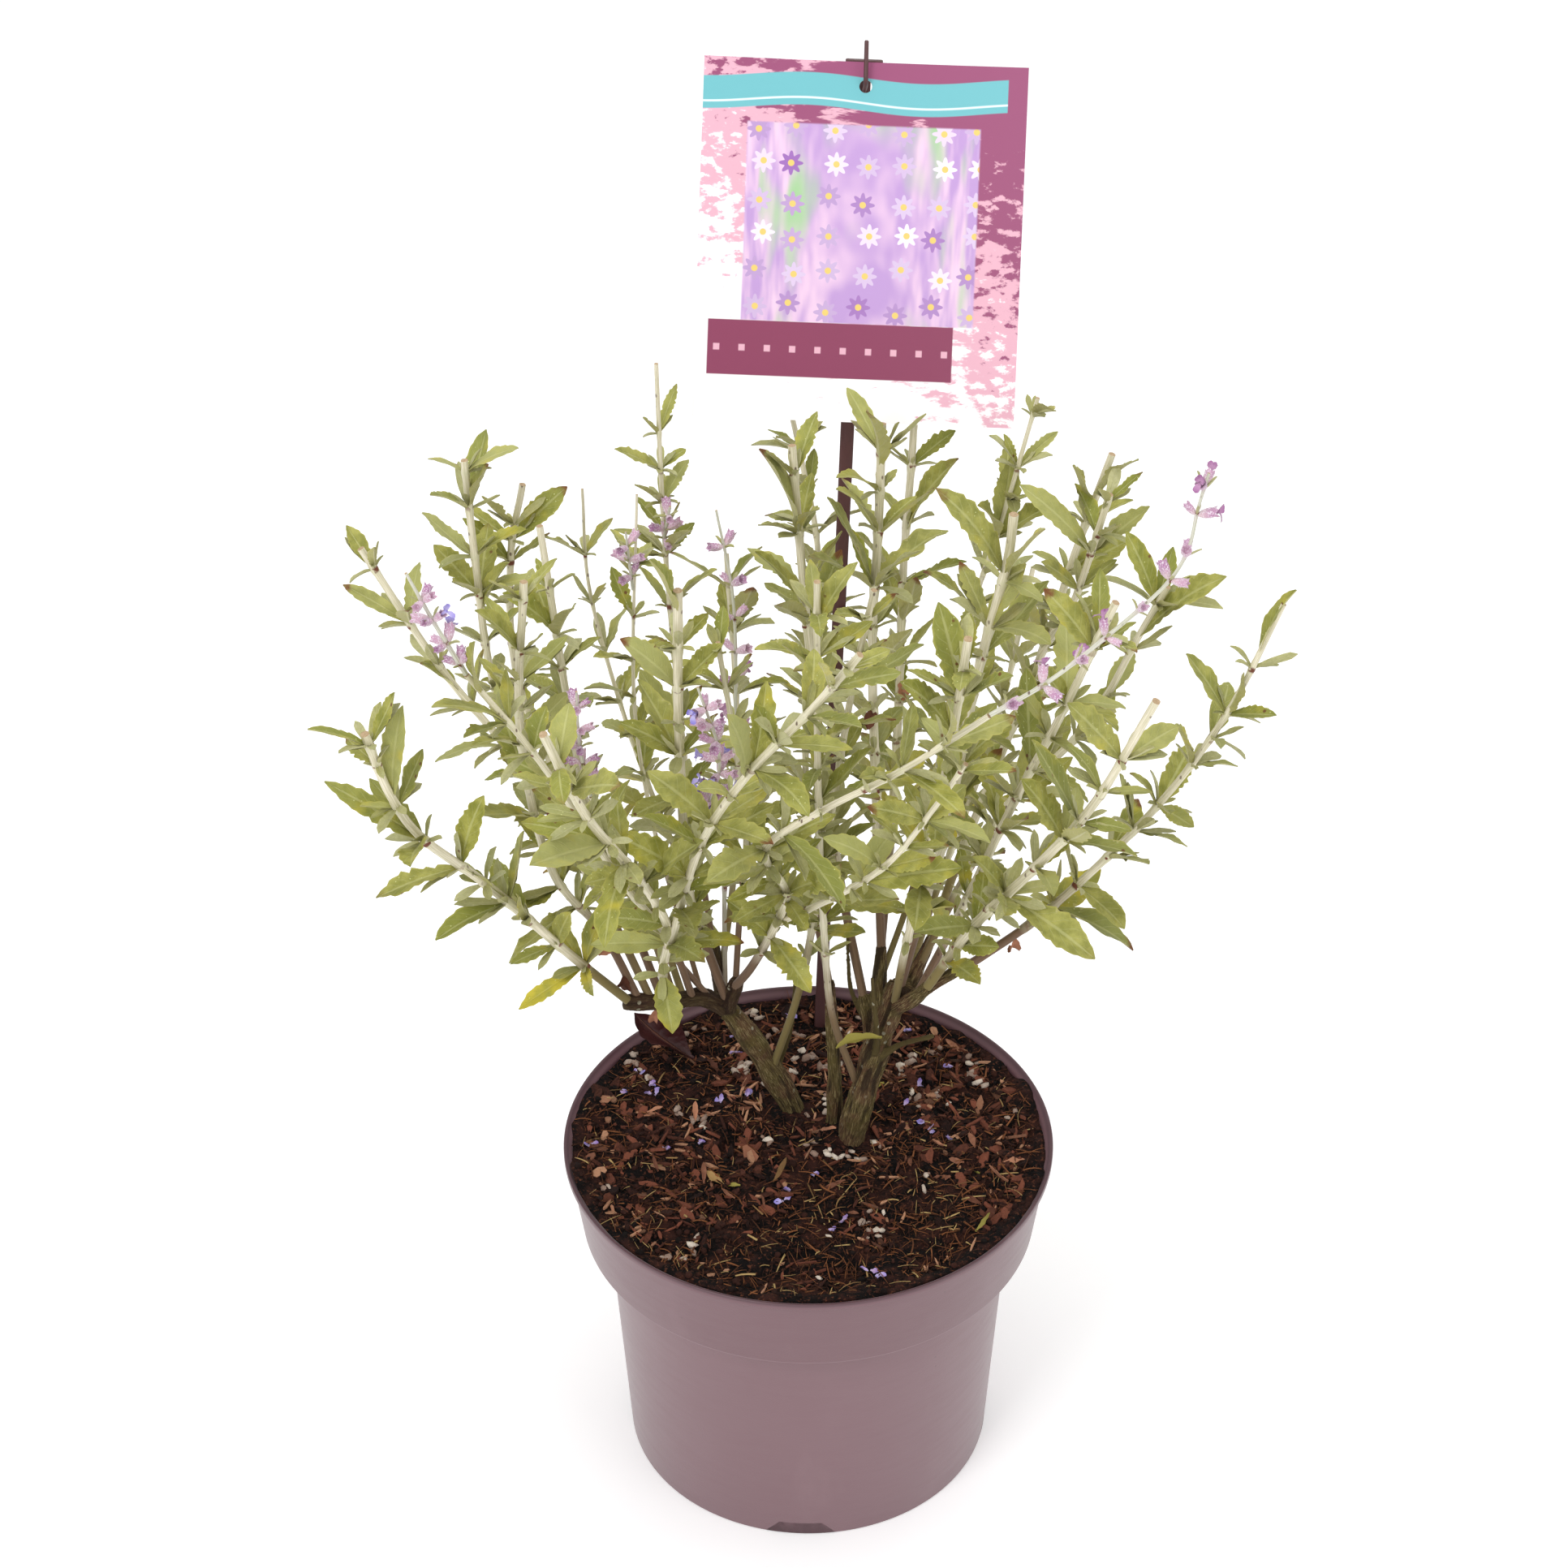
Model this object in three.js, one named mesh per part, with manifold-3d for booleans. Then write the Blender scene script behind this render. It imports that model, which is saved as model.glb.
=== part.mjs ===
// Little spire russian sage in a nursery pot, with its plant label on a stake.
// Millimetres, +Z up. The origin is on the pot's axis, on the ground. -Y is the front.
import * as THREE from 'three';
import { mergeVertices } from 'three/addons/utils/BufferGeometryUtils.js';
import Module from 'manifold-3d';

const wasm = await Module();
wasm.setup();

// Driving dimensions
const GAP = 0.3;
const SEGMENTS = 32;
const POT = {
  height: 144, rim: 95, collarTop: 93.2, collarFoot: 88.6, collarBottom: 108, bodyTop: 79, base: 72,
  wall: 1.6, lip: 3, floor: 7.5, padRadius: 20, padSlope: 6, footWidth: 3.5,
};
const NOTCH = { count: 4, top: 17, bottom: 30, height: 6.6, offset: -3, depth: 14, inset: 9 };
const DRAIN = { count: 8, radius: 4, ring: 48, sides: 8 };
const SOIL = { level: 138.5, bump: 1.3, mound: 2.5, rings: [18, 44, 70] };
const STAKE = {
  point: [0.3, 47.7, 35], top: [20.9, 189.5, 509], width: 5.6, depth: 3,
  tipLength: 30, tipShare: 0.12, neckShare: 0.8, barWidth: 14, barHeight: 1.6, pinRadius: 0.95,
  pin: [[20.3, 185.4, 494], [20.8, 184.6, 499], [21.3, 182.4, 502.2], [21.4, 180.8, 505.4],
    [21.5, 182.8, 510], [21.7, 186.4, 519]],
};
const CARD = {
  width: 121, height: 134, thickness: 0.6, bow: 2.5, columns: 8,
  centre: [19.2, 152, 452.8], lean: 30.6, roll: -2.2, holeRadius: 2.4, holeDrop: 9,
};
const DRY_LEAF = {
  base: [-46, 52, 140.7], tip: [-73, 61, 151.3], width: 13, stalk: 4, stalkHalf: 0.7, droop: -0.5, twist: 0.9,
};
const BLADE = { keel: 1.2, big: 29, root: 1, shortest: 12 };
// Leaves in pairs: ranges in mm and degrees. Slim is the width as a share of the length.
const PAIR = {
  spacing: [14, 19], reach: 6, kept: 0.9, swing: 14, lift: [38, 66], flatten: 14, tipSize: 0.7,
  slim: [0.29, 0.37], droop: [-12, 46], twist: 28, skyward: 0.3,
};
const PICKED = { margin: 4, reach: 5, droop: [8, 34], twist: 18 };
const WHORL = { uneven: [0.8, 1.2], swing: 16, lift: [50, 72] };
const CLEAR = {
  leaf: 3.5, stem: 2.8, own: 2.2, ownFrom: 9, most: 5.9, step: 2.5, lowest: 150,
  lean: 0.82, spread: 0.8, square: 0.8, level: 0.6, slimmest: 2.7,
};

// The wood: trunks, branches and bare twigs, as routes with the radius at each end
const WOOD = [
  {
    route: [[-2, 22, 112], [-7, 22, 142], [-19, 20, 170], [-33, 18, 197]],
    radii: [5.4, 4.0], sides: 7, trunk: true,
  },
  {
    route: [[14, 8, 112], [17, 5, 142], [24, 6, 175], [35, 10, 212]],
    radii: [6.2, 4.2], sides: 7, trunk: true,
  },
  {
    route: [[7, 14, 112], [10, 14, 142], [10, 17, 170], [8, 27, 200]],
    radii: [3.4, 2.2], sides: 5, trunk: true,
  },
  { route: [[-30, 18, 192], [-40, 14, 202], [-54, 8, 205], [-70, 2, 209]], radii: [3.7, 2.9], sides: 5 },
  { route: [[-31, 18, 190], [-30, 15, 200], [-27, 12, 212]], radii: [3.3, 2.5], sides: 5 },
  { route: [[-31, 19, 188], [-34, 27, 200], [-37, 36, 214]], radii: [3.0, 2.3], sides: 5 },
  { route: [[31, 9, 198], [40, 16, 211], [47, 23, 224]], radii: [3.2, 2.5], sides: 5 },
  { route: [[27, 8, 190], [27, 16, 204], [28, 25, 219]], radii: [3.0, 2.3], sides: 5 },
  { route: [[32, 8, 200], [39, 0, 212], [45, -7, 224]], radii: [3.0, 2.4], sides: 5 },
  { route: [[31, 9, 200], [43, 9, 209], [58, 13, 217]], radii: [2.7, 2.2], sides: 5 },
  { route: [[20, 7, 165], [23, 12, 182], [21, 15, 203]], radii: [2.5, 1.9], sides: 5 },
  { route: [[-13, 21, 158], [-7, 25, 178], [-5, 28, 199]], radii: [1.4, 0.9], sides: 4 },
  { route: [[22, 6, 172], [33, 0, 189], [47, -14, 206]], radii: [1.5, 0.9], sides: 4 },
  { route: [[22, 13, 190], [16, 18, 205], [15, 26, 226]], radii: [1.1, 0.8], sides: 4 },
  { route: [[24, 6, 175], [26, 1, 192], [24, -3, 225]], radii: [1.3, 0.9], sides: 4 },
];
const CROWN = { centre: [6, 14, 112], radius: 15, height: 9, sides: 8 };

// Leafy stems: name, hand-chosen route from the wood to the tip, radius at each end,
// the share of the length that is bare, the leaf lengths, and how many of the leaves are still on
const STEMS = [
  ['low_left', [[-68, 3, 209], [-87, -15, 244], [-116, -30, 289], [-137, -42, 319], [-146, -50, 344],
    [-152, -55, 372]], [2.1, 1.8], 0.2, [24, 38], 0.5],
  ['far_left', [[-59.5, 6, 206.5], [-78, 16, 248], [-106, 22, 304], [-134, 27, 345], [-160, 30, 394]],
    [1.8, 1.5], 0.25, [18, 32], 0.4],
  ['left_front', [[-44, 12, 203], [-52, -4, 244], [-69, -25, 289], [-94, -37, 348], [-117, -44, 389]],
    [1.6, 1.2], 0.3, [20, 34], 0.48],
  ['front_left', [[-53, 8, 205], [-54, -18, 240], [-51, -30, 269], [-60, -55, 311], [-76, -75, 352],
    [-88, -90, 396]], [1.9, 1.7], 0.3, [24, 38], 0.6],
  ['front_diagonal', [[-50, -28, 262], [-38, -55, 324], [-21, -70, 365], [1, -80, 399], [17, -86, 425]],
    [1.7, 1.5], 0.12, [24, 36], 0.56],
  ['front_middle', [[-28, 12, 209], [-21, -2, 230], [-12, -20, 263], [-8, -36, 290], [-15, -55, 323],
    [4, -70, 350], [31, -80, 374], [60, -85, 400]], [1.9, 1.2], 0.22, [24, 38], 0.48],
  ['front_right', [[-12, -21, 264], [13, -45, 297], [29, -60, 322], [43, -72, 353], [53, -80, 377]],
    [1.4, 1.1], 0.15, [24, 36], 0.56],
  ['low_right', [[44, -6, 222], [61, -20, 263], [81, -35, 300], [100, -48, 338], [118, -60, 389]],
    [2.2, 1.7], 0.15, [24, 38], 0.48],
  ['far_right', [[56, 13, 216], [66, 14, 222], [93, 20, 242], [128, 22, 284], [153, 24, 326],
    [171, 26, 373]], [1.9, 1.2], 0.2, [22, 36], 0.48],
  ['right_front', [[40, -1, 213], [52, 2, 240], [64, 2, 272], [77, -2, 311], [90, -6, 346], [107, -12, 398]],
    [1.8, 1.6], 0.25, [24, 38], 0.44],
  ['right_middle', [[41, 16.5, 212], [55, 25, 241], [74, 38, 274], [104, 40, 311], [121, 38, 352],
    [130, 36, 374]], [1.8, 1.4], 0.25, [24, 38], 0.55],
  ['right_back', [[46, 22, 222], [58, 44, 247], [74, 66, 280], [90, 76, 325], [99, 76, 363], [111, 76, 406]],
    [1.9, 1.5], 0.25, [24, 36], 0.48],
  ['right_back_fork', [[88, 75, 320], [98, 62, 350], [109, 54, 402]], [1.5, 1.4], 0.25, [22, 32], 0.44],
  ['tall_right', [[27, 17, 206], [42, 52, 234], [54, 92, 280], [64, 104, 325], [73, 104, 360],
    [85, 105, 413]], [1.5, 0.9], 0.35, [16, 30], 0.4],
  ['upright_right', [[35, 10, 211], [43, 13, 246], [51, 18, 277], [61, 18, 347], [70, 15, 395],
    [72, 14, 418]], [2.0, 1.9], 0.3, [28, 40], 0.48],
  ['upright_front', [[33, 6, 207], [36, -12, 246], [42, -25, 292], [49, -40, 352], [54, -52, 409]],
    [1.9, 1.8], 0.3, [24, 36], 0.6],
  ['back_middle', [[28, 24, 217], [26, 46, 267], [24, 70, 325], [26, 80, 372], [27, 86, 413]],
    [2.0, 1.8], 0.3, [28, 40], 0.52],
  ['back_right', [[27, 20, 211], [31, 62, 230], [35, 100, 270], [37, 132, 320], [40, 148, 360],
    [41, 153, 384]], [1.9, 1.6], 0.35, [24, 38], 0.48],
  ['back_left', [[21, 15, 202], [12, 40, 240], [3, 66, 300], [-2, 78, 350], [-6, 84, 405]],
    [1.9, 1.7], 0.35, [26, 38], 0.48],
  ['behind_stake', [[8, 27, 199], [1, 64, 222], [-1, 106, 264], [4, 140, 318], [-3, 153, 360],
    [-9, 160, 386]], [1.6, 1.1], 0.4, [18, 30], 0.4],
  ['short_middle', [[18, 6, 168], [9, 0, 205], [6, -4, 244], [4, -16, 300], [3, -20, 365], [3, -27, 416]],
    [1.7, 1.4], 0.42, [22, 34], 0.48],
  ['middle', [[-14, 20, 162], [-4, 12, 205], [2, 8, 244], [9, 4, 300], [16, 0, 356], [23, -4, 398]],
    [1.7, 1.3], 0.4, [24, 36], 0.6],
  ['tall_left', [[-37, 35.5, 213], [-42, 54, 238], [-48, 78, 272], [-53, 96, 330], [-55, 102, 372],
    [-56, 104, 428]], [1.4, 0.9], 0.35, [14, 26], 0.4],
  ['upright_left', [[-31, 16, 198], [-38, 8, 230], [-44, -6, 268], [-46, -14, 344], [-45, -20, 408]],
    [2.0, 1.9], 0.3, [22, 36], 0.48],
  ['thin_left', [[-41, 16, 203], [-50, 36, 226], [-60, 56, 256], [-66, 66, 307], [-63, 74, 390]],
    [1.2, 0.5], 0.35, [12, 22], 0.4],
  ['left_centre', [[-28, 14, 205], [-26, 14, 240], [-23, 6, 285], [-27, 0, 334], [-32, -4, 376]],
    [1.5, 1.1], 0.3, [24, 36], 0.65],
  ['left_hanging', [[-37, 15, 200], [-54, 8, 232], [-70, -4, 275], [-78, -16, 318]],
    [1.4, 1.0], 0.3, [24, 36], 0.8],
  ['left_middle', [[-55.5, 8, 205.5], [-70, 32, 228], [-96, 48, 262], [-117, 56, 315], [-122, 58, 369],
    [-124, 58, 414]], [1.8, 1.5], 0.3, [22, 36], 0.44],
  ['left_back', [[-47.5, 11, 204], [-62, 48, 220], [-92, 76, 250], [-111, 84, 300], [-112, 87, 352],
    [-106, 88, 386]], [1.7, 1.4], 0.3, [20, 34], 0.44],
  ['left_inner', [[-51, 9.5, 204.5], [-62, 20, 236], [-80, 26, 270], [-88, 30, 324], [-93, 33, 371],
    [-96, 34, 401]], [1.7, 1.4], 0.3, [24, 36], 0.55],
  ['left_outer', [[-64, 4.5, 207.5], [-77, 5, 240], [-95, -2, 276], [-103, -8, 341], [-99, -8, 404]],
    [1.8, 1.6], 0.25, [24, 36], 0.48],
  ['left_rear', [[-35.5, 31, 207], [-50, 66, 228], [-68, 98, 260], [-84, 114, 320], [-86, 118, 366]],
    [1.4, 0.6], 0.3, [18, 30], 0.48],
  ['rear_left', [[-34, 27, 201], [-29, 64, 226], [-28, 104, 270], [-32, 136, 326]],
    [1.5, 1.1], 0.35, [24, 36], 0.7],
  ['rear_right', [[36.5, 13, 206], [52, 58, 228], [74, 104, 268], [88, 136, 320]],
    [1.5, 1.1], 0.35, [24, 36], 0.8],
];
// Side stems that branch off another leafy stem and are one body with it
const SIDE_STEMS = {
  front_diagonal: 'front_left', front_right: 'front_middle', right_back_fork: 'right_back',
};

// Large leaves in their own places, by stem: share of the stem's length, the leaf's tip, its width
const PICKED_LEAVES = {
  low_left: [[0.7, [-169, -46, 346], 9], [0.84, [-139, -49, 380], 10], [0.94, [-160, -57, 372], 7],
    [0.59, [-115, -29, 328], 10], [0.44, [-125, -35, 302], 11], [0.17, [-108, -21, 224], 7],
    [0.27, [-87, -27, 274], 9], [0.37, [-104, -23, 279], 8]],
  far_left: [[0.85, [-169, 28, 381], 6], [0.86, [-141, 37, 385], 8], [0.69, [-141, 34, 342], 8]],
  left_middle: [[0.93, [-115, 52, 416], 9], [0.92, [-135, 52, 402], 8], [0.77, [-138, 58, 379], 10],
    [0.74, [-110, 54, 373], 9]],
  left_back: [[0.91, [-90, 88, 386], 11], [0.87, [-129, 87, 372], 8]],
  left_front: [[0.89, [-128, -49, 379], 12], [0.97, [-113, -39, 399], 9], [0.81, [-91, -32, 368], 9]],
  front_left: [[0.93, [-80, -85, 406], 10], [0.87, [-62, -94, 378], 12], [0.7, [-94, -74, 331], 13],
    [0.58, [-78, -64, 315], 9], [0.17, [-50, -23, 216], 11], [0.28, [-79, -37, 267], 9],
    [0.35, [-72, -37, 280], 9], [0.3, [-37, -36, 259], 10]],
  front_diagonal: [[0.45, [-55, -67, 365], 12], [0.61, [-27, -74, 393], 12], [0.44, [-12, -68, 335], 9],
    [0.24, [-68, -58, 332], 12], [0.73, [-18, -71, 395], 7], [0.73, [15, -80, 383], 7],
    [0.98, [27, -87, 428], 6], [0.33, [-27, -44, 339], 9]],
  front_middle: [[0.38, [12, -42, 303], 10], [0.21, [1, -26, 237], 11], [0.19, [-30, -16, 272], 10],
    [0.49, [1, -45, 320], 8], [0.83, [40, -73, 377], 7], [0.93, [45, -79, 402], 8]],
  front_right: [[0.42, [54, -55, 315], 13], [0.77, [20, -74, 355], 9], [0.77, [54, -64, 357], 9],
    [0.51, [45, -63, 326], 8]],
  low_right: [[0.85, [88, -58, 387], 12], [0.85, [129, -48, 371], 9], [0.59, [74, -42, 344], 12],
    [0.23, [38, -27, 266], 10], [0.36, [104, -42, 264], 13], [0.6, [95, -32, 334], 8],
    [0.15, [70, -20, 253], 9], [0.09, [63, -25, 240], 10]],
  far_right: [[0.9, [175, 25, 380], 9], [0.76, [137, 24, 353], 10], [0.76, [158, 32, 339], 8],
    [0.76, [170, 18, 330], 7], [0.28, [119, 13, 236], 10], [0.52, [143, 22, 277], 8],
    [0.63, [134, 27, 320], 8]],
  right_front: [[0.9, [82, -6, 400], 11], [0.76, [81, -7, 368], 9]],
  right_middle: [[0.88, [150, 26, 385], 13], [0.97, [114, 36, 398], 9], [0.6, [112, 46, 317], 10]],
  right_back: [[0.93, [119, 70, 406], 10], [0.88, [96, 76, 400], 10], [0.75, [119, 72, 372], 11]],
  right_back_fork: [[0.7, [76, 53, 407], 11], [0.48, [85, 60, 369], 8]],
  tall_right: [[0.76, [76, 108, 386], 11], [0.89, [94, 104, 401], 5], [0.89, [73, 108, 396], 4],
    [0.76, [63, 98, 370], 9]],
  upright_right: [[0.89, [44, 9, 432], 13], [0.89, [82, 15, 410], 11], [0.77, [77, 25, 390], 11]],
  back_middle: [[0.93, [21, 78, 422], 11], [0.69, [7, 64, 395], 14], [0.69, [41, 72, 366], 11],
    [0.8, [10, 84, 384], 10]],
  back_right: [[0.9, [57, 152, 372], 8], [0.78, [58, 140, 367], 12], [0.69, [61, 125, 329], 9]],
  back_left: [[0.85, [-18, 77, 408], 12], [0.7, [-20, 72, 367], 10], [0.83, [4, 77, 381], 8],
    [0.6, [-15, 71, 326], 9]],
  short_middle: [[0.93, [17, -25, 423], 9], [0.83, [-9, -21, 386], 9], [0.71, [17, -25, 357], 9]],
  upright_front: [[0.79, [31, -51, 391], 13], [0.88, [44, -41, 417], 12], [0.73, [66, -34, 371], 9]],
  upright_left: [[0.97, [-54, -23, 422], 10], [0.81, [-66, -22, 390], 12], [0.82, [-30, -12, 381], 9],
    [0.66, [-67, -17, 351], 10]],
  tall_left: [[0.89, [-49, 103, 422], 5], [0.82, [-72, 103, 392], 6], [0.76, [-45, 102, 390], 7],
    [0.66, [-43, 100, 363], 7]],
  left_inner: [[0.79, [-110, 26, 378], 11], [0.8, [-83, 22, 373], 11]],
  left_outer: [[0.87, [-116, -8, 392], 9], [0.81, [-108, -8, 370], 8]],
};

// Flowering sprays: name, the stem that carries it, route, radii, share of the route that is bare,
// spacing of the whorls, florets a whorl, share in full bloom
const SPRAYS = [
  ['right_spray', 'front_middle', [[60.4, -85, 400.4], [78, -84, 412], [95, -80, 425], [116, -74, 443],
    [124, -70, 455], [127, -66, 469], [130, -64, 481]], [1.0, 0.6], 0.06, 12, 2, 0.3],
  ['left_spray', 'left_front', [[-117.2, -44.1, 389.4], [-126, -45, 409], [-135, -47, 432]],
    [1.0, 0.6], 0.1, 9, 3, 0.4],
  ['slender_spray', 'wood', [[-32, 22, 195], [-32, 46, 240], [-28, 66, 292], [-28, 72, 344], [-34, 76, 382]],
    [1.1, 0.5], 0.55, 15, 2, 0.1],
  ['centre_spray', 'upright_left', [[-44.5, -8, 282], [-36, -28, 320], [-31, -40, 352], [-38, -44, 384]],
    [0.9, 0.5], 0.45, 9, 3, 0.4],
  ['woolly_spray', 'left_hanging', [[-78.2, -16.5, 318.8], [-81, -22, 345], [-81, -26, 370]],
    [0.9, 0.5], 0.15, 10, 3, 0],
  ['inner_spray', 'tall_left', [[-54.5, 101, 352], [-54, 95, 361], [-51.6, 92, 374]],
    [0.8, 0.5], 0.25, 7, 2, 0],
  ['thin_spray', 'thin_left', [[-65.2, 69, 352], [-66, 66, 364], [-67, 64, 380]], [0.7, 0.4], 0.25, 8, 2, 0],
];
const FLORET = { length: 5.4, radius: 1, root: 0.6, gape: 2.3 };
const RING_STEP = 36;
const WOOD_STEP = 24;

const COLOURS = {
  pot: 0x98808a, soil: 0x35241b, wood: 0x5d4d36, leaf: 0x8d9b56, spray: 0xb795b8, stake: 0x4a2e30,
  card: 0xe9c7d6, deadLeaf: 0x4a2024,
};

const vector = (p) => new THREE.Vector3(...p);
const degrees = THREE.MathUtils.degToRad;
const mix = THREE.MathUtils.lerp;

// Repeatable random numbers from 0 to 1
function randomSource(seed) {
  let state = seed >>> 0;
  return () => {
    state = (state + 0x6d2b79f5) >>> 0;
    let t = Math.imul(state ^ (state >>> 15), state | 1);
    t ^= t + Math.imul(t ^ (t >>> 7), t | 61);
    return ((t ^ (t >>> 14)) >>> 0) / 4294967296;
  };
}

// A smooth route through hand-chosen points, with a frame that doesn't spin along it
class Route {
  constructor(points, stepsPerSpan = 8) {
    const curve = new THREE.CatmullRomCurve3(points.map(vector), false, 'catmullrom', 0.5);
    this.points = curve.getPoints(stepsPerSpan * (points.length - 1));
    const last = this.points.length - 1;
    this.tangents = this.points.map((_, i) => this.points[Math.min(i + 1, last)].clone()
      .sub(this.points[Math.max(i - 1, 0)]).normalize());
    this.reach = [0];
    for (let i = 1; i <= last; i += 1) {
      this.reach.push(this.reach[i - 1] + this.points[i].distanceTo(this.points[i - 1]));
    }
    this.length = this.reach[last];
    let side = new THREE.Vector3(0, -1, 0);
    this.sides = this.tangents.map((tangent) => {
      side = side.clone().addScaledVector(tangent, -side.dot(tangent)).normalize();
      return side;
    });
  }

  at(distance) {
    let i = 1;
    while (i < this.reach.length - 1 && this.reach[i] < distance) i += 1;
    const t = (distance - this.reach[i - 1]) / (this.reach[i] - this.reach[i - 1]);
    const point = this.points[i - 1].clone().lerp(this.points[i], t);
    const share = THREE.MathUtils.clamp(t, 0, 1);
    const tangent = this.tangents[i - 1].clone().lerp(this.tangents[i], share).normalize();
    const side = this.sides[i - 1].clone().lerp(this.sides[i], share);
    side.addScaledVector(tangent, -side.dot(tangent)).normalize();
    return { point, tangent, side, other: new THREE.Vector3().crossVectors(tangent, side) };
  }
}

// Solids and meshes
function solidFromArrays(positions, triangles) {
  return new wasm.Manifold(new wasm.Mesh({
    numProp: 3, vertProperties: Float32Array.from(positions), triVerts: Uint32Array.from(triangles),
  }));
}

function solidFrom(geometry) {
  geometry.deleteAttribute('normal');
  geometry.deleteAttribute('uv');
  const merged = mergeVertices(geometry, 1e-4);
  return solidFromArrays(merged.attributes.position.array, merged.index.array);
}

function largestPiece(solid) {
  return solid.decompose().reduce((best, piece) => (piece.volume() > best.volume() ? piece : best));
}

function joinAll(solids) {
  return solids.reduce((whole, piece) => whole.add(piece));
}

function meshFrom(solid, name, colour, roughness = 0.8) {
  const { vertProperties, triVerts, numProp } = solid.getMesh();
  const geometry = new THREE.BufferGeometry();
  const positions = new Float32Array((vertProperties.length / numProp) * 3);
  for (let i = 0; i < positions.length / 3; i += 1) {
    for (let k = 0; k < 3; k += 1) positions[3 * i + k] = vertProperties[numProp * i + k];
  }
  geometry.setAttribute('position', new THREE.BufferAttribute(positions, 3));
  geometry.setIndex(new THREE.BufferAttribute(Uint32Array.from(triVerts), 1));
  geometry.computeVertexNormals();
  const material = new THREE.MeshStandardMaterial({ color: colour, roughness, metalness: 0 });
  const mesh = new THREE.Mesh(geometry, material);
  mesh.name = name;
  return mesh;
}

// A tapered stem: rings of a few corners along a route, closed at both ends
function sweep(route, radiusAt, sides, stations) {
  const positions = [];
  const triangles = [];
  stations.forEach((distance) => {
    const { point, side, other } = route.at(distance);
    for (let k = 0; k < sides; k += 1) {
      const turn = (2 * Math.PI * (k + 0.5)) / sides;
      const corner = point.clone()
        .addScaledVector(side, radiusAt(distance) * Math.cos(turn))
        .addScaledVector(other, radiusAt(distance) * Math.sin(turn));
      positions.push(corner.x, corner.y, corner.z);
    }
  });
  for (let ring = 0; ring < stations.length - 1; ring += 1) {
    for (let k = 0; k < sides; k += 1) {
      const a = ring * sides + k;
      const b = ring * sides + ((k + 1) % sides);
      triangles.push(a, b, b + sides, a, b + sides, a + sides);
    }
  }
  const top = (stations.length - 1) * sides;
  for (let k = 1; k < sides - 1; k += 1) {
    triangles.push(0, k + 1, k, top, top + k, top + k + 1);
  }
  return solidFromArrays(positions, triangles);
}

function evenStations(length, step) {
  const count = Math.max(2, Math.round(length / step));
  return Array.from({ length: count + 1 }, (_, i) => (length * i) / count);
}

function taperedStem(route, radii, sides, step, grow = 0) {
  const radiusAt = (distance) => mix(radii[0], radii[1], distance / route.length) + grow;
  const stations = evenStations(route.length, step);
  stations[0] -= grow;
  stations[stations.length - 1] += grow;
  return sweep(route, radiusAt, sides, stations);
}

// Leaves
// Stations of a toothed blade: share of the length, then the left and right half widths
const BIG_OUTLINE = [
  [0.24, 0.56, 0.5], [0.42, 0.94, 0.78], [0.54, 1, 1], [0.61, 0.72, 0.92], [0.8, 0.6, 0.52],
];
const SMALL_OUTLINE = [[0.3, 0.68, 0.6], [0.52, 1, 0.84], [0.66, 0.66, 0.92]];

// The middle line of a leaf is an arc that bends away from its upper face, and the blade turns about it
function leafAt(leaf, u) {
  const side = new THREE.Vector3().crossVectors(leaf.along, leaf.up);
  const bend = leaf.droop * u;
  const forward = leaf.length * (Math.abs(leaf.droop) < 1e-6 ? u : Math.sin(bend) / leaf.droop);
  const down = leaf.length * (Math.abs(leaf.droop) < 1e-6 ? 0 : (1 - Math.cos(bend)) / leaf.droop);
  const point = leaf.base.clone().addScaledVector(leaf.along, forward).addScaledVector(leaf.up, -down);
  const up = leaf.up.clone().multiplyScalar(Math.cos(bend)).addScaledVector(leaf.along, Math.sin(bend));
  const turn = leaf.twist * u;
  const across = side.clone().multiplyScalar(Math.cos(turn)).addScaledVector(up, Math.sin(turn));
  const normal = up.clone().multiplyScalar(Math.cos(turn)).addScaledVector(side, -Math.sin(turn));
  return { point, across, normal };
}

// A blade has a flat upper face and a keel along its midrib below. It grows out of four corners,
// bottom left, bottom right, top left and top right, and adds its own points to the arrays.
function growBlade(leaf, outline, corners, positions, triangles) {
  const half = leaf.width / 2;
  const first = positions.length / 3;
  outline.forEach(([u, left, right]) => {
    const { point, across, normal } = leafAt(leaf, u);
    [[-left * half, 0], [right * half, 0], [0, -BLADE.keel]].forEach(([v, depth]) => {
      const corner = point.clone().addScaledVector(across, v).addScaledVector(normal, depth);
      positions.push(corner.x, corner.y, corner.z);
    });
  });
  const tip = leafAt(leaf, 1).point;
  positions.push(tip.x, tip.y, tip.z);
  const last = first + 3 * (outline.length - 1);
  const [bottomLeft, bottomRight, topLeft, topRight] = corners;
  triangles.push(topLeft, topRight, first + 1, topLeft, first + 1, first);
  triangles.push(topLeft, first, first + 2, topLeft, first + 2, bottomLeft);
  triangles.push(topRight, bottomRight, first + 1, bottomRight, first + 2, first + 1);
  triangles.push(bottomLeft, first + 2, bottomRight);
  for (let l = first; l < last; l += 3) {
    const [r, k, nextL, nextR, nextK] = [l + 1, l + 2, l + 3, l + 4, l + 5];
    triangles.push(l, r, nextR, l, nextR, nextL, l, nextL, nextK, l, nextK, k, r, k, nextR, k, nextK, nextR);
  }
  const top = last + 3;
  triangles.push(last, last + 1, top, last, top, last + 2, last + 1, last + 2, top);
}

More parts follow.
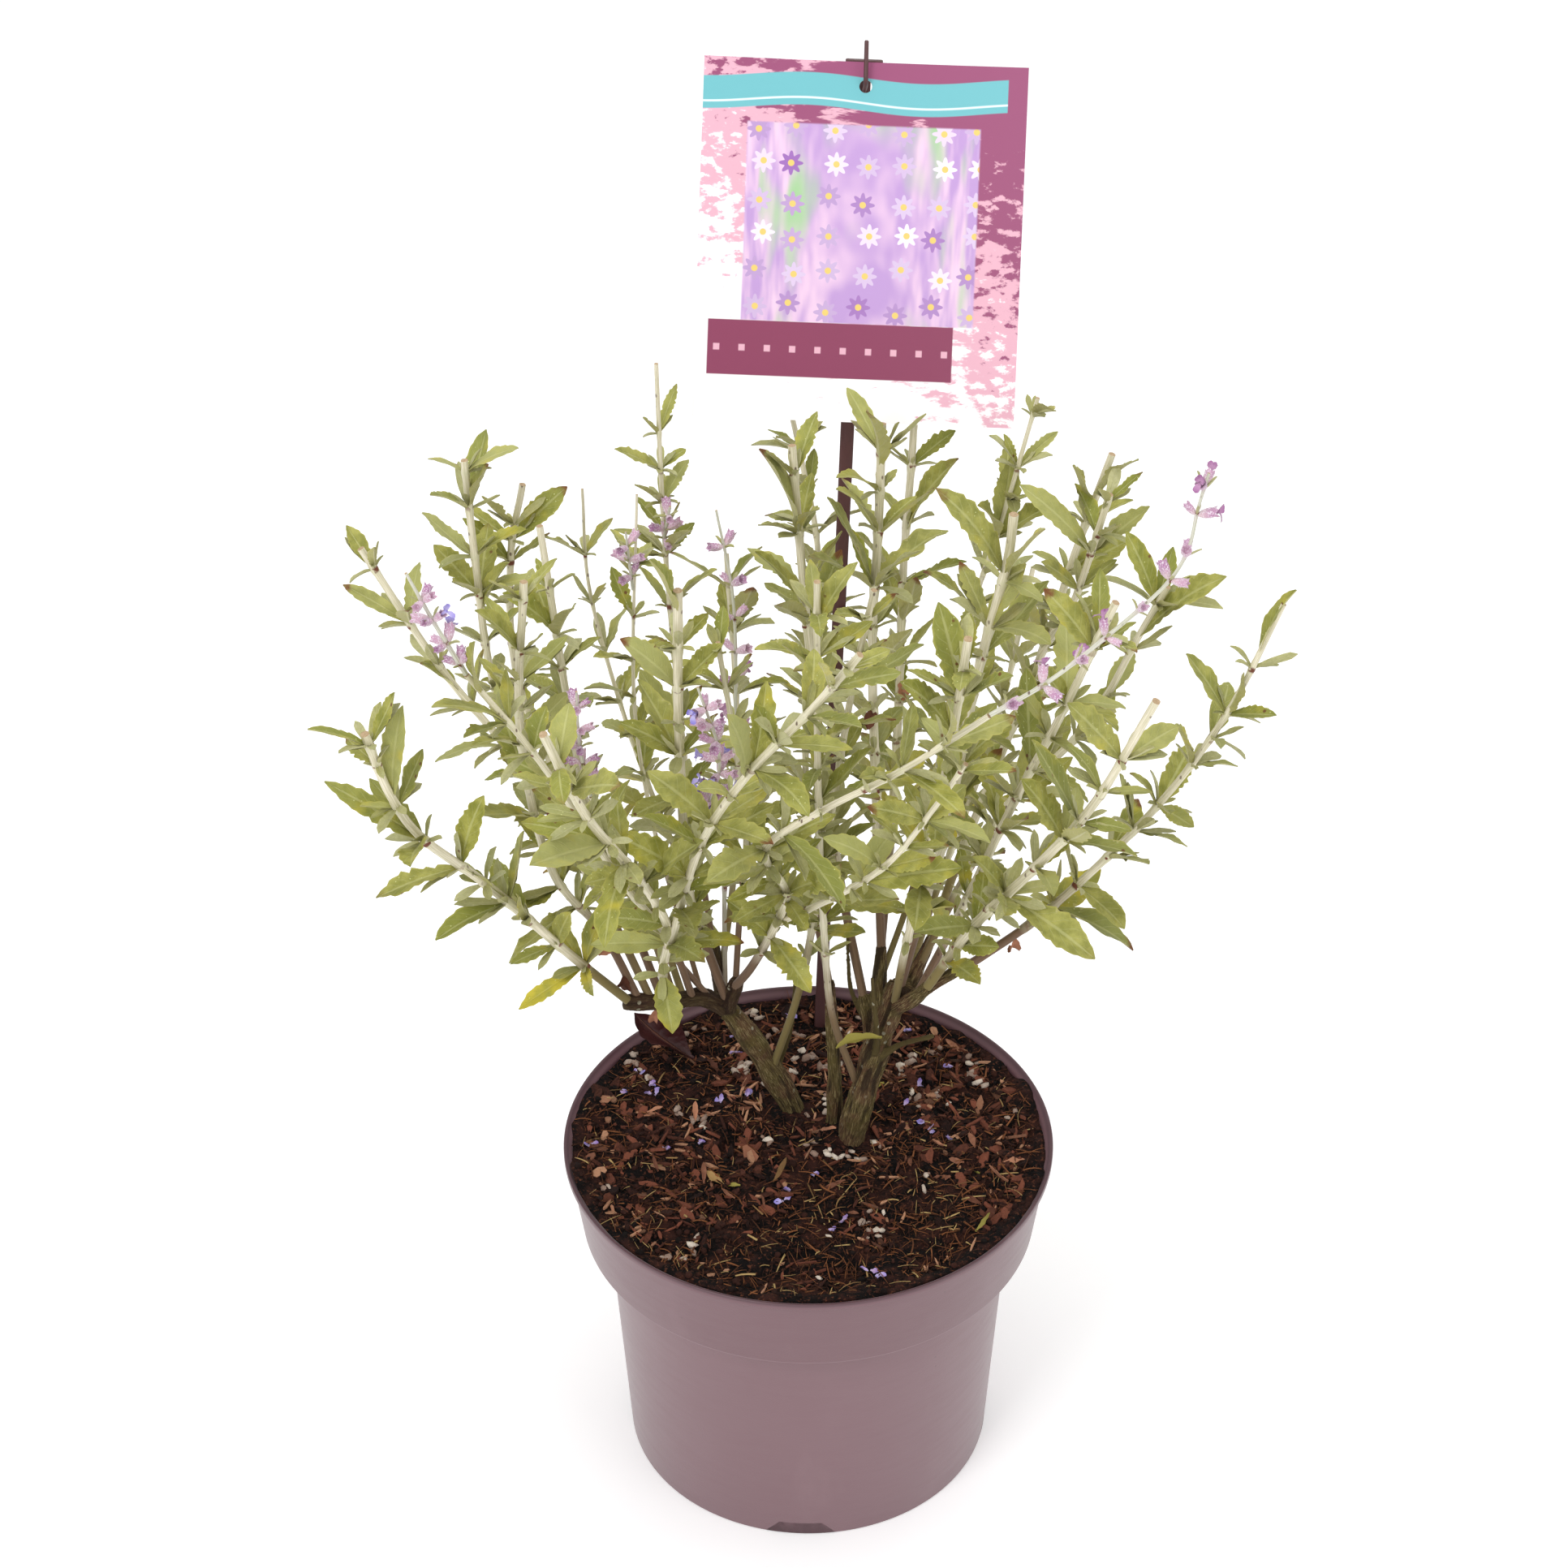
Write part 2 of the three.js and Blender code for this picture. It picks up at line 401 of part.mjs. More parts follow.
// A floret grows out of four corners as a chain of square rings: the calyx, and on an open one the petals
function growFloret(floret, corners, positions, triangles) {
  const side = new THREE.Vector3().crossVectors(floret.along, floret.up);
  const rings = floret.open ? [[0.9, 0.9], [1.5, FLORET.gape]] : [[0.8, 0.95]];
  let [bottomLeft, bottomRight, topLeft, topRight] = corners;
  rings.forEach(([u, size]) => {
    const centre = floret.base.clone().addScaledVector(floret.along, FLORET.root + FLORET.length * u);
    const first = positions.length / 3;
    [[-1, -1], [1, -1], [-1, 1], [1, 1]].forEach(([v, w]) => {
      const corner = centre.clone().addScaledVector(side, v * size * FLORET.radius)
        .addScaledVector(floret.up, w * size * FLORET.radius);
      positions.push(corner.x, corner.y, corner.z);
    });
    const [bl, br, tl, tr] = [first, first + 1, first + 2, first + 3];
    triangles.push(topLeft, topRight, tr, topLeft, tr, tl, topLeft, tl, bl, topLeft, bl, bottomLeft);
    triangles.push(topRight, bottomRight, tr, bottomRight, br, tr);
    triangles.push(bottomLeft, bl, br, bottomLeft, br, bottomRight);
    [bottomLeft, bottomRight, topLeft, topRight] = [bl, br, tl, tr];
  });
  triangles.push(topLeft, topRight, bottomRight, topLeft, bottomRight, bottomLeft);
}

// A square stem in one mesh with the shoots that grow out of its faces, each between two close rings.
// Face k looks along the azimuth turn + k quarter turns.
function growStem(route, radii, turn, shoots, root) {
  const joints = [...new Set(shoots.map(({ distance }) => distance))].sort((a, b) => a - b);
  const marks = [0, ...joints.flatMap((distance) => [distance - root, distance + root]), route.length];
  const stations = [0];
  for (let i = 1; i < marks.length; i += 1) {
    const parts = Math.max(1, Math.round((marks[i] - marks[i - 1]) / RING_STEP));
    for (let k = 1; k <= parts; k += 1) stations.push(mix(marks[i - 1], marks[i], k / parts));
  }
  const positions = [];
  const triangles = [];
  stations.forEach((distance) => {
    const { point, side, other } = route.at(distance);
    const radius = mix(radii[0], radii[1], distance / route.length);
    for (let k = 0; k < 4; k += 1) {
      const azimuth = turn + ((k - 0.5) * Math.PI) / 2;
      const corner = point.clone()
        .addScaledVector(side, radius * Math.cos(azimuth)).addScaledVector(other, radius * Math.sin(azimuth));
      positions.push(corner.x, corner.y, corner.z);
    }
  });
  for (let ring = 0; ring < stations.length - 1; ring += 1) {
    for (let k = 0; k < 4; k += 1) {
      const right = ring * 4 + k;
      const left = ring * 4 + ((k + 1) % 4);
      const shoot = shoots.find(({ distance, face }) => face === k
        && Math.abs(distance - root - stations[ring]) < 1e-6);
      if (shoot?.grow) shoot.grow([left, right, left + 4, right + 4], positions, triangles);
      else triangles.push(right, left, left + 4, right, left + 4, right + 4);
    }
  }
  const top = 4 * (stations.length - 1);
  triangles.push(0, 2, 1, 0, 3, 2, top, top + 1, top + 2, top, top + 2, top + 3);
  return solidFromArrays(positions, triangles);
}

// Points that are already taken, in cells, so that a new leaf can be kept clear of them
class Crowd {
  constructor() {
    this.cell = 6;
    this.cells = new Map();
  }

  key(x, y, z) {
    return `${Math.floor(x / this.cell)},${Math.floor(y / this.cell)},${Math.floor(z / this.cell)}`;
  }

  add(point, owner, reach) {
    const key = this.key(point.x, point.y, point.z);
    if (!this.cells.has(key)) this.cells.set(key, []);
    this.cells.get(key).push({ point, owner, reach });
  }

  touches(point, owner, ownReach) {
    for (let dx = -1; dx <= 1; dx += 1) {
      for (let dy = -1; dy <= 1; dy += 1) {
        for (let dz = -1; dz <= 1; dz += 1) {
          const key = this.key(point.x + dx * this.cell, point.y + dy * this.cell, point.z + dz * this.cell);
          for (const item of this.cells.get(key) ?? []) {
            const reach = item.owner === owner ? ownReach * item.reach : item.reach;
            if (reach > 0 && point.distanceToSquared(item.point) < reach * reach) return true;
          }
        }
      }
    }
    return false;
  }
}

function bladePoints(leaf) {
  const count = Math.ceil(leaf.length / CLEAR.step);
  const across = Math.max(1, Math.ceil(leaf.width / 2 / CLEAR.step));
  const points = [];
  for (let i = 1; i <= count; i += 1) {
    const u = i / count;
    const { point, across: side } = leafAt(leaf, u);
    const half = (leaf.width / 2) * Math.min(1, 2.4 * u, 2.6 * (1 - u) + 0.1);
    for (let j = -across; j <= across; j += 1) {
      const place = point.clone().addScaledVector(side, (half * j) / across);
      points.push({ point: place, distance: u * leaf.length });
    }
  }
  return points;
}

// The two faces of the label, the only flat thing that leaves have to keep off
const cardUp = new THREE.Vector3(0, Math.sin(degrees(CARD.lean)), Math.cos(degrees(CARD.lean)));
const cardRight = new THREE.Vector3(1, 0, 0);
const cardFrame = (() => {
  const roll = degrees(CARD.roll);
  const right = cardRight.clone().multiplyScalar(Math.cos(roll)).addScaledVector(cardUp, Math.sin(roll));
  const up = cardUp.clone().multiplyScalar(Math.cos(roll)).addScaledVector(cardRight, -Math.sin(roll));
  return { right, up, front: new THREE.Vector3().crossVectors(right, up) };
})();

function nearCard(point) {
  const offset = point.clone().sub(vector(CARD.centre));
  return Math.abs(offset.dot(cardFrame.front)) < CLEAR.leaf + CARD.bow
    && Math.abs(offset.dot(cardFrame.right)) < CARD.width / 2 + CLEAR.leaf
    && Math.abs(offset.dot(cardFrame.up)) < CARD.height / 2 + CLEAR.leaf;
}

function isClear(crowd, leaf, owner) {
  return bladePoints(leaf).every(({ point, distance }) => point.z > CLEAR.lowest && !nearCard(point)
    && !crowd.touches(point, owner, distance > CLEAR.ownFrom ? CLEAR.own / CLEAR.leaf : 0));
}

function leafFrame(route, distance, azimuth, lift, skyward) {
  const { point, tangent, side, other } = route.at(distance);
  const radial = side.clone().multiplyScalar(Math.cos(azimuth)).addScaledVector(other, Math.sin(azimuth));
  const along = tangent.clone().multiplyScalar(Math.cos(lift)).addScaledVector(radial, Math.sin(lift));
  const up = tangent.clone().addScaledVector(along, -tangent.dot(along)).normalize();
  up.multiplyScalar(1 - skyward).z += skyward;
  up.addScaledVector(along, -up.dot(along)).normalize();
  return { base: point, along, up };
}

const between = (range, share) => mix(range[0], range[1], share);

// What is tried when a leaf's first place is taken: turn about the stem, change of lift, share of its size
const TRIES = [[0, 0, 1], [14, 0, 1], [-14, 0, 1], [0, -12, 1], [0, 12, 0.92], [26, 8, 0.88], [-26, 8, 0.88],
  [18, -16, 0.8], [-18, -16, 0.8], [0, 0, 0.68], [30, 0, 0.6]];
// The same for a picked leaf: how far its tip moves along the line of sight, and how much its face
// turns to the viewer
const SHIFTS = [0, -5, 5, -10, 10, -15, 15].flatMap((shift) => [[shift, 0.9], [shift, 0.3]]);
const SIGHT = new THREE.Vector3(0, 0.82, -0.58);

// Leaves share a joint of the stem: a new place within reach of one that is there moves to it
function jointNear(joints, distance, reach) {
  const near = joints.find((joint) => Math.abs(joint - distance) < reach);
  if (near === undefined) joints.push(distance);
  return near ?? distance;
}

// Two leaves of one joint keep an angle between them, and so do a leaf and its stem
function keepsAngle(stem, leaf) {
  const lean = leaf.along.dot(stem.route.at(leaf.distance).tangent);
  return lean < CLEAR.lean && lean > -CLEAR.lean && !stem.leaves.some(({ distance, face, along }) => (
    Math.abs(distance - leaf.distance) < 9
    && ((distance === leaf.distance && face === leaf.face) || along.dot(leaf.along) > CLEAR.spread)));
}

// A leaf leaves its face of the stem nearly square on, and its root isn't twisted much
function facesOut(stem, leaf) {
  const { tangent, side, other } = stem.route.at(leaf.distance);
  const azimuth = Math.atan2(leaf.along.dot(other), leaf.along.dot(side));
  const level = new THREE.Vector3().crossVectors(leaf.along, tangent).normalize();
  return Math.cos(azimuth - stem.turn - (leaf.face * Math.PI) / 2) > CLEAR.square
    && level.dot(new THREE.Vector3().crossVectors(leaf.along, leaf.up)) > CLEAR.level;
}

function placeLeaf(crowd, stem, candidates) {
  const leaf = candidates.find((candidate) => candidate.length > BLADE.shortest
    && keepsAngle(stem, candidate) && facesOut(stem, candidate) && isClear(crowd, candidate, stem.name));
  if (!leaf) return;
  stem.leaves.push(leaf);
  bladePoints(leaf).forEach(({ point }) => crowd.add(point, stem.name, CLEAR.leaf));
}

// A leaf whose tip is given, with its upper face partly towards the stem's tip, partly to the viewer
function leafToTip({ route, turn }, distance, tip, facing, { width, droop, twist }) {
  const { point: base, tangent, side, other } = route.at(distance);
  const chord = tip.clone().sub(base);
  const azimuth = Math.atan2(chord.dot(other), chord.dot(side));
  const face = (Math.round((azimuth - turn) / (Math.PI / 2)) + 8) % 4;
  const length = chord.length();
  const along = chord.normalize();
  const up = tangent.clone().addScaledVector(along, -tangent.dot(along)).normalize();
  up.addScaledVector(SIGHT, -facing);
  up.addScaledVector(along, -up.dot(along)).normalize();
  const start = along.clone().multiplyScalar(Math.cos(droop / 2)).addScaledVector(up, Math.sin(droop / 2));
  up.addScaledVector(start, -up.dot(start)).normalize();
  return { base, along: start, up, length, width, droop, twist, distance, face };
}

function growPickedLeaves(crowd, stem) {
  const { route, picked, joints, random } = stem;
  picked.forEach(([part, tip, width]) => {
    const place = mix(PICKED.margin, route.length - PICKED.margin, part);
    const distance = jointNear(joints, place, PICKED.reach);
    const droop = degrees(between(PICKED.droop, random()));
    const twist = degrees(mix(-PICKED.twist, PICKED.twist, random()));
    const form = { width, droop, twist };
    const chord = vector(tip).distanceTo(route.at(distance).point);
    const depth = Math.sqrt(Math.max(0, (width * CLEAR.slimmest) ** 2 - chord ** 2));
    placeLeaf(crowd, stem, SHIFTS.map(([shift, facing]) => (
      leafToTip(stem, distance, vector(tip).addScaledVector(SIGHT, shift - depth), facing, form))));
  });
}

// The rest of the leaves stand in pairs, each pair a quarter turn from the last
function growPairs(crowd, stem) {
  const { route, sizes, bare, share, joints, random, turn } = stem;
  const start = route.length * bare;
  let pair = 0;
  for (let place = start; place < route.length - 3; place += between(PAIR.spacing, random())) {
    const height = (place - start) / (route.length - start);
    const distance = jointNear(joints, place, PAIR.reach);
    const grows = random() < share;
    for (let half = 0; half < 2; half += 1) {
      const present = random() < PAIR.kept && grows;
      const face = (pair % 2) + 2 * half;
      const azimuth = turn + (face * Math.PI) / 2 + degrees(mix(-PAIR.swing, PAIR.swing, random()));
      const lift = degrees(between(PAIR.lift, random()) - PAIR.flatten * height);
      const length = between(sizes, random()) * mix(PAIR.tipSize, 1, Math.sin(Math.PI * height));
      const slim = between(PAIR.slim, random());
      const droop = degrees(between(PAIR.droop, random()));
      const twist = degrees(mix(-PAIR.twist, PAIR.twist, random()));
      if (present) {
        placeLeaf(crowd, stem, TRIES.map(([swing, raise, scale]) => ({
          ...leafFrame(route, distance, azimuth + degrees(swing), lift + degrees(raise), PAIR.skyward),
          length: length * scale, width: length * scale * slim, droop, twist, distance, face,
        })));
      }
    }
    pair += 1;
  }
}

// The pot: a moulded shell with a deep collar, a lip, a raised floor, foot notches and drain holes
function makePot() {
  const { height, rim, collarTop, collarFoot, collarBottom, bodyTop, base, wall, lip, floor } = POT;
  const { padRadius, padSlope, footWidth } = POT;
  const profile = [
    [0, 0], [padRadius, 0], [padRadius + padSlope, floor], [base - footWidth - 1, floor],
    [base - footWidth, 0], [base, 0], [bodyTop, collarBottom], [collarFoot, collarBottom],
    [collarTop, height - lip], [rim, height - lip], [rim, height], [collarTop - wall, height],
    [collarFoot - wall, collarBottom + wall], [bodyTop - wall, collarBottom + wall],
    [base - wall, floor + wall], [padRadius + padSlope - wall, floor + wall], [padRadius - wall, wall],
    [0, wall],
  ];
  const shell = new THREE.LatheGeometry(profile.map(([r, z]) => new THREE.Vector2(r, z)), SEGMENTS);
  shell.rotateX(Math.PI / 2);
  let pot = solidFrom(shell);
  for (let k = 0; k < NOTCH.count; k += 1) {
    const shape = new THREE.Shape([
      new THREE.Vector2(-NOTCH.bottom / 2, -1), new THREE.Vector2(NOTCH.bottom / 2, -1),
      new THREE.Vector2(NOTCH.top / 2, NOTCH.height), new THREE.Vector2(-NOTCH.top / 2, NOTCH.height),
    ]);
    const cutter = new THREE.ExtrudeGeometry(shape, { depth: NOTCH.depth, bevelEnabled: false });
    cutter.rotateX(Math.PI / 2);
    cutter.translate(NOTCH.offset, NOTCH.inset - base, 0);
    cutter.rotateZ((2 * Math.PI * k) / NOTCH.count);
    pot = pot.subtract(solidFrom(cutter));
  }
  for (let k = 0; k < DRAIN.count; k += 1) {
    const turn = (2 * Math.PI * (k + 0.5)) / DRAIN.count;
    const drill = new THREE.CylinderGeometry(DRAIN.radius, DRAIN.radius, 4 * wall, DRAIN.sides);
    drill.rotateX(Math.PI / 2);
    drill.translate(DRAIN.ring * Math.cos(turn), DRAIN.ring * Math.sin(turn), floor);
    pot = pot.subtract(solidFrom(drill));
  }
  return pot;
}

// The ground in the pot is a little uneven, with a low mound about the trunks
function soilHeight(x, y) {
  const waves = Math.sin(x * 0.11 + 1.3) * Math.cos(y * 0.13 - 0.4) + 0.6 * Math.sin(x * 0.23 - y * 0.19);
  const mound = SOIL.mound * Math.exp(-((x - 8) ** 2 + (y - 12) ** 2) / 900);
  return SOIL.level + SOIL.bump * waves * 0.8 + mound;
}

function makeSoil() {
  const { height, collarTop, collarFoot, collarBottom, bodyTop, base, wall, floor } = POT;
  const inset = wall + GAP;
  const shoulder = collarBottom + wall;
  const edge = mix(collarFoot, collarTop, (SOIL.level - shoulder) / (height - shoulder)) - inset;
  const bottomLevel = floor + inset;
  const outline = [
    [edge, null], [collarFoot - inset, shoulder + GAP], [bodyTop - inset, shoulder + GAP],
    [base - inset, bottomLevel],
  ];
  const rings = [...SOIL.rings.map((r) => [r, null]), ...outline];
  const positions = [0, 0, soilHeight(0, 0)];
  rings.forEach(([radius, z], index) => {
    for (let k = 0; k < SEGMENTS; k += 1) {
      const turn = (2 * Math.PI * k) / SEGMENTS;
      const x = radius * Math.sin(turn);
      const y = radius * Math.cos(turn);
      const top = index < SOIL.rings.length ? soilHeight(x, y) : SOIL.level;
      positions.push(x, y, z ?? top);
    }
  });
  const bottom = positions.length / 3;
  positions.push(0, 0, bottomLevel);
  const triangles = [];
  for (let k = 0; k < SEGMENTS; k += 1) {
    const next = (k + 1) % SEGMENTS;
    triangles.push(0, 1 + next, 1 + k);
    for (let ring = 0; ring < rings.length - 1; ring += 1) {
      const a = 1 + ring * SEGMENTS + k;
      const b = 1 + ring * SEGMENTS + next;
      triangles.push(a, b, b + SEGMENTS, a, b + SEGMENTS, a + SEGMENTS);
    }
    const last = 1 + (rings.length - 1) * SEGMENTS;
    triangles.push(bottom, last + k, last + next);
  }
  return solidFromArrays(positions, triangles);
}

// The wood, or with grow above 0 the same shape a little fatter, to cut what meets it
function makeWood(limbs = WOOD, grow = 0) {
  const radius = CROWN.radius + grow;
  const crown = new THREE.CylinderGeometry(radius, radius, CROWN.height + 2 * grow, CROWN.sides);
  crown.rotateX(Math.PI / 2);
  crown.translate(...CROWN.centre);
  return joinAll([solidFrom(crown),
    ...limbs.map(({ route, radii, sides }) => taperedStem(new Route(route), radii, sides, WOOD_STEP, grow))]);
}

// The stake: a flat bar with a driven point, a cross bar at its top, and a pin that carries the card
function makeStake(grow = 0) {
  const point = vector(STAKE.point);
  const top = vector(STAKE.top);
  const axis = top.clone().sub(point);
  const length = axis.length();
  const up = axis.clone().normalize();
  const right = new THREE.Vector3(1, 0, 0).addScaledVector(up, -up.x).normalize();
  const back = new THREE.Vector3().crossVectors(up, right);
  const corners = [];
  const levels = [[-grow, STAKE.tipShare], [STAKE.tipLength, STAKE.neckShare], [length, 1]];
  levels.forEach(([distance, share]) => {
    const centre = point.clone().addScaledVector(up, distance);
    [[-1, -1], [1, -1], [1, 1], [-1, 1]].forEach(([sx, sy]) => {
      const corner = centre.clone()
        .addScaledVector(right, sx * ((STAKE.width / 2) * share + grow))
        .addScaledVector(back, sy * ((STAKE.depth / 2) * share + grow));
      corners.push(corner.x, corner.y, corner.z);
    });
  });
  const triangles = [0, 2, 1, 0, 3, 2, 8, 9, 10, 8, 10, 11];
  for (let level = 0; level < 2; level += 1) {
    for (let k = 0; k < 4; k += 1) {
      const a = level * 4 + k;
      const b = level * 4 + ((k + 1) % 4);
      triangles.push(a, b, b + 4, a, b + 4, a + 4);
    }
  }
  const bar = solidFromArrays(corners, triangles);
  if (grow > 0) return bar;
  const cross = new THREE.BoxGeometry(STAKE.barWidth, STAKE.depth, STAKE.barHeight);
  cross.applyMatrix4(new THREE.Matrix4().makeBasis(right, back, up).setPosition(top));
  const pin = taperedStem(new Route(STAKE.pin, 4), [STAKE.pinRadius, STAKE.pinRadius * 0.85], 6, 3);
  return joinAll([bar, solidFrom(cross), pin]);
}

// The card: thin, slightly bowed, leaning back, with a round hole near its top edge
function makeCard() {
  const { width, height, thickness, bow, columns } = CARD;
  const positions = [];
  const triangles = [];
  for (let column = 0; column <= columns; column += 1) {
    const x = width * (column / columns - 0.5);
    const z = bow * ((2 * x / width) ** 2 - 0.5);
    [[-0.5, 0], [0.5, 0], [0.5, -1], [-0.5, -1]].forEach(([v, face]) => {
      positions.push(x, v * height, z + (face + 0.5) * thickness);
    });
  }
  const end = 4 * columns;
  for (let i = 0; i < end; i += 4) {
    for (let k = 0; k < 4; k += 1) {
      const a = i + k;
      const b = i + ((k + 1) % 4);
      triangles.push(a, a + 4, b + 4, a, b + 4, b);
    }
  }
  triangles.push(0, 1, 2, 0, 2, 3, end, end + 2, end + 1, end, end + 3, end + 2);
  const drill = new THREE.CylinderGeometry(CARD.holeRadius, CARD.holeRadius, 20, 12);
  drill.rotateX(Math.PI / 2);
  drill.translate(0, height / 2 - CARD.holeDrop, 0);
  const plate = solidFromArrays(positions, triangles).subtract(solidFrom(drill));
  const { right, up, front } = cardFrame;
  const matrix = new THREE.Matrix4().makeBasis(right, up, front).setPosition(vector(CARD.centre));
  return plate.transform(matrix.elements);
}

function makeSpray([, , points, radii, bare, spacing, count, openShare], seed) {
  const random = randomSource(seed);
  const route = new Route(points);
  const shoots = [];
  const turn = random() * Math.PI;
  let whorl = 0;
  const step = () => spacing * between(WHORL.uneven, random());
  for (let distance = route.length * bare; distance < route.length - 3; distance += step()) {
    for (let k = 0; k < count; k += 1) {
      const face = count === 2 ? (whorl % 2) + 2 * k : (k + whorl) % 4;
      const azimuth = turn + (face * Math.PI) / 2 + degrees(mix(-WHORL.swing, WHORL.swing, random()));
      const frame = leafFrame(route, distance, azimuth, degrees(between(WHORL.lift, random())), 0);
      const floret = { ...frame, open: random() < openShare };
      shoots.push({ distance, face, grow: (...arrays) => growFloret(floret, ...arrays) });
    }
    whorl += 1;
  }
  return growStem(route, radii, turn, shoots, FLORET.root);
}

// The dry leaf that leans from the soil on the rim at the back left, with its stalk
function makeDryLeaf() {
  const { base, tip, width, stalk, stalkHalf, droop, twist } = DRY_LEAF;
  const along = vector(tip).sub(vector(base)).normalize();
  const up = new THREE.Vector3(0, 0, 1).addScaledVector(along, -along.z).normalize();
  const side = new THREE.Vector3().crossVectors(along, up);
  const length = vector(tip).distanceTo(vector(base));
  const leaf = { base: vector(base), along, up, length, width, droop, twist };
  const foot = vector(base).addScaledVector(along, -stalk);
  const positions = [];
  [[-1, -1], [1, -1], [-1, 1], [1, 1]].forEach(([v, w]) => {
    const corner = foot.clone().addScaledVector(side, v * stalkHalf).addScaledVector(up, w * stalkHalf);
    positions.push(corner.x, corner.y, corner.z);
  });
  const triangles = [0, 1, 3, 0, 3, 2];
  growBlade(leaf, BIG_OUTLINE, [0, 1, 2, 3], positions, triangles);
  return solidFromArrays(positions, triangles);
}

// The points that leaves keep clear of: stems, sprays, wood and stake
function fillCrowd(crowd, stems) {
  const fill = (route, owner, reachAt) => evenStations(route.length, 3).forEach((distance) => (
    crowd.add(route.at(distance).point, owner, reachAt(distance))));
  stems.forEach(({ name, route, radii }) => fill(route, name, (distance) => (
    CLEAR.stem + mix(radii[0], radii[1], distance / route.length))));
  SPRAYS.forEach(([name, , points]) => fill(new Route(points), name, () => CLEAR.most));
  WOOD.forEach(({ route, radii }) => {
    fill(new Route(route), 'wood', () => Math.min(CLEAR.most, CLEAR.stem + radii[0]));
  });
  fill(new Route([STAKE.point, STAKE.top], 1), 'stake', () => CLEAR.most);
}

function growPlant() {
  const crowd = new Crowd();
  const stems = STEMS.map(([name, points, radii, bare, sizes, share], index) => {
    const random = randomSource(101 + index);
    return {
      name: SIDE_STEMS[name] ?? name, route: new Route(points), radii, bare, sizes, share, random,
      turn: random() * Math.PI, picked: PICKED_LEAVES[name] ?? [], joints: [], leaves: [],
    };
  });
  fillCrowd(crowd, stems);
  stems.forEach((stem) => growPickedLeaves(crowd, stem));
  stems.forEach((stem) => growPairs(crowd, stem));
  return stems;
}

const plant = growPlant();
const fatWood = makeWood(WOOD, GAP);

function leafShoots(leaves, grows = true) {
  return leaves.map((leaf) => {
    const outline = leaf.length > BLADE.big ? BIG_OUTLINE : SMALL_OUTLINE;
    const grow = (...arrays) => growBlade(leaf, outline, ...arrays);
    return { distance: leaf.distance, face: leaf.face, grow: grows && grow };
  });
}

function makeStems() {
  const bodies = new Map();
  plant.forEach(({ name, route, radii, leaves, turn }) => {
    const stem = growStem(route, radii, turn, leafShoots(leaves), BLADE.root);
    bodies.set(name, bodies.has(name) ? bodies.get(name).add(stem) : stem);
  });
  return [...bodies].map(([name, solid]) => [name, largestPiece(solid.subtract(fatWood))]);
}

// A spray is cut clear of the wood and of the stem that carries it
function makeSprays() {
  return SPRAYS.map((spray, index) => {
    const [name, carrier] = spray;
    const carriers = plant.filter((stem) => stem.name === carrier).map(({ route, radii, leaves, turn }) => {
      const fatRadii = radii.map((radius) => radius + 1.5 * GAP);
      return growStem(route, fatRadii, turn, leafShoots(leaves, false), BLADE.root);
    });
    const whole = makeSpray(spray, 501 + index);
    const cut = [fatWood, ...carriers].reduce((rest, cutter) => rest.subtract(cutter), whole);
    return [name, largestPiece(cut)];
  });
}

function makeSoilWithHoles() {
  const roots = makeWood(WOOD.filter(({ trunk }) => trunk), GAP);
  return largestPiece(makeSoil().subtract(roots).subtract(makeStake(GAP)));
}

const group = new THREE.Group();
group.add(meshFrom(makePot(), 'pot', COLOURS.pot, 0.45));
group.add(meshFrom(makeSoilWithHoles(), 'soil', COLOURS.soil));
group.add(meshFrom(makeWood(), 'woody_base', COLOURS.wood));
group.add(meshFrom(makeStake(), 'label_stake', COLOURS.stake, 0.4));
group.add(meshFrom(makeCard(), 'label_card', COLOURS.card, 0.5));
group.add(meshFrom(makeDryLeaf(), 'dry_leaf', COLOURS.deadLeaf));
makeStems().forEach(([name, solid]) => group.add(meshFrom(solid, `leafy_stem_${name}`, COLOURS.leaf)));
makeSprays().forEach(([name, solid]) => group.add(meshFrom(solid, name, COLOURS.spray)));

export default group;
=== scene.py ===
# Little spire russian sage in a nursery pot, with its plant label on a stake.
# The scene is in metres. The plant is grown in millimetres, by the same rules and draws as its solids.
import functools
import itertools
import math

import bpy
import numpy as np
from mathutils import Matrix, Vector


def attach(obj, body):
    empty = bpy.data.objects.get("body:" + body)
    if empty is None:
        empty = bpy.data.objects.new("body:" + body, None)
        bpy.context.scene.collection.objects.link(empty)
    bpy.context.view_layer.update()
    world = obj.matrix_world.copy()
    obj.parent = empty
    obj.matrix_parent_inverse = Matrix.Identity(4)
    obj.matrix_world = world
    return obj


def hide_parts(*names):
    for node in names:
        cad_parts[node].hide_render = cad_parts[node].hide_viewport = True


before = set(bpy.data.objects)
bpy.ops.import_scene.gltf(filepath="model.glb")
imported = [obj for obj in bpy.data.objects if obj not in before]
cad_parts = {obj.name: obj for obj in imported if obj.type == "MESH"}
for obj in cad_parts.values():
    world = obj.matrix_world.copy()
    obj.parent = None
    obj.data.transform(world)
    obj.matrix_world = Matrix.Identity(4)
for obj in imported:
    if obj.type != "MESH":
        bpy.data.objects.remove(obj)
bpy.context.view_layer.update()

MM = 0.001
DEGREE = math.pi / 180

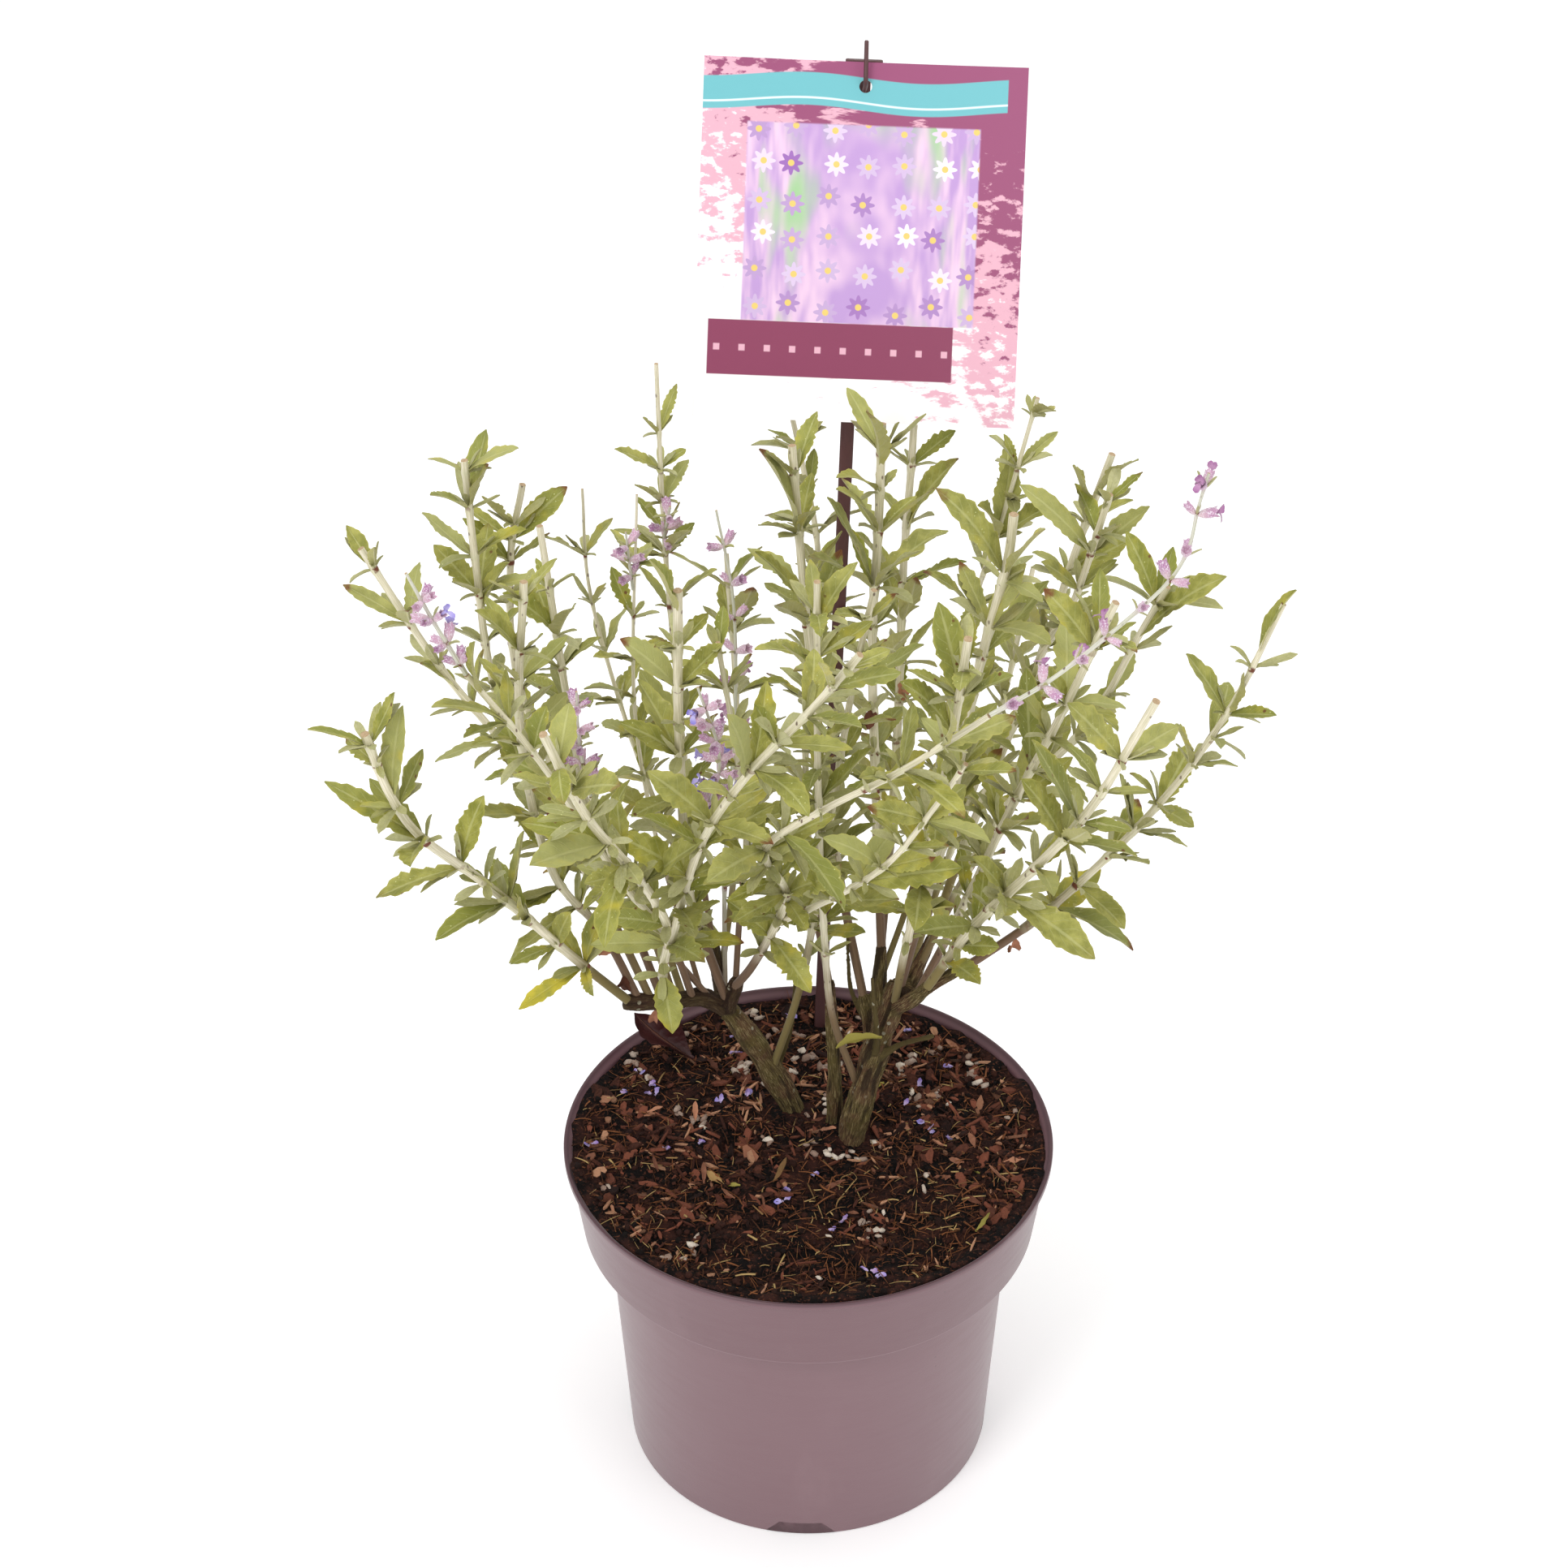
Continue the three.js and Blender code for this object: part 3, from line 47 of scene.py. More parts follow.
# Driving dimensions of the holder, in millimetres
POT = {"height": 144, "rim": 95, "collar_top": 93.2, "collar_foot": 88.6, "collar_bottom": 108,
       "body_top": 79, "base": 72, "wall": 1.6, "lip": 3, "floor": 7.5, "pad_radius": 20,
       "pad_slope": 6, "foot_width": 3.5, "lip_width": 1.1, "segments": 192}
NOTCH = {"count": 4, "top": 17, "bottom": 30, "height": 6.6, "offset": -3, "depth": 14, "inset": 9}
DRAIN = {"count": 8, "radius": 4, "ring": 48}
SOIL = {"level": 138.5, "bump": 1.3, "mound": 2.5, "gap": 0.3, "spokes": 320, "ring_step": 1.4,
        "banked_from": 74, "bank": 3.7, "bank_slope": 220, "lap": 2.4}
STAKE = {"point": (0.3, 47.7, 35), "top": (20.9, 189.5, 509), "width": 5.6, "depth": 3, "tip_length": 30,
         "tip_share": 0.12, "neck_share": 0.8, "bar_width": 14, "bar_height": 1.6, "pin_radius": 0.95}
PIN = [(20.3, 185.4, 494), (20.8, 184.6, 499), (21.3, 182.4, 502.2), (21.4, 180.8, 505.4),
       (21.5, 182.8, 510), (21.7, 186.4, 519)]
CARD = {"width": 121, "height": 134, "thickness": 0.6, "bow": 2.5, "columns": 40, "rows": 44,
        "centre": (19.2, 152, 452.8), "lean": 30.6, "roll": -2.2, "hole_radius": 2.4, "hole_drop": 9}
DRY_LEAF = {"base": (-46, 52, 140.7), "tip": (-73, 61, 151.3), "width": 13, "droop": -0.5, "twist": 0.9}

# How the leaves stand, in millimetres, degrees and shares
SHORTEST = 12
PAIR = {"spacing": (14, 19), "reach": 6, "kept": 0.9, "swing": 14, "lift": (38, 66), "flatten": 14,
        "tip_size": 0.7, "slim": (0.29, 0.37), "droop": (-12, 46), "twist": 28, "skyward": 0.3}
PICKED = {"margin": 4, "reach": 5, "droop": (8, 34), "twist": 18}
WHORL = {"uneven": (0.8, 1.2), "swing": 16, "lift": (50, 72), "tuft": (0.3, 1), "low_tuft": (0.7, 2),
         "leafy_from": 0.3, "mouth": 0.8, "bloom": 0.9, "age": 0.4}
CLEAR = {"leaf": 3.5, "stem": 2.8, "own": 2.2, "own_from": 9, "most": 5.9, "step": 2.5, "lowest": 150,
         "lean": 0.82, "spread": 0.8, "square": 0.8, "level": 0.6, "slimmest": 2.7, "joint": 9,
         "outline": (2.4, 2.6, 0.1), "along": 3}
SPACING = (12, 21)
FILL = {"slack": 0.27, "swing": 40, "lift": (34, 66), "length": (16, 31), "slim": (0.27, 0.36),
        "droop": (-10, 45), "shares": (1.0, 0.62), "full": (1.35, 0.7), "twist": 0.8, "skyward": 0.2,
        "bare": 0.8}
TIP = {"cut": 7, "bare": 13, "end": 3}
# The first node's place, as a share of a stem's bare part
FIRST_NODE = 0.5

# The wood: trunks, branches and bare twigs, as routes with the radius at each end
WOOD = [
    ([(-2, 22, 112), (-7, 22, 142), (-19, 20, 170), (-33, 18, 197)], (5.4, 4.0)),
    ([(14, 8, 112), (17, 5, 142), (24, 6, 175), (35, 10, 212)], (6.2, 4.2)),
    ([(7, 14, 112), (10, 14, 142), (10, 17, 170), (8, 27, 200)], (3.4, 2.2)),
    ([(-30, 18, 192), (-40, 14, 202), (-54, 8, 205), (-70, 2, 209)], (3.7, 2.9)),
    ([(-31, 18, 190), (-30, 15, 200), (-27, 12, 212)], (3.3, 2.5)),
    ([(-31, 19, 188), (-34, 27, 200), (-37, 36, 214)], (3.0, 2.3)),
    ([(31, 9, 198), (40, 16, 211), (47, 23, 224)], (3.2, 2.5)),
    ([(27, 8, 190), (27, 16, 204), (28, 25, 219)], (3.0, 2.3)),
    ([(32, 8, 200), (39, 0, 212), (45, -7, 224)], (3.0, 2.4)),
    ([(31, 9, 200), (43, 9, 209), (58, 13, 217)], (2.7, 2.2)),
    ([(20, 7, 165), (23, 12, 182), (21, 15, 203)], (2.5, 1.9)),
    ([(-13, 21, 158), (-7, 25, 178), (-5, 28, 199)], (1.4, 0.9)),
    ([(22, 6, 172), (33, 0, 189), (47, -14, 206)], (1.5, 0.9)),
    ([(22, 13, 190), (16, 18, 205), (15, 26, 226)], (1.1, 0.8)),
    ([(24, 6, 175), (26, 1, 192), (24, -3, 225)], (1.3, 0.9)),
]
CROWN = {"centre": (6, 14, 112), "radius": 15, "height": 9}

# Leafy stems: name, route from the wood to the tip, radius at each end, the share of the length
# that is bare, the leaf lengths, and how many of the leaves are still on
STEMS = [
    ("low_left", [(-68, 3, 209), (-87, -15, 244), (-116, -30, 289), (-137, -42, 319), (-146, -50, 344),
                  (-152, -55, 372)], (2.1, 1.8), 0.2, (24, 38), 0.5),
    ("far_left", [(-59.5, 6, 206.5), (-78, 16, 248), (-106, 22, 304), (-134, 27, 345), (-160, 30, 394)],
     (1.8, 1.5), 0.25, (18, 32), 0.4),
    ("left_front", [(-44, 12, 203), (-52, -4, 244), (-69, -25, 289), (-94, -37, 348), (-117, -44, 389)],
     (1.6, 1.2), 0.3, (20, 34), 0.48),
    ("front_left", [(-53, 8, 205), (-54, -18, 240), (-51, -30, 269), (-60, -55, 311), (-76, -75, 352),
                    (-88, -90, 396)], (1.9, 1.7), 0.3, (24, 38), 0.6),
    ("front_diagonal", [(-50, -28, 262), (-38, -55, 324), (-21, -70, 365), (1, -80, 399), (17, -86, 425)],
     (1.7, 1.5), 0.12, (24, 36), 0.56),
    ("front_middle", [(-28, 12, 209), (-21, -2, 230), (-12, -20, 263), (-8, -36, 290), (-15, -55, 323),
                      (4, -70, 350), (31, -80, 374), (60, -85, 400)], (1.9, 1.2), 0.22, (24, 38), 0.48),
    ("front_right", [(-12, -21, 264), (13, -45, 297), (29, -60, 322), (43, -72, 353), (53, -80, 377)],
     (1.4, 1.1), 0.15, (24, 36), 0.56),
    ("low_right", [(44, -6, 222), (61, -20, 263), (81, -35, 300), (100, -48, 338), (118, -60, 389)],
     (2.2, 1.7), 0.15, (24, 38), 0.48),
    ("far_right", [(56, 13, 216), (66, 14, 222), (93, 20, 242), (128, 22, 284), (153, 24, 326),
                   (171, 26, 373)], (1.9, 1.2), 0.2, (22, 36), 0.48),
    ("right_front", [(40, -1, 213), (52, 2, 240), (64, 2, 272), (77, -2, 311), (90, -6, 346),
                     (107, -12, 398)], (1.8, 1.6), 0.25, (24, 38), 0.44),
    ("right_middle", [(41, 16.5, 212), (55, 25, 241), (74, 38, 274), (104, 40, 311), (121, 38, 352),
                      (130, 36, 374)], (1.8, 1.4), 0.25, (24, 38), 0.55),
    ("right_back", [(46, 22, 222), (58, 44, 247), (74, 66, 280), (90, 76, 325), (99, 76, 363),
                    (111, 76, 406)], (1.9, 1.5), 0.25, (24, 36), 0.48),
    ("right_back_fork", [(88, 75, 320), (98, 62, 350), (109, 54, 402)], (1.5, 1.4), 0.25, (22, 32), 0.44),
    ("tall_right", [(27, 17, 206), (42, 52, 234), (54, 92, 280), (64, 104, 325), (73, 104, 360),
                    (85, 105, 413)], (1.5, 0.9), 0.35, (16, 30), 0.4),
    ("upright_right", [(35, 10, 211), (43, 13, 246), (51, 18, 277), (61, 18, 347), (70, 15, 395),
                       (72, 14, 418)], (2.0, 1.9), 0.3, (28, 40), 0.48),
    ("upright_front", [(33, 6, 207), (36, -12, 246), (42, -25, 292), (49, -40, 352), (54, -52, 409)],
     (1.9, 1.8), 0.3, (24, 36), 0.6),
    ("back_middle", [(28, 24, 217), (26, 46, 267), (24, 70, 325), (26, 80, 372), (27, 86, 413)],
     (2.0, 1.8), 0.3, (28, 40), 0.52),
    ("back_right", [(27, 20, 211), (31, 62, 230), (35, 100, 270), (37, 132, 320), (40, 148, 360),
                    (41, 153, 384)], (1.9, 1.6), 0.35, (24, 38), 0.48),
    ("back_left", [(21, 15, 202), (12, 40, 240), (3, 66, 300), (-2, 78, 350), (-6, 84, 405)],
     (1.9, 1.7), 0.35, (26, 38), 0.48),
    ("behind_stake", [(8, 27, 199), (1, 64, 222), (-1, 106, 264), (4, 140, 318), (-3, 153, 360),
                      (-9, 160, 386)], (1.6, 1.1), 0.4, (18, 30), 0.4),
    ("short_middle", [(18, 6, 168), (9, 0, 205), (6, -4, 244), (4, -16, 300), (3, -20, 365), (3, -27, 416)],
     (1.7, 1.4), 0.42, (22, 34), 0.48),
    ("middle", [(-14, 20, 162), (-4, 12, 205), (2, 8, 244), (9, 4, 300), (16, 0, 356), (23, -4, 398)],
     (1.7, 1.3), 0.4, (24, 36), 0.6),
    ("tall_left", [(-37, 35.5, 213), (-42, 54, 238), (-48, 78, 272), (-53, 96, 330), (-55, 102, 372),
                   (-56, 104, 428)], (1.4, 0.9), 0.35, (14, 26), 0.4),
    ("upright_left", [(-31, 16, 198), (-38, 8, 230), (-44, -6, 268), (-46, -14, 344), (-45, -20, 408)],
     (2.0, 1.9), 0.3, (22, 36), 0.48),
    ("thin_left", [(-41, 16, 203), (-50, 36, 226), (-60, 56, 256), (-66, 66, 307), (-63, 74, 390)],
     (1.2, 0.5), 0.35, (12, 22), 0.4),
    ("left_centre", [(-28, 14, 205), (-26, 14, 240), (-23, 6, 285), (-27, 0, 334), (-32, -4, 376)],
     (1.5, 1.1), 0.3, (24, 36), 0.65),
    ("left_hanging", [(-37, 15, 200), (-54, 8, 232), (-70, -4, 275), (-78, -16, 318)],
     (1.4, 1.0), 0.3, (24, 36), 0.8),
    ("left_middle", [(-55.5, 8, 205.5), (-70, 32, 228), (-96, 48, 262), (-117, 56, 315), (-122, 58, 369),
                     (-124, 58, 414)], (1.8, 1.5), 0.3, (22, 36), 0.44),
    ("left_back", [(-47.5, 11, 204), (-62, 48, 220), (-92, 76, 250), (-111, 84, 300), (-112, 87, 352),
                   (-106, 88, 386)], (1.7, 1.4), 0.3, (20, 34), 0.44),
    ("left_inner", [(-51, 9.5, 204.5), (-62, 20, 236), (-80, 26, 270), (-88, 30, 324), (-93, 33, 371),
                    (-96, 34, 401)], (1.7, 1.4), 0.3, (24, 36), 0.55),
    ("left_outer", [(-64, 4.5, 207.5), (-77, 5, 240), (-95, -2, 276), (-103, -8, 341), (-99, -8, 404)],
     (1.8, 1.6), 0.25, (24, 36), 0.48),
    ("left_rear", [(-35.5, 31, 207), (-50, 66, 228), (-68, 98, 260), (-84, 114, 320), (-86, 118, 366)],
     (1.4, 0.6), 0.3, (18, 30), 0.48),
    ("rear_left", [(-34, 27, 201), (-29, 64, 226), (-28, 104, 270), (-32, 136, 326)],
     (1.5, 1.1), 0.35, (24, 36), 0.7),
    ("rear_right", [(36.5, 13, 206), (52, 58, 228), (74, 104, 268), (88, 136, 320)],
     (1.5, 1.1), 0.35, (24, 36), 0.8),
]
# Side stems that branch off another leafy stem and are one body with it
SIDE_STEMS = {"front_diagonal": "front_left", "front_right": "front_middle", "right_back_fork": "right_back"}

# Large leaves in their own places, by stem: share of the stem's length, the leaf's tip, its width
PICKED_LEAVES = {
    "low_left": [(0.7, (-169, -46, 346), 9), (0.84, (-139, -49, 380), 10), (0.94, (-160, -57, 372), 7),
                 (0.59, (-115, -29, 328), 10), (0.44, (-125, -35, 302), 11), (0.17, (-108, -21, 224), 7),
                 (0.27, (-87, -27, 274), 9), (0.37, (-104, -23, 279), 8)],
    "far_left": [(0.85, (-169, 28, 381), 6), (0.86, (-141, 37, 385), 8), (0.69, (-141, 34, 342), 8)],
    "left_middle": [(0.93, (-115, 52, 416), 9), (0.92, (-135, 52, 402), 8), (0.77, (-138, 58, 379), 10),
                    (0.74, (-110, 54, 373), 9)],
    "left_back": [(0.91, (-90, 88, 386), 11), (0.87, (-129, 87, 372), 8)],
    "left_front": [(0.89, (-128, -49, 379), 12), (0.97, (-113, -39, 399), 9), (0.81, (-91, -32, 368), 9)],
    "front_left": [(0.93, (-80, -85, 406), 10), (0.87, (-62, -94, 378), 12), (0.7, (-94, -74, 331), 13),
                   (0.58, (-78, -64, 315), 9), (0.17, (-50, -23, 216), 11), (0.28, (-79, -37, 267), 9),
                   (0.35, (-72, -37, 280), 9), (0.3, (-37, -36, 259), 10)],
    "front_diagonal": [(0.45, (-55, -67, 365), 12), (0.61, (-27, -74, 393), 12), (0.44, (-12, -68, 335), 9),
                       (0.24, (-68, -58, 332), 12), (0.73, (-18, -71, 395), 7), (0.73, (15, -80, 383), 7),
                       (0.98, (27, -87, 428), 6), (0.33, (-27, -44, 339), 9)],
    "front_middle": [(0.38, (12, -42, 303), 10), (0.21, (1, -26, 237), 11), (0.19, (-30, -16, 272), 10),
                     (0.49, (1, -45, 320), 8), (0.83, (40, -73, 377), 7), (0.93, (45, -79, 402), 8)],
    "front_right": [(0.42, (54, -55, 315), 13), (0.77, (20, -74, 355), 9), (0.77, (54, -64, 357), 9),
                    (0.51, (45, -63, 326), 8)],
    "low_right": [(0.85, (88, -58, 387), 12), (0.85, (129, -48, 371), 9), (0.59, (74, -42, 344), 12),
                  (0.23, (38, -27, 266), 10), (0.36, (104, -42, 264), 13), (0.6, (95, -32, 334), 8),
                  (0.15, (70, -20, 253), 9), (0.09, (63, -25, 240), 10)],
    "far_right": [(0.9, (175, 25, 380), 9), (0.76, (137, 24, 353), 10), (0.76, (158, 32, 339), 8),
                  (0.76, (170, 18, 330), 7), (0.28, (119, 13, 236), 10), (0.52, (143, 22, 277), 8),
                  (0.63, (134, 27, 320), 8)],
    "right_front": [(0.9, (82, -6, 400), 11), (0.76, (81, -7, 368), 9)],
    "right_middle": [(0.88, (150, 26, 385), 13), (0.97, (114, 36, 398), 9), (0.6, (112, 46, 317), 10)],
    "right_back": [(0.93, (119, 70, 406), 10), (0.88, (96, 76, 400), 10), (0.75, (119, 72, 372), 11)],
    "right_back_fork": [(0.7, (76, 53, 407), 11), (0.48, (85, 60, 369), 8)],
    "tall_right": [(0.76, (76, 108, 386), 11), (0.89, (94, 104, 401), 5), (0.89, (73, 108, 396), 4),
                   (0.76, (63, 98, 370), 9)],
    "upright_right": [(0.89, (44, 9, 432), 13), (0.89, (82, 15, 410), 11), (0.77, (77, 25, 390), 11)],
    "back_middle": [(0.93, (21, 78, 422), 11), (0.69, (7, 64, 395), 14), (0.69, (41, 72, 366), 11),
                    (0.8, (10, 84, 384), 10)],
    "back_right": [(0.9, (57, 152, 372), 8), (0.78, (58, 140, 367), 12), (0.69, (61, 125, 329), 9)],
    "back_left": [(0.85, (-18, 77, 408), 12), (0.7, (-20, 72, 367), 10), (0.83, (4, 77, 381), 8),
                  (0.6, (-15, 71, 326), 9)],
    "short_middle": [(0.93, (17, -25, 423), 9), (0.83, (-9, -21, 386), 9), (0.71, (17, -25, 357), 9)],
    "upright_front": [(0.79, (31, -51, 391), 13), (0.88, (44, -41, 417), 12), (0.73, (66, -34, 371), 9)],
    "upright_left": [(0.97, (-54, -23, 422), 10), (0.81, (-66, -22, 390), 12), (0.82, (-30, -12, 381), 9),
                     (0.66, (-67, -17, 351), 10)],
    "tall_left": [(0.89, (-49, 103, 422), 5), (0.82, (-72, 103, 392), 6), (0.76, (-45, 102, 390), 7),
                  (0.66, (-43, 100, 363), 7)],
    "left_inner": [(0.79, (-110, 26, 378), 11), (0.8, (-83, 22, 373), 11)],
    "left_outer": [(0.87, (-116, -8, 392), 9), (0.81, (-108, -8, 370), 8)],
}

# Flowering sprays: name, route, radii, share of the route that is bare, spacing of the whorls,
# florets a whorl, share in full bloom
SPRAYS = [
    ("right_spray", [(60.4, -85, 400.4), (78, -84, 412), (95, -80, 425), (116, -74, 443), (124, -70, 455),
                     (127, -66, 469), (130, -64, 481)], (1.0, 0.6), 0.06, 12, 2, 0.3),
    ("left_spray", [(-117.2, -44.1, 389.4), (-126, -45, 409), (-135, -47, 432)], (1.0, 0.6), 0.1, 9, 3, 0.4),
    ("slender_spray", [(-32, 22, 195), (-32, 46, 240), (-28, 66, 292), (-28, 72, 344), (-34, 76, 382)],
     (1.1, 0.5), 0.55, 15, 2, 0.1),
    ("centre_spray", [(-44.5, -8, 282), (-36, -28, 320), (-31, -40, 352), (-38, -44, 384)],
     (0.9, 0.5), 0.45, 9, 3, 0.4),
    ("woolly_spray", [(-78.2, -16.5, 318.8), (-81, -22, 345), (-81, -26, 370)], (0.9, 0.5), 0.15, 10, 3, 0),
    ("inner_spray", [(-54.5, 101, 352), (-54, 95, 361), (-51.6, 92, 374)], (0.8, 0.5), 0.25, 7, 2, 0),
    ("thin_spray", [(-65.2, 69, 352), (-66, 66, 364), (-67, 64, 380)], (0.7, 0.4), 0.25, 8, 2, 0),
]
FLORET = {"length": 5.4, "radius": 1.0, "root": 0.6}
FADED = ("right_spray", "slender_spray")

# What is tried when a leaf's first place is taken: turn about the stem, change of lift, share of its size
TRIES = [(0, 0, 1), (14, 0, 1), (-14, 0, 1), (0, -12, 1), (0, 12, 0.92), (26, 8, 0.88), (-26, 8, 0.88),
         (18, -16, 0.8), (-18, -16, 0.8), (0, 0, 0.68), (30, 0, 0.6)]
SHIFTS = [(shift, facing) for shift in (0, -5, 5, -10, 10, -15, 15) for facing in (0.9, 0.3)]
SIGHT = (0, 0.82, -0.58)


# Vectors as plain tuples
def plus(a, b, k=1.0):
    return (a[0] + b[0] * k, a[1] + b[1] * k, a[2] + b[2] * k)


def times(a, k):
    return (a[0] * k, a[1] * k, a[2] * k)


def dot(a, b):
    return a[0] * b[0] + a[1] * b[1] + a[2] * b[2]


def cross(a, b):
    return (a[1] * b[2] - a[2] * b[1], a[2] * b[0] - a[0] * b[2], a[0] * b[1] - a[1] * b[0])


def size_of(a):
    return math.sqrt(dot(a, a))


def unit(a):
    return times(a, 1 / (size_of(a) or 1))


def square_to(a, axis):
    """a without its share along axis, as a unit vector."""
    return unit(plus(a, axis, -dot(a, axis)))


def turned(a, b, angle):
    """a turned towards b, which is square to it."""
    return plus(times(a, math.cos(angle)), b, math.sin(angle))


def mix(a, b, share):
    return (1 - share) * a + share * b


def between(ends, share):
    return mix(ends[0], ends[1], share)


def move(a, b, share):
    return tuple(x + (y - x) * share for x, y in zip(a, b))


def random_source(seed):
    """Repeatable random numbers from 0 to 1, the same ones as in the part's source."""
    full = 0xFFFFFFFF
    state = seed & full

    def draw():
        nonlocal state
        state = (state + 0x6D2B79F5) & full
        t = ((state ^ (state >> 15)) * (state | 1)) & full
        t ^= (t + (((t ^ (t >> 7)) * (t | 61)) & full)) & full
        return (t ^ (t >> 14)) / 4294967296

    return draw


class Route:
    """A smooth route through given points, with a frame that doesn't spin along it."""

    def __init__(self, points, steps=8):
        spans = len(points) - 1
        ends = [tuple(2 * a - b for a, b in zip(points[0], points[1])), *points,
                tuple(2 * a - b for a, b in zip(points[-1], points[-2]))]
        self.points = []
        for i in range(steps * spans + 1):
            place = spans * (i / (steps * spans))
            span = min(int(place), spans - 1)
            self.points.append(self.between_points(ends[span:span + 4], place - span))
        last = len(self.points) - 1
        self.tangents = [unit(plus(self.points[min(i + 1, last)], self.points[max(i - 1, 0)], -1))
                         for i in range(last + 1)]
        self.reach = [0]
        for a, b in zip(self.points, self.points[1:]):
            self.reach.append(self.reach[-1] + size_of(plus(b, a, -1)))
        self.length = self.reach[-1]
        side = (0, -1, 0)
        self.sides = []
        for tangent in self.tangents:
            side = square_to(side, tangent)
            self.sides.append(side)

    @staticmethod
    def between_points(four, t):
        out = []
        for a, b, c, d in zip(*four):
            start, end = 0.5 * (c - a), 0.5 * (d - b)
            out.append(b + start * t + (-3 * b + 3 * c - 2 * start - end) * (t * t)
                       + (2 * b - 2 * c + start + end) * (t * t * t))
        return tuple(out)

    def at(self, distance):
        """Point, tangent, side and the direction square to both."""
        i = 1
        while i < len(self.reach) - 1 and self.reach[i] < distance:
            i += 1
        t = (distance - self.reach[i - 1]) / (self.reach[i] - self.reach[i - 1])
        share = min(1, max(0, t))
        tangent = unit(move(self.tangents[i - 1], self.tangents[i], share))
        side = square_to(move(self.sides[i - 1], self.sides[i], share), tangent)
        return move(self.points[i - 1], self.points[i], t), tangent, side, cross(tangent, side)


def even_stations(length, step):
    count = max(2, round(length / step))
    return [length * i / count for i in range(count + 1)]


# How the leaves are placed, each kept clear of the others
def leaf_at(leaf, u):
    """Middle line of a leaf: an arc that bends away from its upper face, with a blade that turns about it."""
    side = cross(leaf["along"], leaf["up"])
    droop = leaf["droop"]
    bend = droop * u
    flat = abs(droop) < 1e-6
    forward = leaf["length"] * (u if flat else math.sin(bend) / droop)
    down = leaf["length"] * (0 if flat else (1 - math.cos(bend)) / droop)
    point = plus(plus(leaf["base"], leaf["along"], forward), leaf["up"], -down)
    return point, turned(side, turned(leaf["up"], leaf["along"], bend), leaf["twist"] * u)


def blade_points(leaf):
    count = math.ceil(leaf["length"] / CLEAR["step"])
    across = max(1, math.ceil(leaf["width"] / 2 / CLEAR["step"]))
    widens, narrows, end = CLEAR["outline"]
    for i in range(1, count + 1):
        u = i / count
        point, side = leaf_at(leaf, u)
        half = (leaf["width"] / 2) * min(1, widens * u, narrows * (1 - u) + end)
        for j in range(-across, across + 1):
            yield plus(point, side, (half * j) / across), u * leaf["length"]


class Crowd:
    """Points that are already taken, in cells."""
    cell = 6

    def __init__(self):
        self.cells = {}

    def add(self, point, owner, reach):
        key = tuple(math.floor(x / self.cell) for x in point)
        self.cells.setdefault(key, []).append((point, owner, reach))

    def touches(self, point, owner, own_reach, slack):
        spans = [[math.floor((x + d * self.cell) / self.cell) for d in (-1, 0, 1)] for x in point]
        for i in spans[0]:
            for j in spans[1]:
                for k in spans[2]:
                    for other, name, reach in self.cells.get((i, j, k), ()):
                        near = own_reach * reach if name == owner else slack * reach
                        gap = plus(point, other, -1)
                        if near > 0 and dot(gap, gap) < near * near:
                            return True
        return False


def card_frame():
    lean, roll = CARD["lean"] * DEGREE, CARD["roll"] * DEGREE
    upright = (0, math.sin(lean), math.cos(lean))
    right = turned((1, 0, 0), upright, roll)
    up = plus(times(upright, math.cos(roll)), (1, 0, 0), -math.sin(roll))
    return right, up, cross(right, up)


CARD_RIGHT, CARD_UP, CARD_FRONT = card_frame()


def near_card(point):
    offset = plus(point, CARD["centre"], -1)
    return (abs(dot(offset, CARD_FRONT)) < CLEAR["leaf"] + CARD["bow"]
            and abs(dot(offset, CARD_RIGHT)) < CARD["width"] / 2 + CLEAR["leaf"]
            and abs(dot(offset, CARD_UP)) < CARD["height"] / 2 + CLEAR["leaf"])


def is_clear(crowd, leaf, owner, slack):
    own = slack * CLEAR["own"] / CLEAR["leaf"]
    return all(point[2] > CLEAR["lowest"] and not near_card(point)
               and not crowd.touches(point, owner, own if distance > CLEAR["own_from"] else 0, slack)
               for point, distance in blade_points(leaf))


def keeps_angle(stem, leaf):
    lean = dot(leaf["along"], stem["route"].at(leaf["distance"])[1])
    if abs(lean) >= CLEAR["lean"]:
        return False
    for other in stem["leaves"]:
        same = other["distance"] == leaf["distance"] and other["face"] == leaf["face"]
        close = dot(other["along"], leaf["along"]) > CLEAR["spread"]
        if abs(other["distance"] - leaf["distance"]) < CLEAR["joint"] and (same or close):
            return False
    return True


def faces_out(stem, leaf):
    _, tangent, side, other = stem["route"].at(leaf["distance"])
    azimuth = math.atan2(dot(leaf["along"], other), dot(leaf["along"], side))
    level = unit(cross(leaf["along"], tangent))
    return (math.cos(azimuth - stem["turn"] - leaf["face"] * math.pi / 2) > CLEAR["square"]
            and dot(level, cross(leaf["along"], leaf["up"])) > CLEAR["level"])


def place_leaf(crowd, stem, candidates, slack=1.0):
    """Takes the first candidate that is clear. Where none is, they are kept for the finer leaves."""
    tried = []
    for leaf in candidates:
        if (leaf["length"] > SHORTEST and keeps_angle(stem, leaf) and faces_out(stem, leaf)
                and is_clear(crowd, leaf, stem["body"], slack)):
            stem["leaves"].append(leaf)
            for point, _ in blade_points(leaf):
                crowd.add(point, stem["body"], CLEAR["leaf"])
            return
        tried.append(leaf)
    stem["missed"].append(tried)


def joint_near(joints, distance, reach):
    for joint in joints:
        if abs(joint - distance) < reach:
            return joint
    joints.append(distance)
    return distance


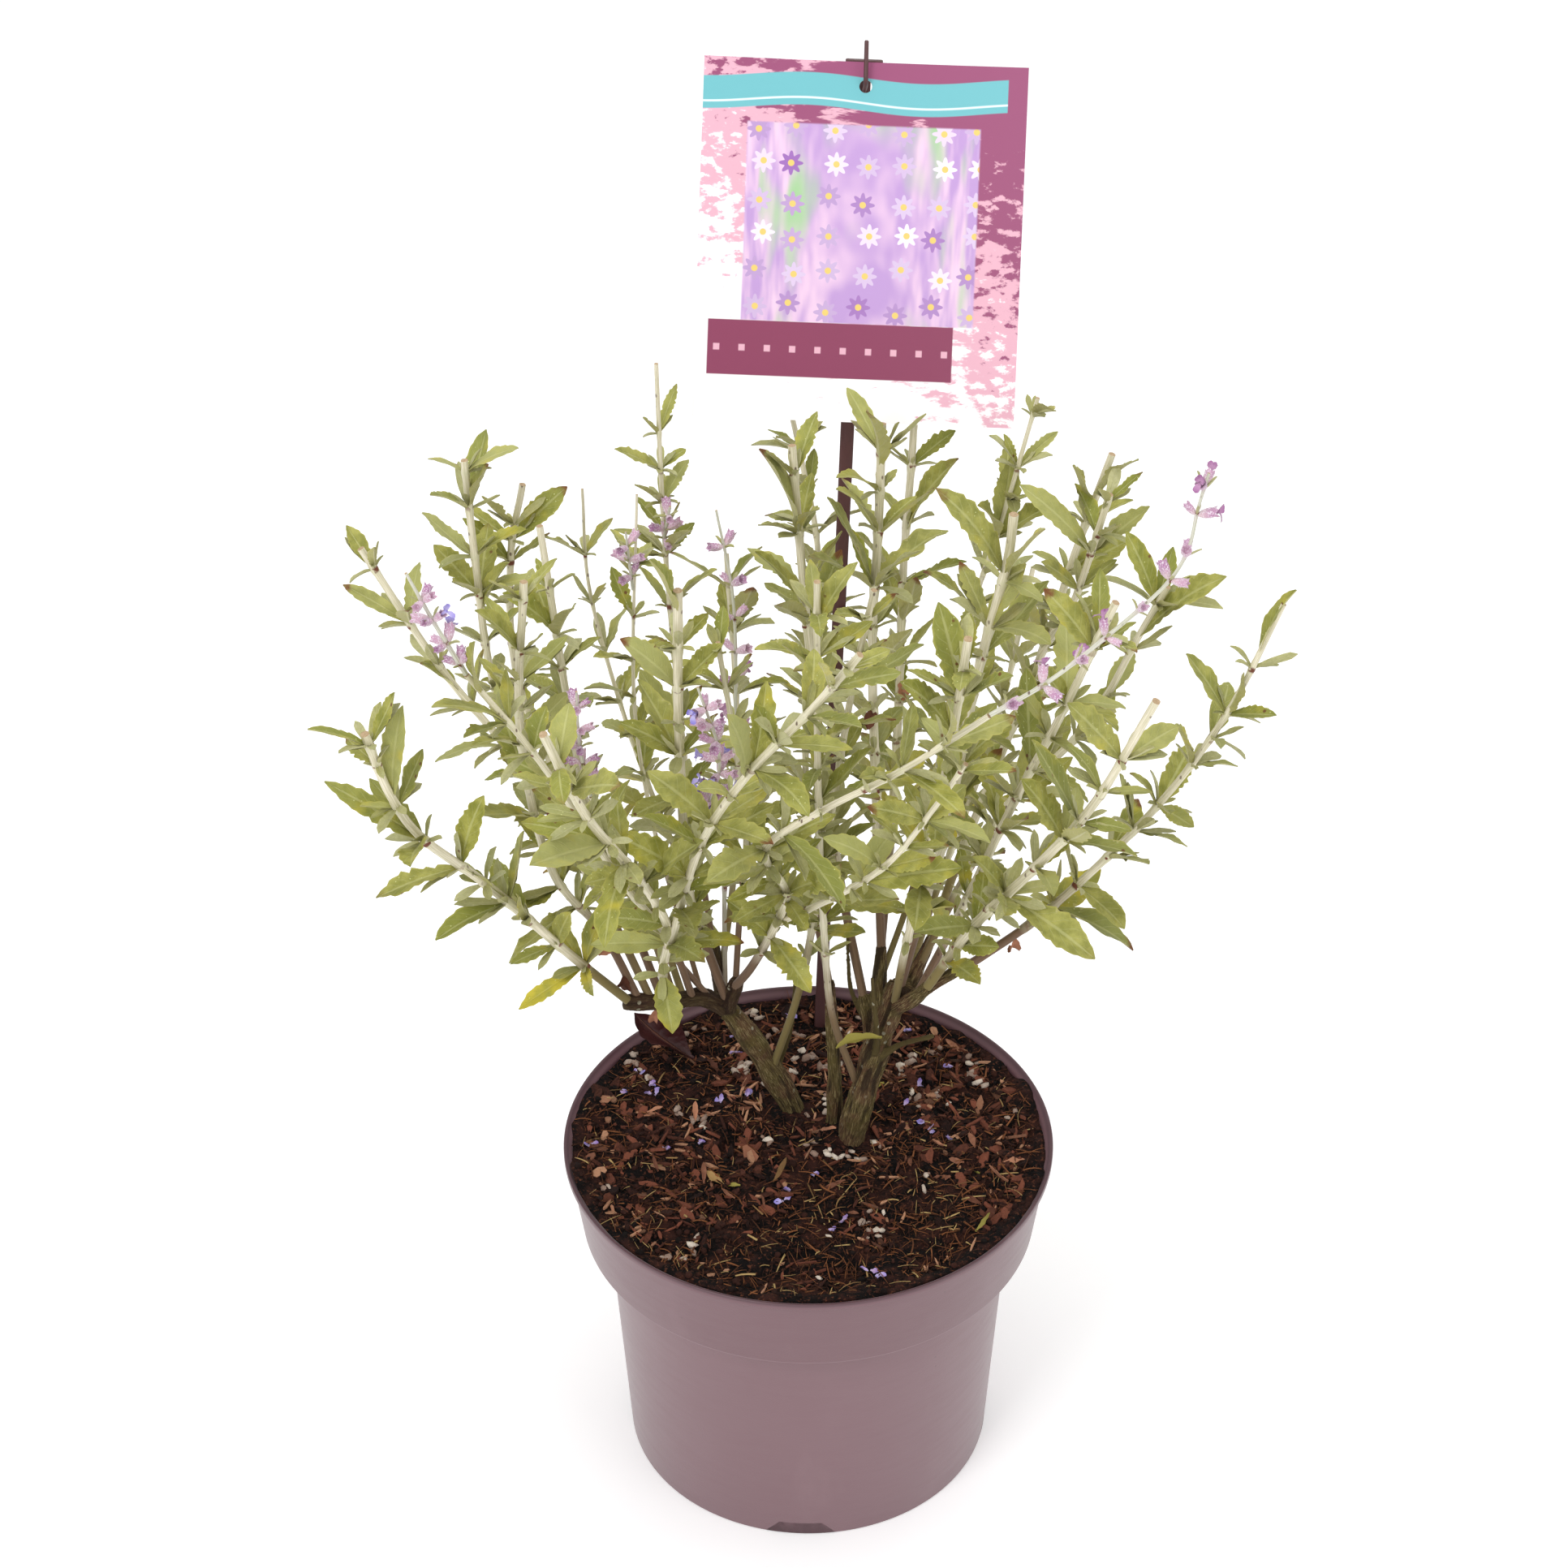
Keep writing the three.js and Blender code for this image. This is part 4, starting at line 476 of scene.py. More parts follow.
def leaf_frame(route, distance, azimuth, lift, skyward):
    point, tangent, side, other = route.at(distance)
    along = turned(tangent, turned(side, other, azimuth), lift)
    up = times(square_to(tangent, along), 1 - skyward)
    up = square_to((up[0], up[1], up[2] + skyward), along)
    return {"base": point, "along": along, "up": up}


def leaf_to_tip(stem, distance, tip, facing, form):
    """A leaf whose tip is given, its upper face partly towards the stem's tip, partly to the viewer."""
    base, tangent, side, other = stem["route"].at(distance)
    chord = plus(tip, base, -1)
    azimuth = math.atan2(dot(chord, other), dot(chord, side))
    face = (math.floor((azimuth - stem["turn"]) / (math.pi / 2) + 0.5) + 8) % 4
    along = unit(chord)
    up = square_to(plus(square_to(tangent, along), SIGHT, -facing), along)
    start = turned(along, up, form["droop"] / 2)
    return {"base": base, "along": start, "up": square_to(up, start), "length": size_of(chord),
            "distance": distance, "face": face, **form}


def grow_picked_leaves(crowd, stem):
    route, draw = stem["route"], stem["draw"]
    for part, tip, width in PICKED_LEAVES.get(stem["name"], ()):
        place = mix(PICKED["margin"], route.length - PICKED["margin"], part)
        distance = joint_near(stem["joints"], place, PICKED["reach"])
        droop = between(PICKED["droop"], draw()) * DEGREE
        twist = mix(-PICKED["twist"], PICKED["twist"], draw()) * DEGREE
        form = {"width": width, "droop": droop, "twist": twist}
        chord = size_of(plus(tip, route.at(distance)[0], -1))
        depth = math.sqrt(max(0, (width * CLEAR["slimmest"]) ** 2 - chord ** 2))
        place_leaf(crowd, stem, (leaf_to_tip(stem, distance, plus(tip, SIGHT, shift - depth), facing, form)
                                 for shift, facing in SHIFTS))


def grow_pairs(crowd, stem):
    route, draw = stem["route"], stem["draw"]
    start = route.length * stem["bare"]
    place, pair = start, 0
    while place < route.length - TIP["end"]:
        height = (place - start) / (route.length - start)
        distance = joint_near(stem["joints"], place, PAIR["reach"])
        grows = draw() < stem["share"]
        for half in range(2):
            present = draw() < PAIR["kept"] and grows
            face = pair % 2 + 2 * half
            azimuth = (stem["turn"] + face * math.pi / 2
                       + mix(-PAIR["swing"], PAIR["swing"], draw()) * DEGREE)
            lift = (between(PAIR["lift"], draw()) - PAIR["flatten"] * height) * DEGREE
            length = between(stem["sizes"], draw()) * mix(PAIR["tip_size"], 1, math.sin(math.pi * height))
            slim = between(PAIR["slim"], draw())
            form = {"droop": between(PAIR["droop"], draw()) * DEGREE,
                    "twist": mix(-PAIR["twist"], PAIR["twist"], draw()) * DEGREE,
                    "distance": distance, "face": face}
            if present:
                place_leaf(crowd, stem, (
                    {**leaf_frame(route, distance, azimuth + swing * DEGREE, lift + rise * DEGREE,
                                  PAIR["skyward"]),
                     "length": length * scale, "width": length * scale * slim, **form}
                    for swing, rise, scale in TRIES))
        pair += 1
        place += between(PAIR["spacing"], draw())


def fill_crowd(crowd, stems):
    def fill(route, owner, reach_at):
        for distance in even_stations(route.length, CLEAR["along"]):
            crowd.add(route.at(distance)[0], owner, reach_at(distance))

    for stem in stems:
        route, radii = stem["route"], stem["radii"]
        fill(route, stem["body"], lambda d: CLEAR["stem"] + mix(radii[0], radii[1], d / route.length))
    for name, points, *_ in SPRAYS:
        fill(Route(points), name, lambda d: CLEAR["most"])
    for points, radii in WOOD:
        fill(Route(points), "wood", lambda d: min(CLEAR["most"], CLEAR["stem"] + radii[0]))
    fill(Route([STAKE["point"], STAKE["top"]], 1), "stake", lambda d: CLEAR["most"])


def grow_plant():
    crowd, stems = Crowd(), []
    for index, (name, points, radii, bare, sizes, share) in enumerate(STEMS):
        draw = random_source(101 + index)
        stems.append({
            "name": name, "body": SIDE_STEMS.get(name, name), "route": Route(points), "radii": radii,
            "bare": bare, "sizes": sizes, "share": share, "draw": draw, "turn": draw() * math.pi,
            "joints": [], "leaves": [], "missed": []})
    fill_crowd(crowd, stems)
    for stem in stems:
        grow_picked_leaves(crowd, stem)
        stem["missed"] = [[{**leaf, "picked": True} for leaf in tried] for tried in stem["missed"]]
    for stem in stems:
        grow_pairs(crowd, stem)
    for index, stem in enumerate(stems):
        stem["solid"] = len(stem["leaves"])
        stem["nodes"] = stem_nodes(stem)
        fill_nodes(crowd, stem, random_source(601 + index))
    return stems


def stem_nodes(stem):
    """Places of all the nodes: those that carry large leaves, and others where the gaps are wide."""
    length = stem["route"].length
    places = sorted({leaf["distance"] for leaf in stem["leaves"]})
    marks = [FIRST_NODE * stem["bare"] * length, *places, length - TIP["cut"]]
    for a, b in zip(marks, marks[1:]):
        parts = max(1, round((b - a) / between(SPACING, b / length)))
        places += [mix(a, b, k / parts) for k in range(1, parts)]
    return sorted(places)


def fill_nodes(crowd, stem, draw):
    """The leaves that are too crowded or too small for the solids."""
    missed, stem["missed"] = stem["missed"], []
    length = stem["route"].length
    for tried in missed:
        picked, placed = "picked" in tried[0], len(stem["leaves"])
        if picked or tried[0]["distance"] < length - TIP["bare"]:
            place_leaf(crowd, stem, tried, FILL["slack"])
        if picked and len(stem["leaves"]) == placed:
            stem["leaves"].append(tried[0])
    for number, place in enumerate(stem["nodes"]):
        height = place / length
        bare = not FILL["bare"] * stem["bare"] < height < 1 - TIP["bare"] / length
        full = mix(*FILL["full"], height)
        faces = [leaf["face"] for leaf in stem["leaves"] if leaf["distance"] == place]
        for half in range(2):
            face = ((faces[0] if faces else number) + 2 * half) % 4
            azimuth = stem["turn"] + face * math.pi / 2 + FILL["swing"] * (draw() - 0.5) * DEGREE
            lift, size = between(FILL["lift"], draw()) * DEGREE, full * between(FILL["length"], draw())
            form = {"width": size * between(FILL["slim"], draw()), "twist": FILL["twist"] * (draw() - 0.5),
                    "droop": between(FILL["droop"], draw()) * DEGREE, "distance": place, "face": face}
            if draw() < mix(*FILL["shares"], height) and face not in faces and not bare:
                place_leaf(crowd, stem, (
                    {**leaf_frame(stem["route"], place, azimuth + swing * DEGREE, lift + rise * DEGREE,
                                  FILL["skyward"]),
                     **form, "length": size * scale, "width": form["width"] * scale}
                    for swing, rise, scale in TRIES), FILL["slack"])


# Meshes
HASH = {"axes": (73856093, 19349663, 83492791), "seed": 2654435761, "stir": (1274126177, 2246822519)}


def noise(points, seed=0):
    """Smooth noise from 0 to 1 at each row of points, one cell a unit."""
    points = np.atleast_2d(np.asarray(points, float))
    cell = np.floor(points).astype(np.int64)
    part = points - cell
    part = part * part * (3 - 2 * part)
    total = np.zeros(len(points))
    for corner in range(8):
        step = np.array([corner & 1, corner >> 1 & 1, corner >> 2 & 1])
        code = np.bitwise_xor.reduce((cell + step) * HASH["axes"], axis=1) ^ seed * HASH["seed"]
        code = (code & 0xFFFFFFFF) * HASH["stir"][0] & 0xFFFFFFFF
        code = (code ^ code >> 15) * HASH["stir"][1] & 0xFFFFFFFF
        share = np.prod(np.where(step == 1, part, 1 - part), axis=1)
        total += share * ((code ^ code >> 13) & 0xFFFF) / 0xFFFF
    return total


def rough(points, size, seed, layers=3):
    """Layered noise from -1 to 1, with forms of about that size."""
    return sum((2 * noise(points / size * 2 ** k, seed + k) - 1) * 0.5 ** k for k in range(layers)) / 1.5


def rows_of(items, key):
    """One vector of each item of a mesh, as rows."""
    values = np.empty(len(items) * 3, np.float32)
    items.foreach_get(key, values)
    return values.reshape(-1, 3)


def set_rows(items, key, rows):
    items.foreach_set(key, np.asarray(rows, np.float32).ravel())


def set_vectors(mesh, name, rows):
    set_rows(mesh.attributes.new(name, "FLOAT_VECTOR", "POINT").data, "vector", rows)


class Shape:
    """Gathers the points and faces of one piece, in millimetres, with two vectors a point for its shader."""

    def __init__(self):
        self.points, self.faces, self.slots = [], [], []
        self.vectors = {"blade": [], "tone": []}
        self.count = 0

    def add(self, points, faces, blade=(0, 0, 0), tone=(0, 0, 0), slots=0):
        """Adds points and groups of faces. slots gives the material of each group."""
        points = np.asarray(points, float)
        self.points.append(points)
        for key, rows in (("blade", blade), ("tone", tone)):
            self.vectors[key].append(np.broadcast_to(np.asarray(rows, float), points.shape))
        for group, slot in zip(faces, np.broadcast_to(slots, len(faces))):
            self.faces.append(np.asarray(group, int) + self.count)
            self.slots.append(np.full(len(group), slot))
        self.count += len(points)

    def add_tube(self, route, stations, radius_at, sides):
        points, _ = tube(route, stations, radius_at, sides)
        self.add(points, ring_faces(len(stations), sides))

    def build(self, name, materials, nodes, slot, sharp=50):
        """Makes the piece, gives it its materials and ties it to the frame."""
        mesh = bpy.data.meshes.new(name)
        mesh.vertices.add(self.count)
        set_rows(mesh.vertices, "co", np.concatenate(self.points) * MM)
        sizes = np.concatenate([np.full(len(f), f.shape[1]) for f in self.faces])
        corners = np.concatenate([f.ravel() for f in self.faces])
        starts = np.concatenate([[0], np.cumsum(sizes)[:-1]])
        mesh.loops.add(len(corners))
        mesh.polygons.add(len(sizes))
        mesh.loops.foreach_set("vertex_index", corners.astype(np.int32))
        mesh.polygons.foreach_set("loop_start", starts.astype(np.int32))
        mesh.polygons.foreach_set("material_index", np.concatenate(self.slots).astype(np.int32))
        mesh.polygons.foreach_set("use_smooth", np.ones(len(sizes), bool))
        mesh.update(calc_edges=True)
        for key, rows in self.vectors.items():
            set_vectors(mesh, key, np.concatenate(rows))
        return dress(mesh, name, materials, nodes, slot, sharp)


def dress(mesh, name, materials, nodes, slot, sharp=50):
    for material in materials:
        mesh.materials.append(material)
    if sharp:
        mesh.set_sharp_from_angle(angle=sharp * DEGREE)
    piece = bpy.data.objects.new(name, mesh)
    bpy.context.scene.collection.objects.link(piece)
    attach(piece, "root")
    if nodes:
        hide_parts(*nodes)
    return piece


def plain_mesh(piece):
    """The piece's mesh with its modifiers carried out."""
    return bpy.data.meshes.new_from_object(piece.evaluated_get(bpy.context.evaluated_depsgraph_get()))


def cut_away(piece, cutter):
    """Takes the cutter's solids out of the piece."""
    cut = piece.modifiers.new("cut", "BOOLEAN")
    cut.operation, cut.solver, cut.object = "DIFFERENCE", "MANIFOLD", cutter
    mesh = plain_mesh(piece)
    piece.modifiers.clear()
    piece.data = mesh
    bpy.data.objects.remove(cutter)


def ring_faces(rings, sides, closed_ends=True):
    """Quads between rings of points, with a fan over each end."""
    k = np.arange(sides)
    a = (np.arange(rings - 1) * sides)[:, None] + k
    b = (np.arange(rings - 1) * sides)[:, None] + (k + 1) % sides
    faces = [np.stack([a, b, b + sides, a + sides], -1).reshape(-1, 4)]
    if closed_ends:
        inner = np.arange(1, sides - 1)
        zero = np.zeros_like(inner)
        top = (rings - 1) * sides
        faces.append(np.stack([zero, inner + 1, inner], -1))
        faces.append(np.stack([zero + top, inner + top, inner + 1 + top], -1))
    return faces


def sheet_faces(grid):
    return np.stack([grid[:-1, :-1], grid[:-1, 1:], grid[1:, 1:], grid[1:, :-1]], -1).reshape(-1, 4)


def tube(route, stations, radius_at, sides, turn=0.0):
    """Rings of points along a route, and the cosine, sine and distance of each point.

    radius_at gives a ring's radius, or the radii of its points, from distance and azimuths.
    """
    angles = turn + 2 * math.pi * np.arange(sides) / sides
    cos, sin = np.cos(angles), np.sin(angles)
    rings, blades = [], []
    for distance in stations:
        point, _, side, other = route.at(distance)
        out = cos[:, None] * np.array(side) + sin[:, None] * np.array(other)
        radii = np.broadcast_to(radius_at(distance, angles - turn), sides)
        rings.append(np.array(point) + radii[:, None] * out)
        blades.append(np.stack([cos, sin, np.full(sides, distance)], -1))
    return np.concatenate(rings), np.concatenate(blades)


@functools.cache
def blade_faces(rows, columns):
    """Faces of a closed blade: an upper and an under sheet that share their rim, both made alike."""
    upper = np.arange((rows + 1) * (columns + 1)).reshape(rows + 1, columns + 1)
    under = upper.copy()
    inner = (rows + 1) * (columns + 1) + np.arange((rows + 1) * (columns - 1))
    under[:, 1:-1] = inner.reshape(rows + 1, columns - 1)
    ends = []
    for row, flip in ((0, 1), (rows, -1)):
        for c in range(columns):
            a, b, d, e = [upper[row, c], under[row, c], under[row, c + 1], upper[row, c + 1]][::flip]
            ends += [[a, b, d], [a, d, e]]
    ends = np.array([corners for corners in ends if len(set(corners)) == 3])
    return [sheet_faces(upper), sheet_faces(under)[:, ::-1], ends]


# Side veins on each half of a leaf, and how far forward one slants, in gaps between veins
VEINS = 8
VEIN_SLANT = 1.7
# The materials of a leaf's upper, under and end faces
FACES = (0, 1, 0)


def tooth_cut(u, draw, teeth, depth):
    """How far the teeth of one rim are cut in at each u, as a share of the half width."""
    first, last, crest = 0.26 + 0.12 * draw(), 0.98, 0.7
    place = np.clip((u - first) / (last - first), 0, 0.9999) * teeth
    deep = np.array([depth * (0.45 + 0.9 * draw()) for _ in range(teeth)])[place.astype(int)]
    rise = place % 1
    saw = np.where(rise < crest, rise / crest, (1 - rise) / (1 - crest))
    return np.where(u < first, 0, deep * (1 - saw))


def add_blade(shape, leaf, draw, tone, rows, fold, columns=4, teeth=4, depth=0.2, wave=0.25, thick=0.3,
              profile=(1.15, 0.85), roll=0.0, slots=0):
    """A leaf's blade with toothed rims, a fold along its midrib, waves, and pads between its veins."""
    u = np.linspace(0, 1, rows + 1)
    v = np.linspace(-1, 1, columns + 1)
    a, b = profile
    peak = a / (a + b)
    half = leaf["width"] / 2 * (u ** a * (1 - u) ** b) / (peak ** a * (1 - peak) ** b)
    stalk = min(0.4, 0.09 * leaf["width"] / 2) + 0.25
    left, right = (np.maximum(half * (1.04 - tooth_cut(u, draw, teeth, depth)), stalk * (1 - 0.6 * u))
                   for _ in range(2))
    phases = [2 * math.pi * draw() for _ in range(3)]
    waves = 2 * math.pi * (1.3 + draw()) * u
    on_left, av = v[None, :] < 0, np.abs(v)[None, :]
    width = np.maximum(left, right)[:, None]
    rim = np.where(on_left, *(np.sin(waves + phase)[:, None] for phase in phases[:2]))
    pads = np.cos(2 * math.pi * (VEINS * u[:, None] - VEIN_SLANT * av)) * av * (1 - av) * 4
    rib = thick * np.exp(-(av / 0.2) ** 2) * (1 - 0.75 * u)[:, None]
    upper_z = width * (fold * av + wave * av ** 1.6 * rim + roll * av ** 2 - 0.03 * thick * pads
                       + 0.25 * wave * np.sin(5 * u + phases[2])[:, None]) - 0.5 * rib
    under_z = upper_z - thick * (1 - 0.5 * av) - 1.3 * rib

    along, up, base = (np.array(leaf[key], float) for key in ("along", "up", "base"))
    droop = leaf["droop"] if abs(leaf["droop"]) > 1e-3 else 1e-3
    bend, turn = droop * u, (leaf["twist"] * u)[:, None]
    middle = base + (np.outer(np.sin(bend), along) - np.outer(1 - np.cos(bend), up)) * leaf["length"] / droop
    upward = np.outer(np.cos(bend), up) + np.outer(np.sin(bend), along)
    side = np.cross(along, up)
    across = np.cos(turn) * side + np.sin(turn) * upward
    normal = np.cos(turn) * upward - np.sin(turn) * side
    sheet = (middle[:, None] + (np.where(on_left, left[:, None], right[:, None]) * v)[:, :, None]
             * across[:, None])
    upper, under = (sheet + z[:, :, None] * normal[:, None] for z in (upper_z, under_z))
    marks = np.stack(np.broadcast_arrays(u[:, None], v[None, :], draw()), -1)
    points, blade = (np.concatenate([above.reshape(-1, 3), below[:, 1:-1].reshape(-1, 3)])
                     for above, below in ((upper, under), (marks, marks)))
    shape.add(points, blade_faces(rows, columns), blade, tone, slots)


# Leafy stems. A stem at or under the thin radius has the thin step between its rings
STEM_SKIN = {"sides": 12, "step": 2.4, "thin": 0.8, "thin_step": 1.6, "old_part": 0.45, "old_below": 285,
             "old_over": 60}
# Leaves turn yellow below this height, over this depth, and each by chance
LEAF_AGE = {"below": 262, "over": 50, "low": 0.75, "any": 0.16, "silver": 0.16}
# A node's tuft: how many small leaves stand on each side, their lengths, widths as shares, and lifts
TUFT = {"count": 1.9, "length": (8, 21), "slim": (0.22, 0.32), "lift": (28, 72), "swing": 38,
        "droop": (-14, 48)}


def add_stem(shape, route, radii, nodes, turn, draw, age=1.0):
    """A square stem with rounded corners that swells at its nodes."""
    marks = np.array(nodes)

    def radius_at(distance, angles):
        swell = 0.93 + 0.24 * np.exp(-((marks - distance) / 1.9) ** 2).max()
        corner = 0.95 + 0.055 * np.cos(4 * (angles - math.pi / 4))
        return mix(radii[0], radii[1], distance / route.length) * swell * corner

    skin = STEM_SKIN
    stations = even_stations(route.length, skin["step"] if radii[0] > skin["thin"] else skin["thin_step"])
    points, blades = tube(route, stations, radius_at, skin["sides"], turn)
    distance = blades[:, 2]
    age *= 0.8 + 0.5 * draw()
    low = np.clip((skin["old_below"] - points[:, 2]) / skin["old_over"], 0, 1)
    old = age * np.clip(1 - distance / (skin["old_part"] * route.length), 0, 1) * low
    at_node = np.exp(-((distance[:, None] - marks) / 1.6) ** 2).max(1)
    tone = np.stack([old, at_node, np.full(len(points), draw())], -1)
    shape.add(points, ring_faces(len(stations), skin["sides"]), blades, tone, (0, 0, 1))


def leaf_tone(leaf, draw):
    """Silvery, yellow and brown shares of a leaf. The low ones turn yellow."""
    low = min(1, max(0, (LEAF_AGE["below"] - leaf["base"][2]) / LEAF_AGE["over"]))
    yellow = LEAF_AGE["low"] * low * draw() + LEAF_AGE["any"] * draw()
    brown = draw() ** 3
    return LEAF_AGE["silver"] * draw(), yellow, brown


def add_tuft(shape, route, distance, face, turn, draw, size=1.0, count=TUFT["count"]):
    """The small leaves in the axils of one node, on two sides of the stem."""
    for half in range(2):
        for k in range(int(count + draw())):
            spread = 0 if k == 0 else TUFT["swing"] * (1 if k % 2 else -1)
            azimuth = turn + (face + 2 * half) * math.pi / 2 + (spread + 16 * (draw() - 0.5)) * DEGREE
            lift = between(TUFT["lift"], draw()) * DEGREE
            length = size * between(TUFT["length"], draw()) * (1 - 0.12 * k)
            leaf = {**leaf_frame(route, distance, azimuth, lift, 0.15), "length": length,
                    "width": length * between(TUFT["slim"], draw()),
                    "droop": between(TUFT["droop"], draw()) * DEGREE, "twist": (draw() - 0.5) * 0.9}
            tone = (0.35 + 0.55 * draw(), 0.1 * draw(), 0.25 * draw() ** 4)
            if not near_card(leaf_at(leaf, 1)[0]):
                add_blade(shape, leaf, draw, tone, rows=7, teeth=1, depth=0.1, fold=0.1 + 0.3 * draw(),
                          wave=0.1, thick=0.26, profile=(0.85, 0.5), slots=FACES)


def add_leaves(foliage, stem, draw):
    for number, leaf in enumerate(stem["leaves"]):
        tone = leaf_tone(leaf, draw)
        form = {"fold": 0.08 + 0.38 * draw(), "wave": 0.06 + 0.14 * draw(), "depth": 0.14 + 0.2 * draw()}
        if number < stem["solid"] or "picked" in leaf:
            form |= {"rows": 25, "columns": 6, "teeth": 4 + int(3 * draw())}
        else:
            form |= {"rows": 18, "teeth": 4} if leaf["length"] > 18 else {"rows": 14, "teeth": 3}
        add_blade(foliage, leaf, draw, tone, slots=FACES, **form)


def add_tufts(foliage, stem, draw):
    route, turn = stem["route"], stem["turn"]
    for number, place in enumerate(stem["nodes"]):
        share = place / route.length
        faces = [leaf["face"] for leaf in stem["leaves"] if leaf["distance"] == place]
        if share < FIRST_NODE * stem["bare"] or (place > route.length - TIP["bare"] and not faces):
            continue
        face = faces[0] if faces else number % 2
        slender = (0.75 if stem["radii"][0] < 1.5 else 1) * (0.7 + 0.5 * draw())
        if draw() > 0.45 * share:
            add_tuft(foliage, route, place, face + 1, turn, draw, 0.7 * slender, 0.8)
        count = TUFT["count"] if share > stem["bare"] else 1
        add_tuft(foliage, route, place, face, turn, draw, slender, count)


def make_leafy_stems(stems, looks):
    bodies = {}
    for index, stem in enumerate(stems):
        wood, foliage = bodies.setdefault(stem["body"], (Shape(), Shape()))
        draw = random_source(701 + index)
        add_stem(wood, stem["route"], stem["radii"], stem["nodes"], stem["turn"], draw)
        add_leaves(foliage, stem, draw)
        add_tufts(foliage, stem, draw)
    for name, (wood, foliage) in bodies.items():
        node = f"leafy_stem_{name}"
        wood.build(f"stem_{name}", [looks["stem"], looks["cut"]], [node], "leaf")
        foliage.build(f"foliage_{name}", [looks["leaf"], looks["leaf_under"]], [node], "leaf")


# Flowering sprays. An outline gives the distance along the axis and the radius, as shares
CALYX = {"outline": [(-0.2, 0.3), (0.0, 0.5), (0.14, 1.05), (0.4, 1.5), (0.7, 1.72), (0.95, 1.6),
                     (1.08, 1.85), (1.0, 1.3), (0.75, 0.8)],
         "sides": 10, "tooth": 0.9, "hairs": 18, "hair_radius": 0.07, "hair_turn": 2.094}
COROLLA = {"outline": [(0, 0.55), (0.35, 0.7), (0.75, 0.8), (1, 1.05), (0.8, 0.6)], "sides": 8, "length": 3.2,
           "petals": [(20, 2.6), (62, 2.9), (118, 2.9), (160, 2.6), (270, 3.8)]}


def add_calyx(shape, floret, draw):
    """A ribbed woolly cup with a short stalk, a toothed mouth and fine hairs."""
    base, along, up = floret["base"], floret["along"], floret["up"]
    side, sides = cross(along, up), CALYX["sides"]
    size = 0.7 + 0.4 * draw()
    rings, blades = [], []
    for u, width in CALYX["outline"]:
        centre = plus(base, along, FLORET["root"] + FLORET["length"] * u * size)
        for k in range(sides):
            angle = 2 * math.pi * k / sides
            radius = FLORET["radius"] * width * (1.07 if k % 2 else 0.93) * size
            tooth = CALYX["tooth"] * (k % 2) if u > 1 else 0
            rings.append(plus(plus(centre, turned(side, up, angle), radius), along, tooth))
            blades.append((u, angle, 0))
    shape.add(rings, ring_faces(len(CALYX["outline"]), sides), blades, (draw(), 0, 0))
    for _ in range(CALYX["hairs"]):
        u, angle = 0.1 + 0.85 * draw(), 2 * math.pi * draw()
        out = turned(side, up, angle)
        foot = plus(base, along, FLORET["root"] + FLORET["length"] * u * size)
        foot = plus(foot, out, 1.35 * FLORET["radius"] * size)
        add_hair(shape, foot, unit(plus(out, along, 0.6)), 0.75 + 0.5 * draw())


def add_hair(shape, foot, direction, length):
    side = unit(cross(direction, (0.31, 0.52, 0.8)))
    other = cross(direction, side)
    points = [plus(foot, turned(side, other, CALYX["hair_turn"] * k), CALYX["hair_radius"]) for k in range(3)]
    points.append(plus(foot, direction, length))
    shape.add(points, [[[0, 1, 3], [1, 2, 3], [2, 0, 3], [0, 2, 1]]], tone=(1.5, 0, 0))


def add_corolla(shape, base, along, up, draw, mauve, size):
    """An open flower: a tube, a spread upper lip of four lobes and a longer lower one."""
    side, sides = cross(along, up), COROLLA["sides"]
    rings = []
    for u, width in COROLLA["outline"]:
        centre = plus(base, along, COROLLA["length"] * u * size)
        rings += [plus(centre, turned(side, up, 2 * math.pi * k / sides), width * 0.85 * size)
                  for k in range(sides)]
    tone = (draw(), mauve, 0)
    shape.add(rings, ring_faces(len(COROLLA["outline"]), sides), (0.2, 0, 0), tone)
    mouth = plus(base, along, 3.0 * size)
    for k, (angle, length) in enumerate(COROLLA["petals"]):
        upper = k < 4
        out = turned(side, up, (angle + 14 * (draw() - 0.5)) * DEGREE)
        start = turned(along, out, 0.95 if upper else 1.15)
        petal = {"base": plus(mouth, out, 0.45 * size), "along": start,
                 "up": square_to(times(out, -1) if upper else along, start),
                 "length": length * size, "width": (2.0 if upper else 2.6) * size,
                 "droop": (-0.5 if upper else 0.7) * (0.6 + draw()), "twist": 0.3 * (draw() - 0.5)}
        add_blade(shape, petal, draw, tone, rows=7, teeth=1, depth=0.0, fold=0.1, wave=0.12, thick=0.12,
                  profile=(0.5, 0.32))


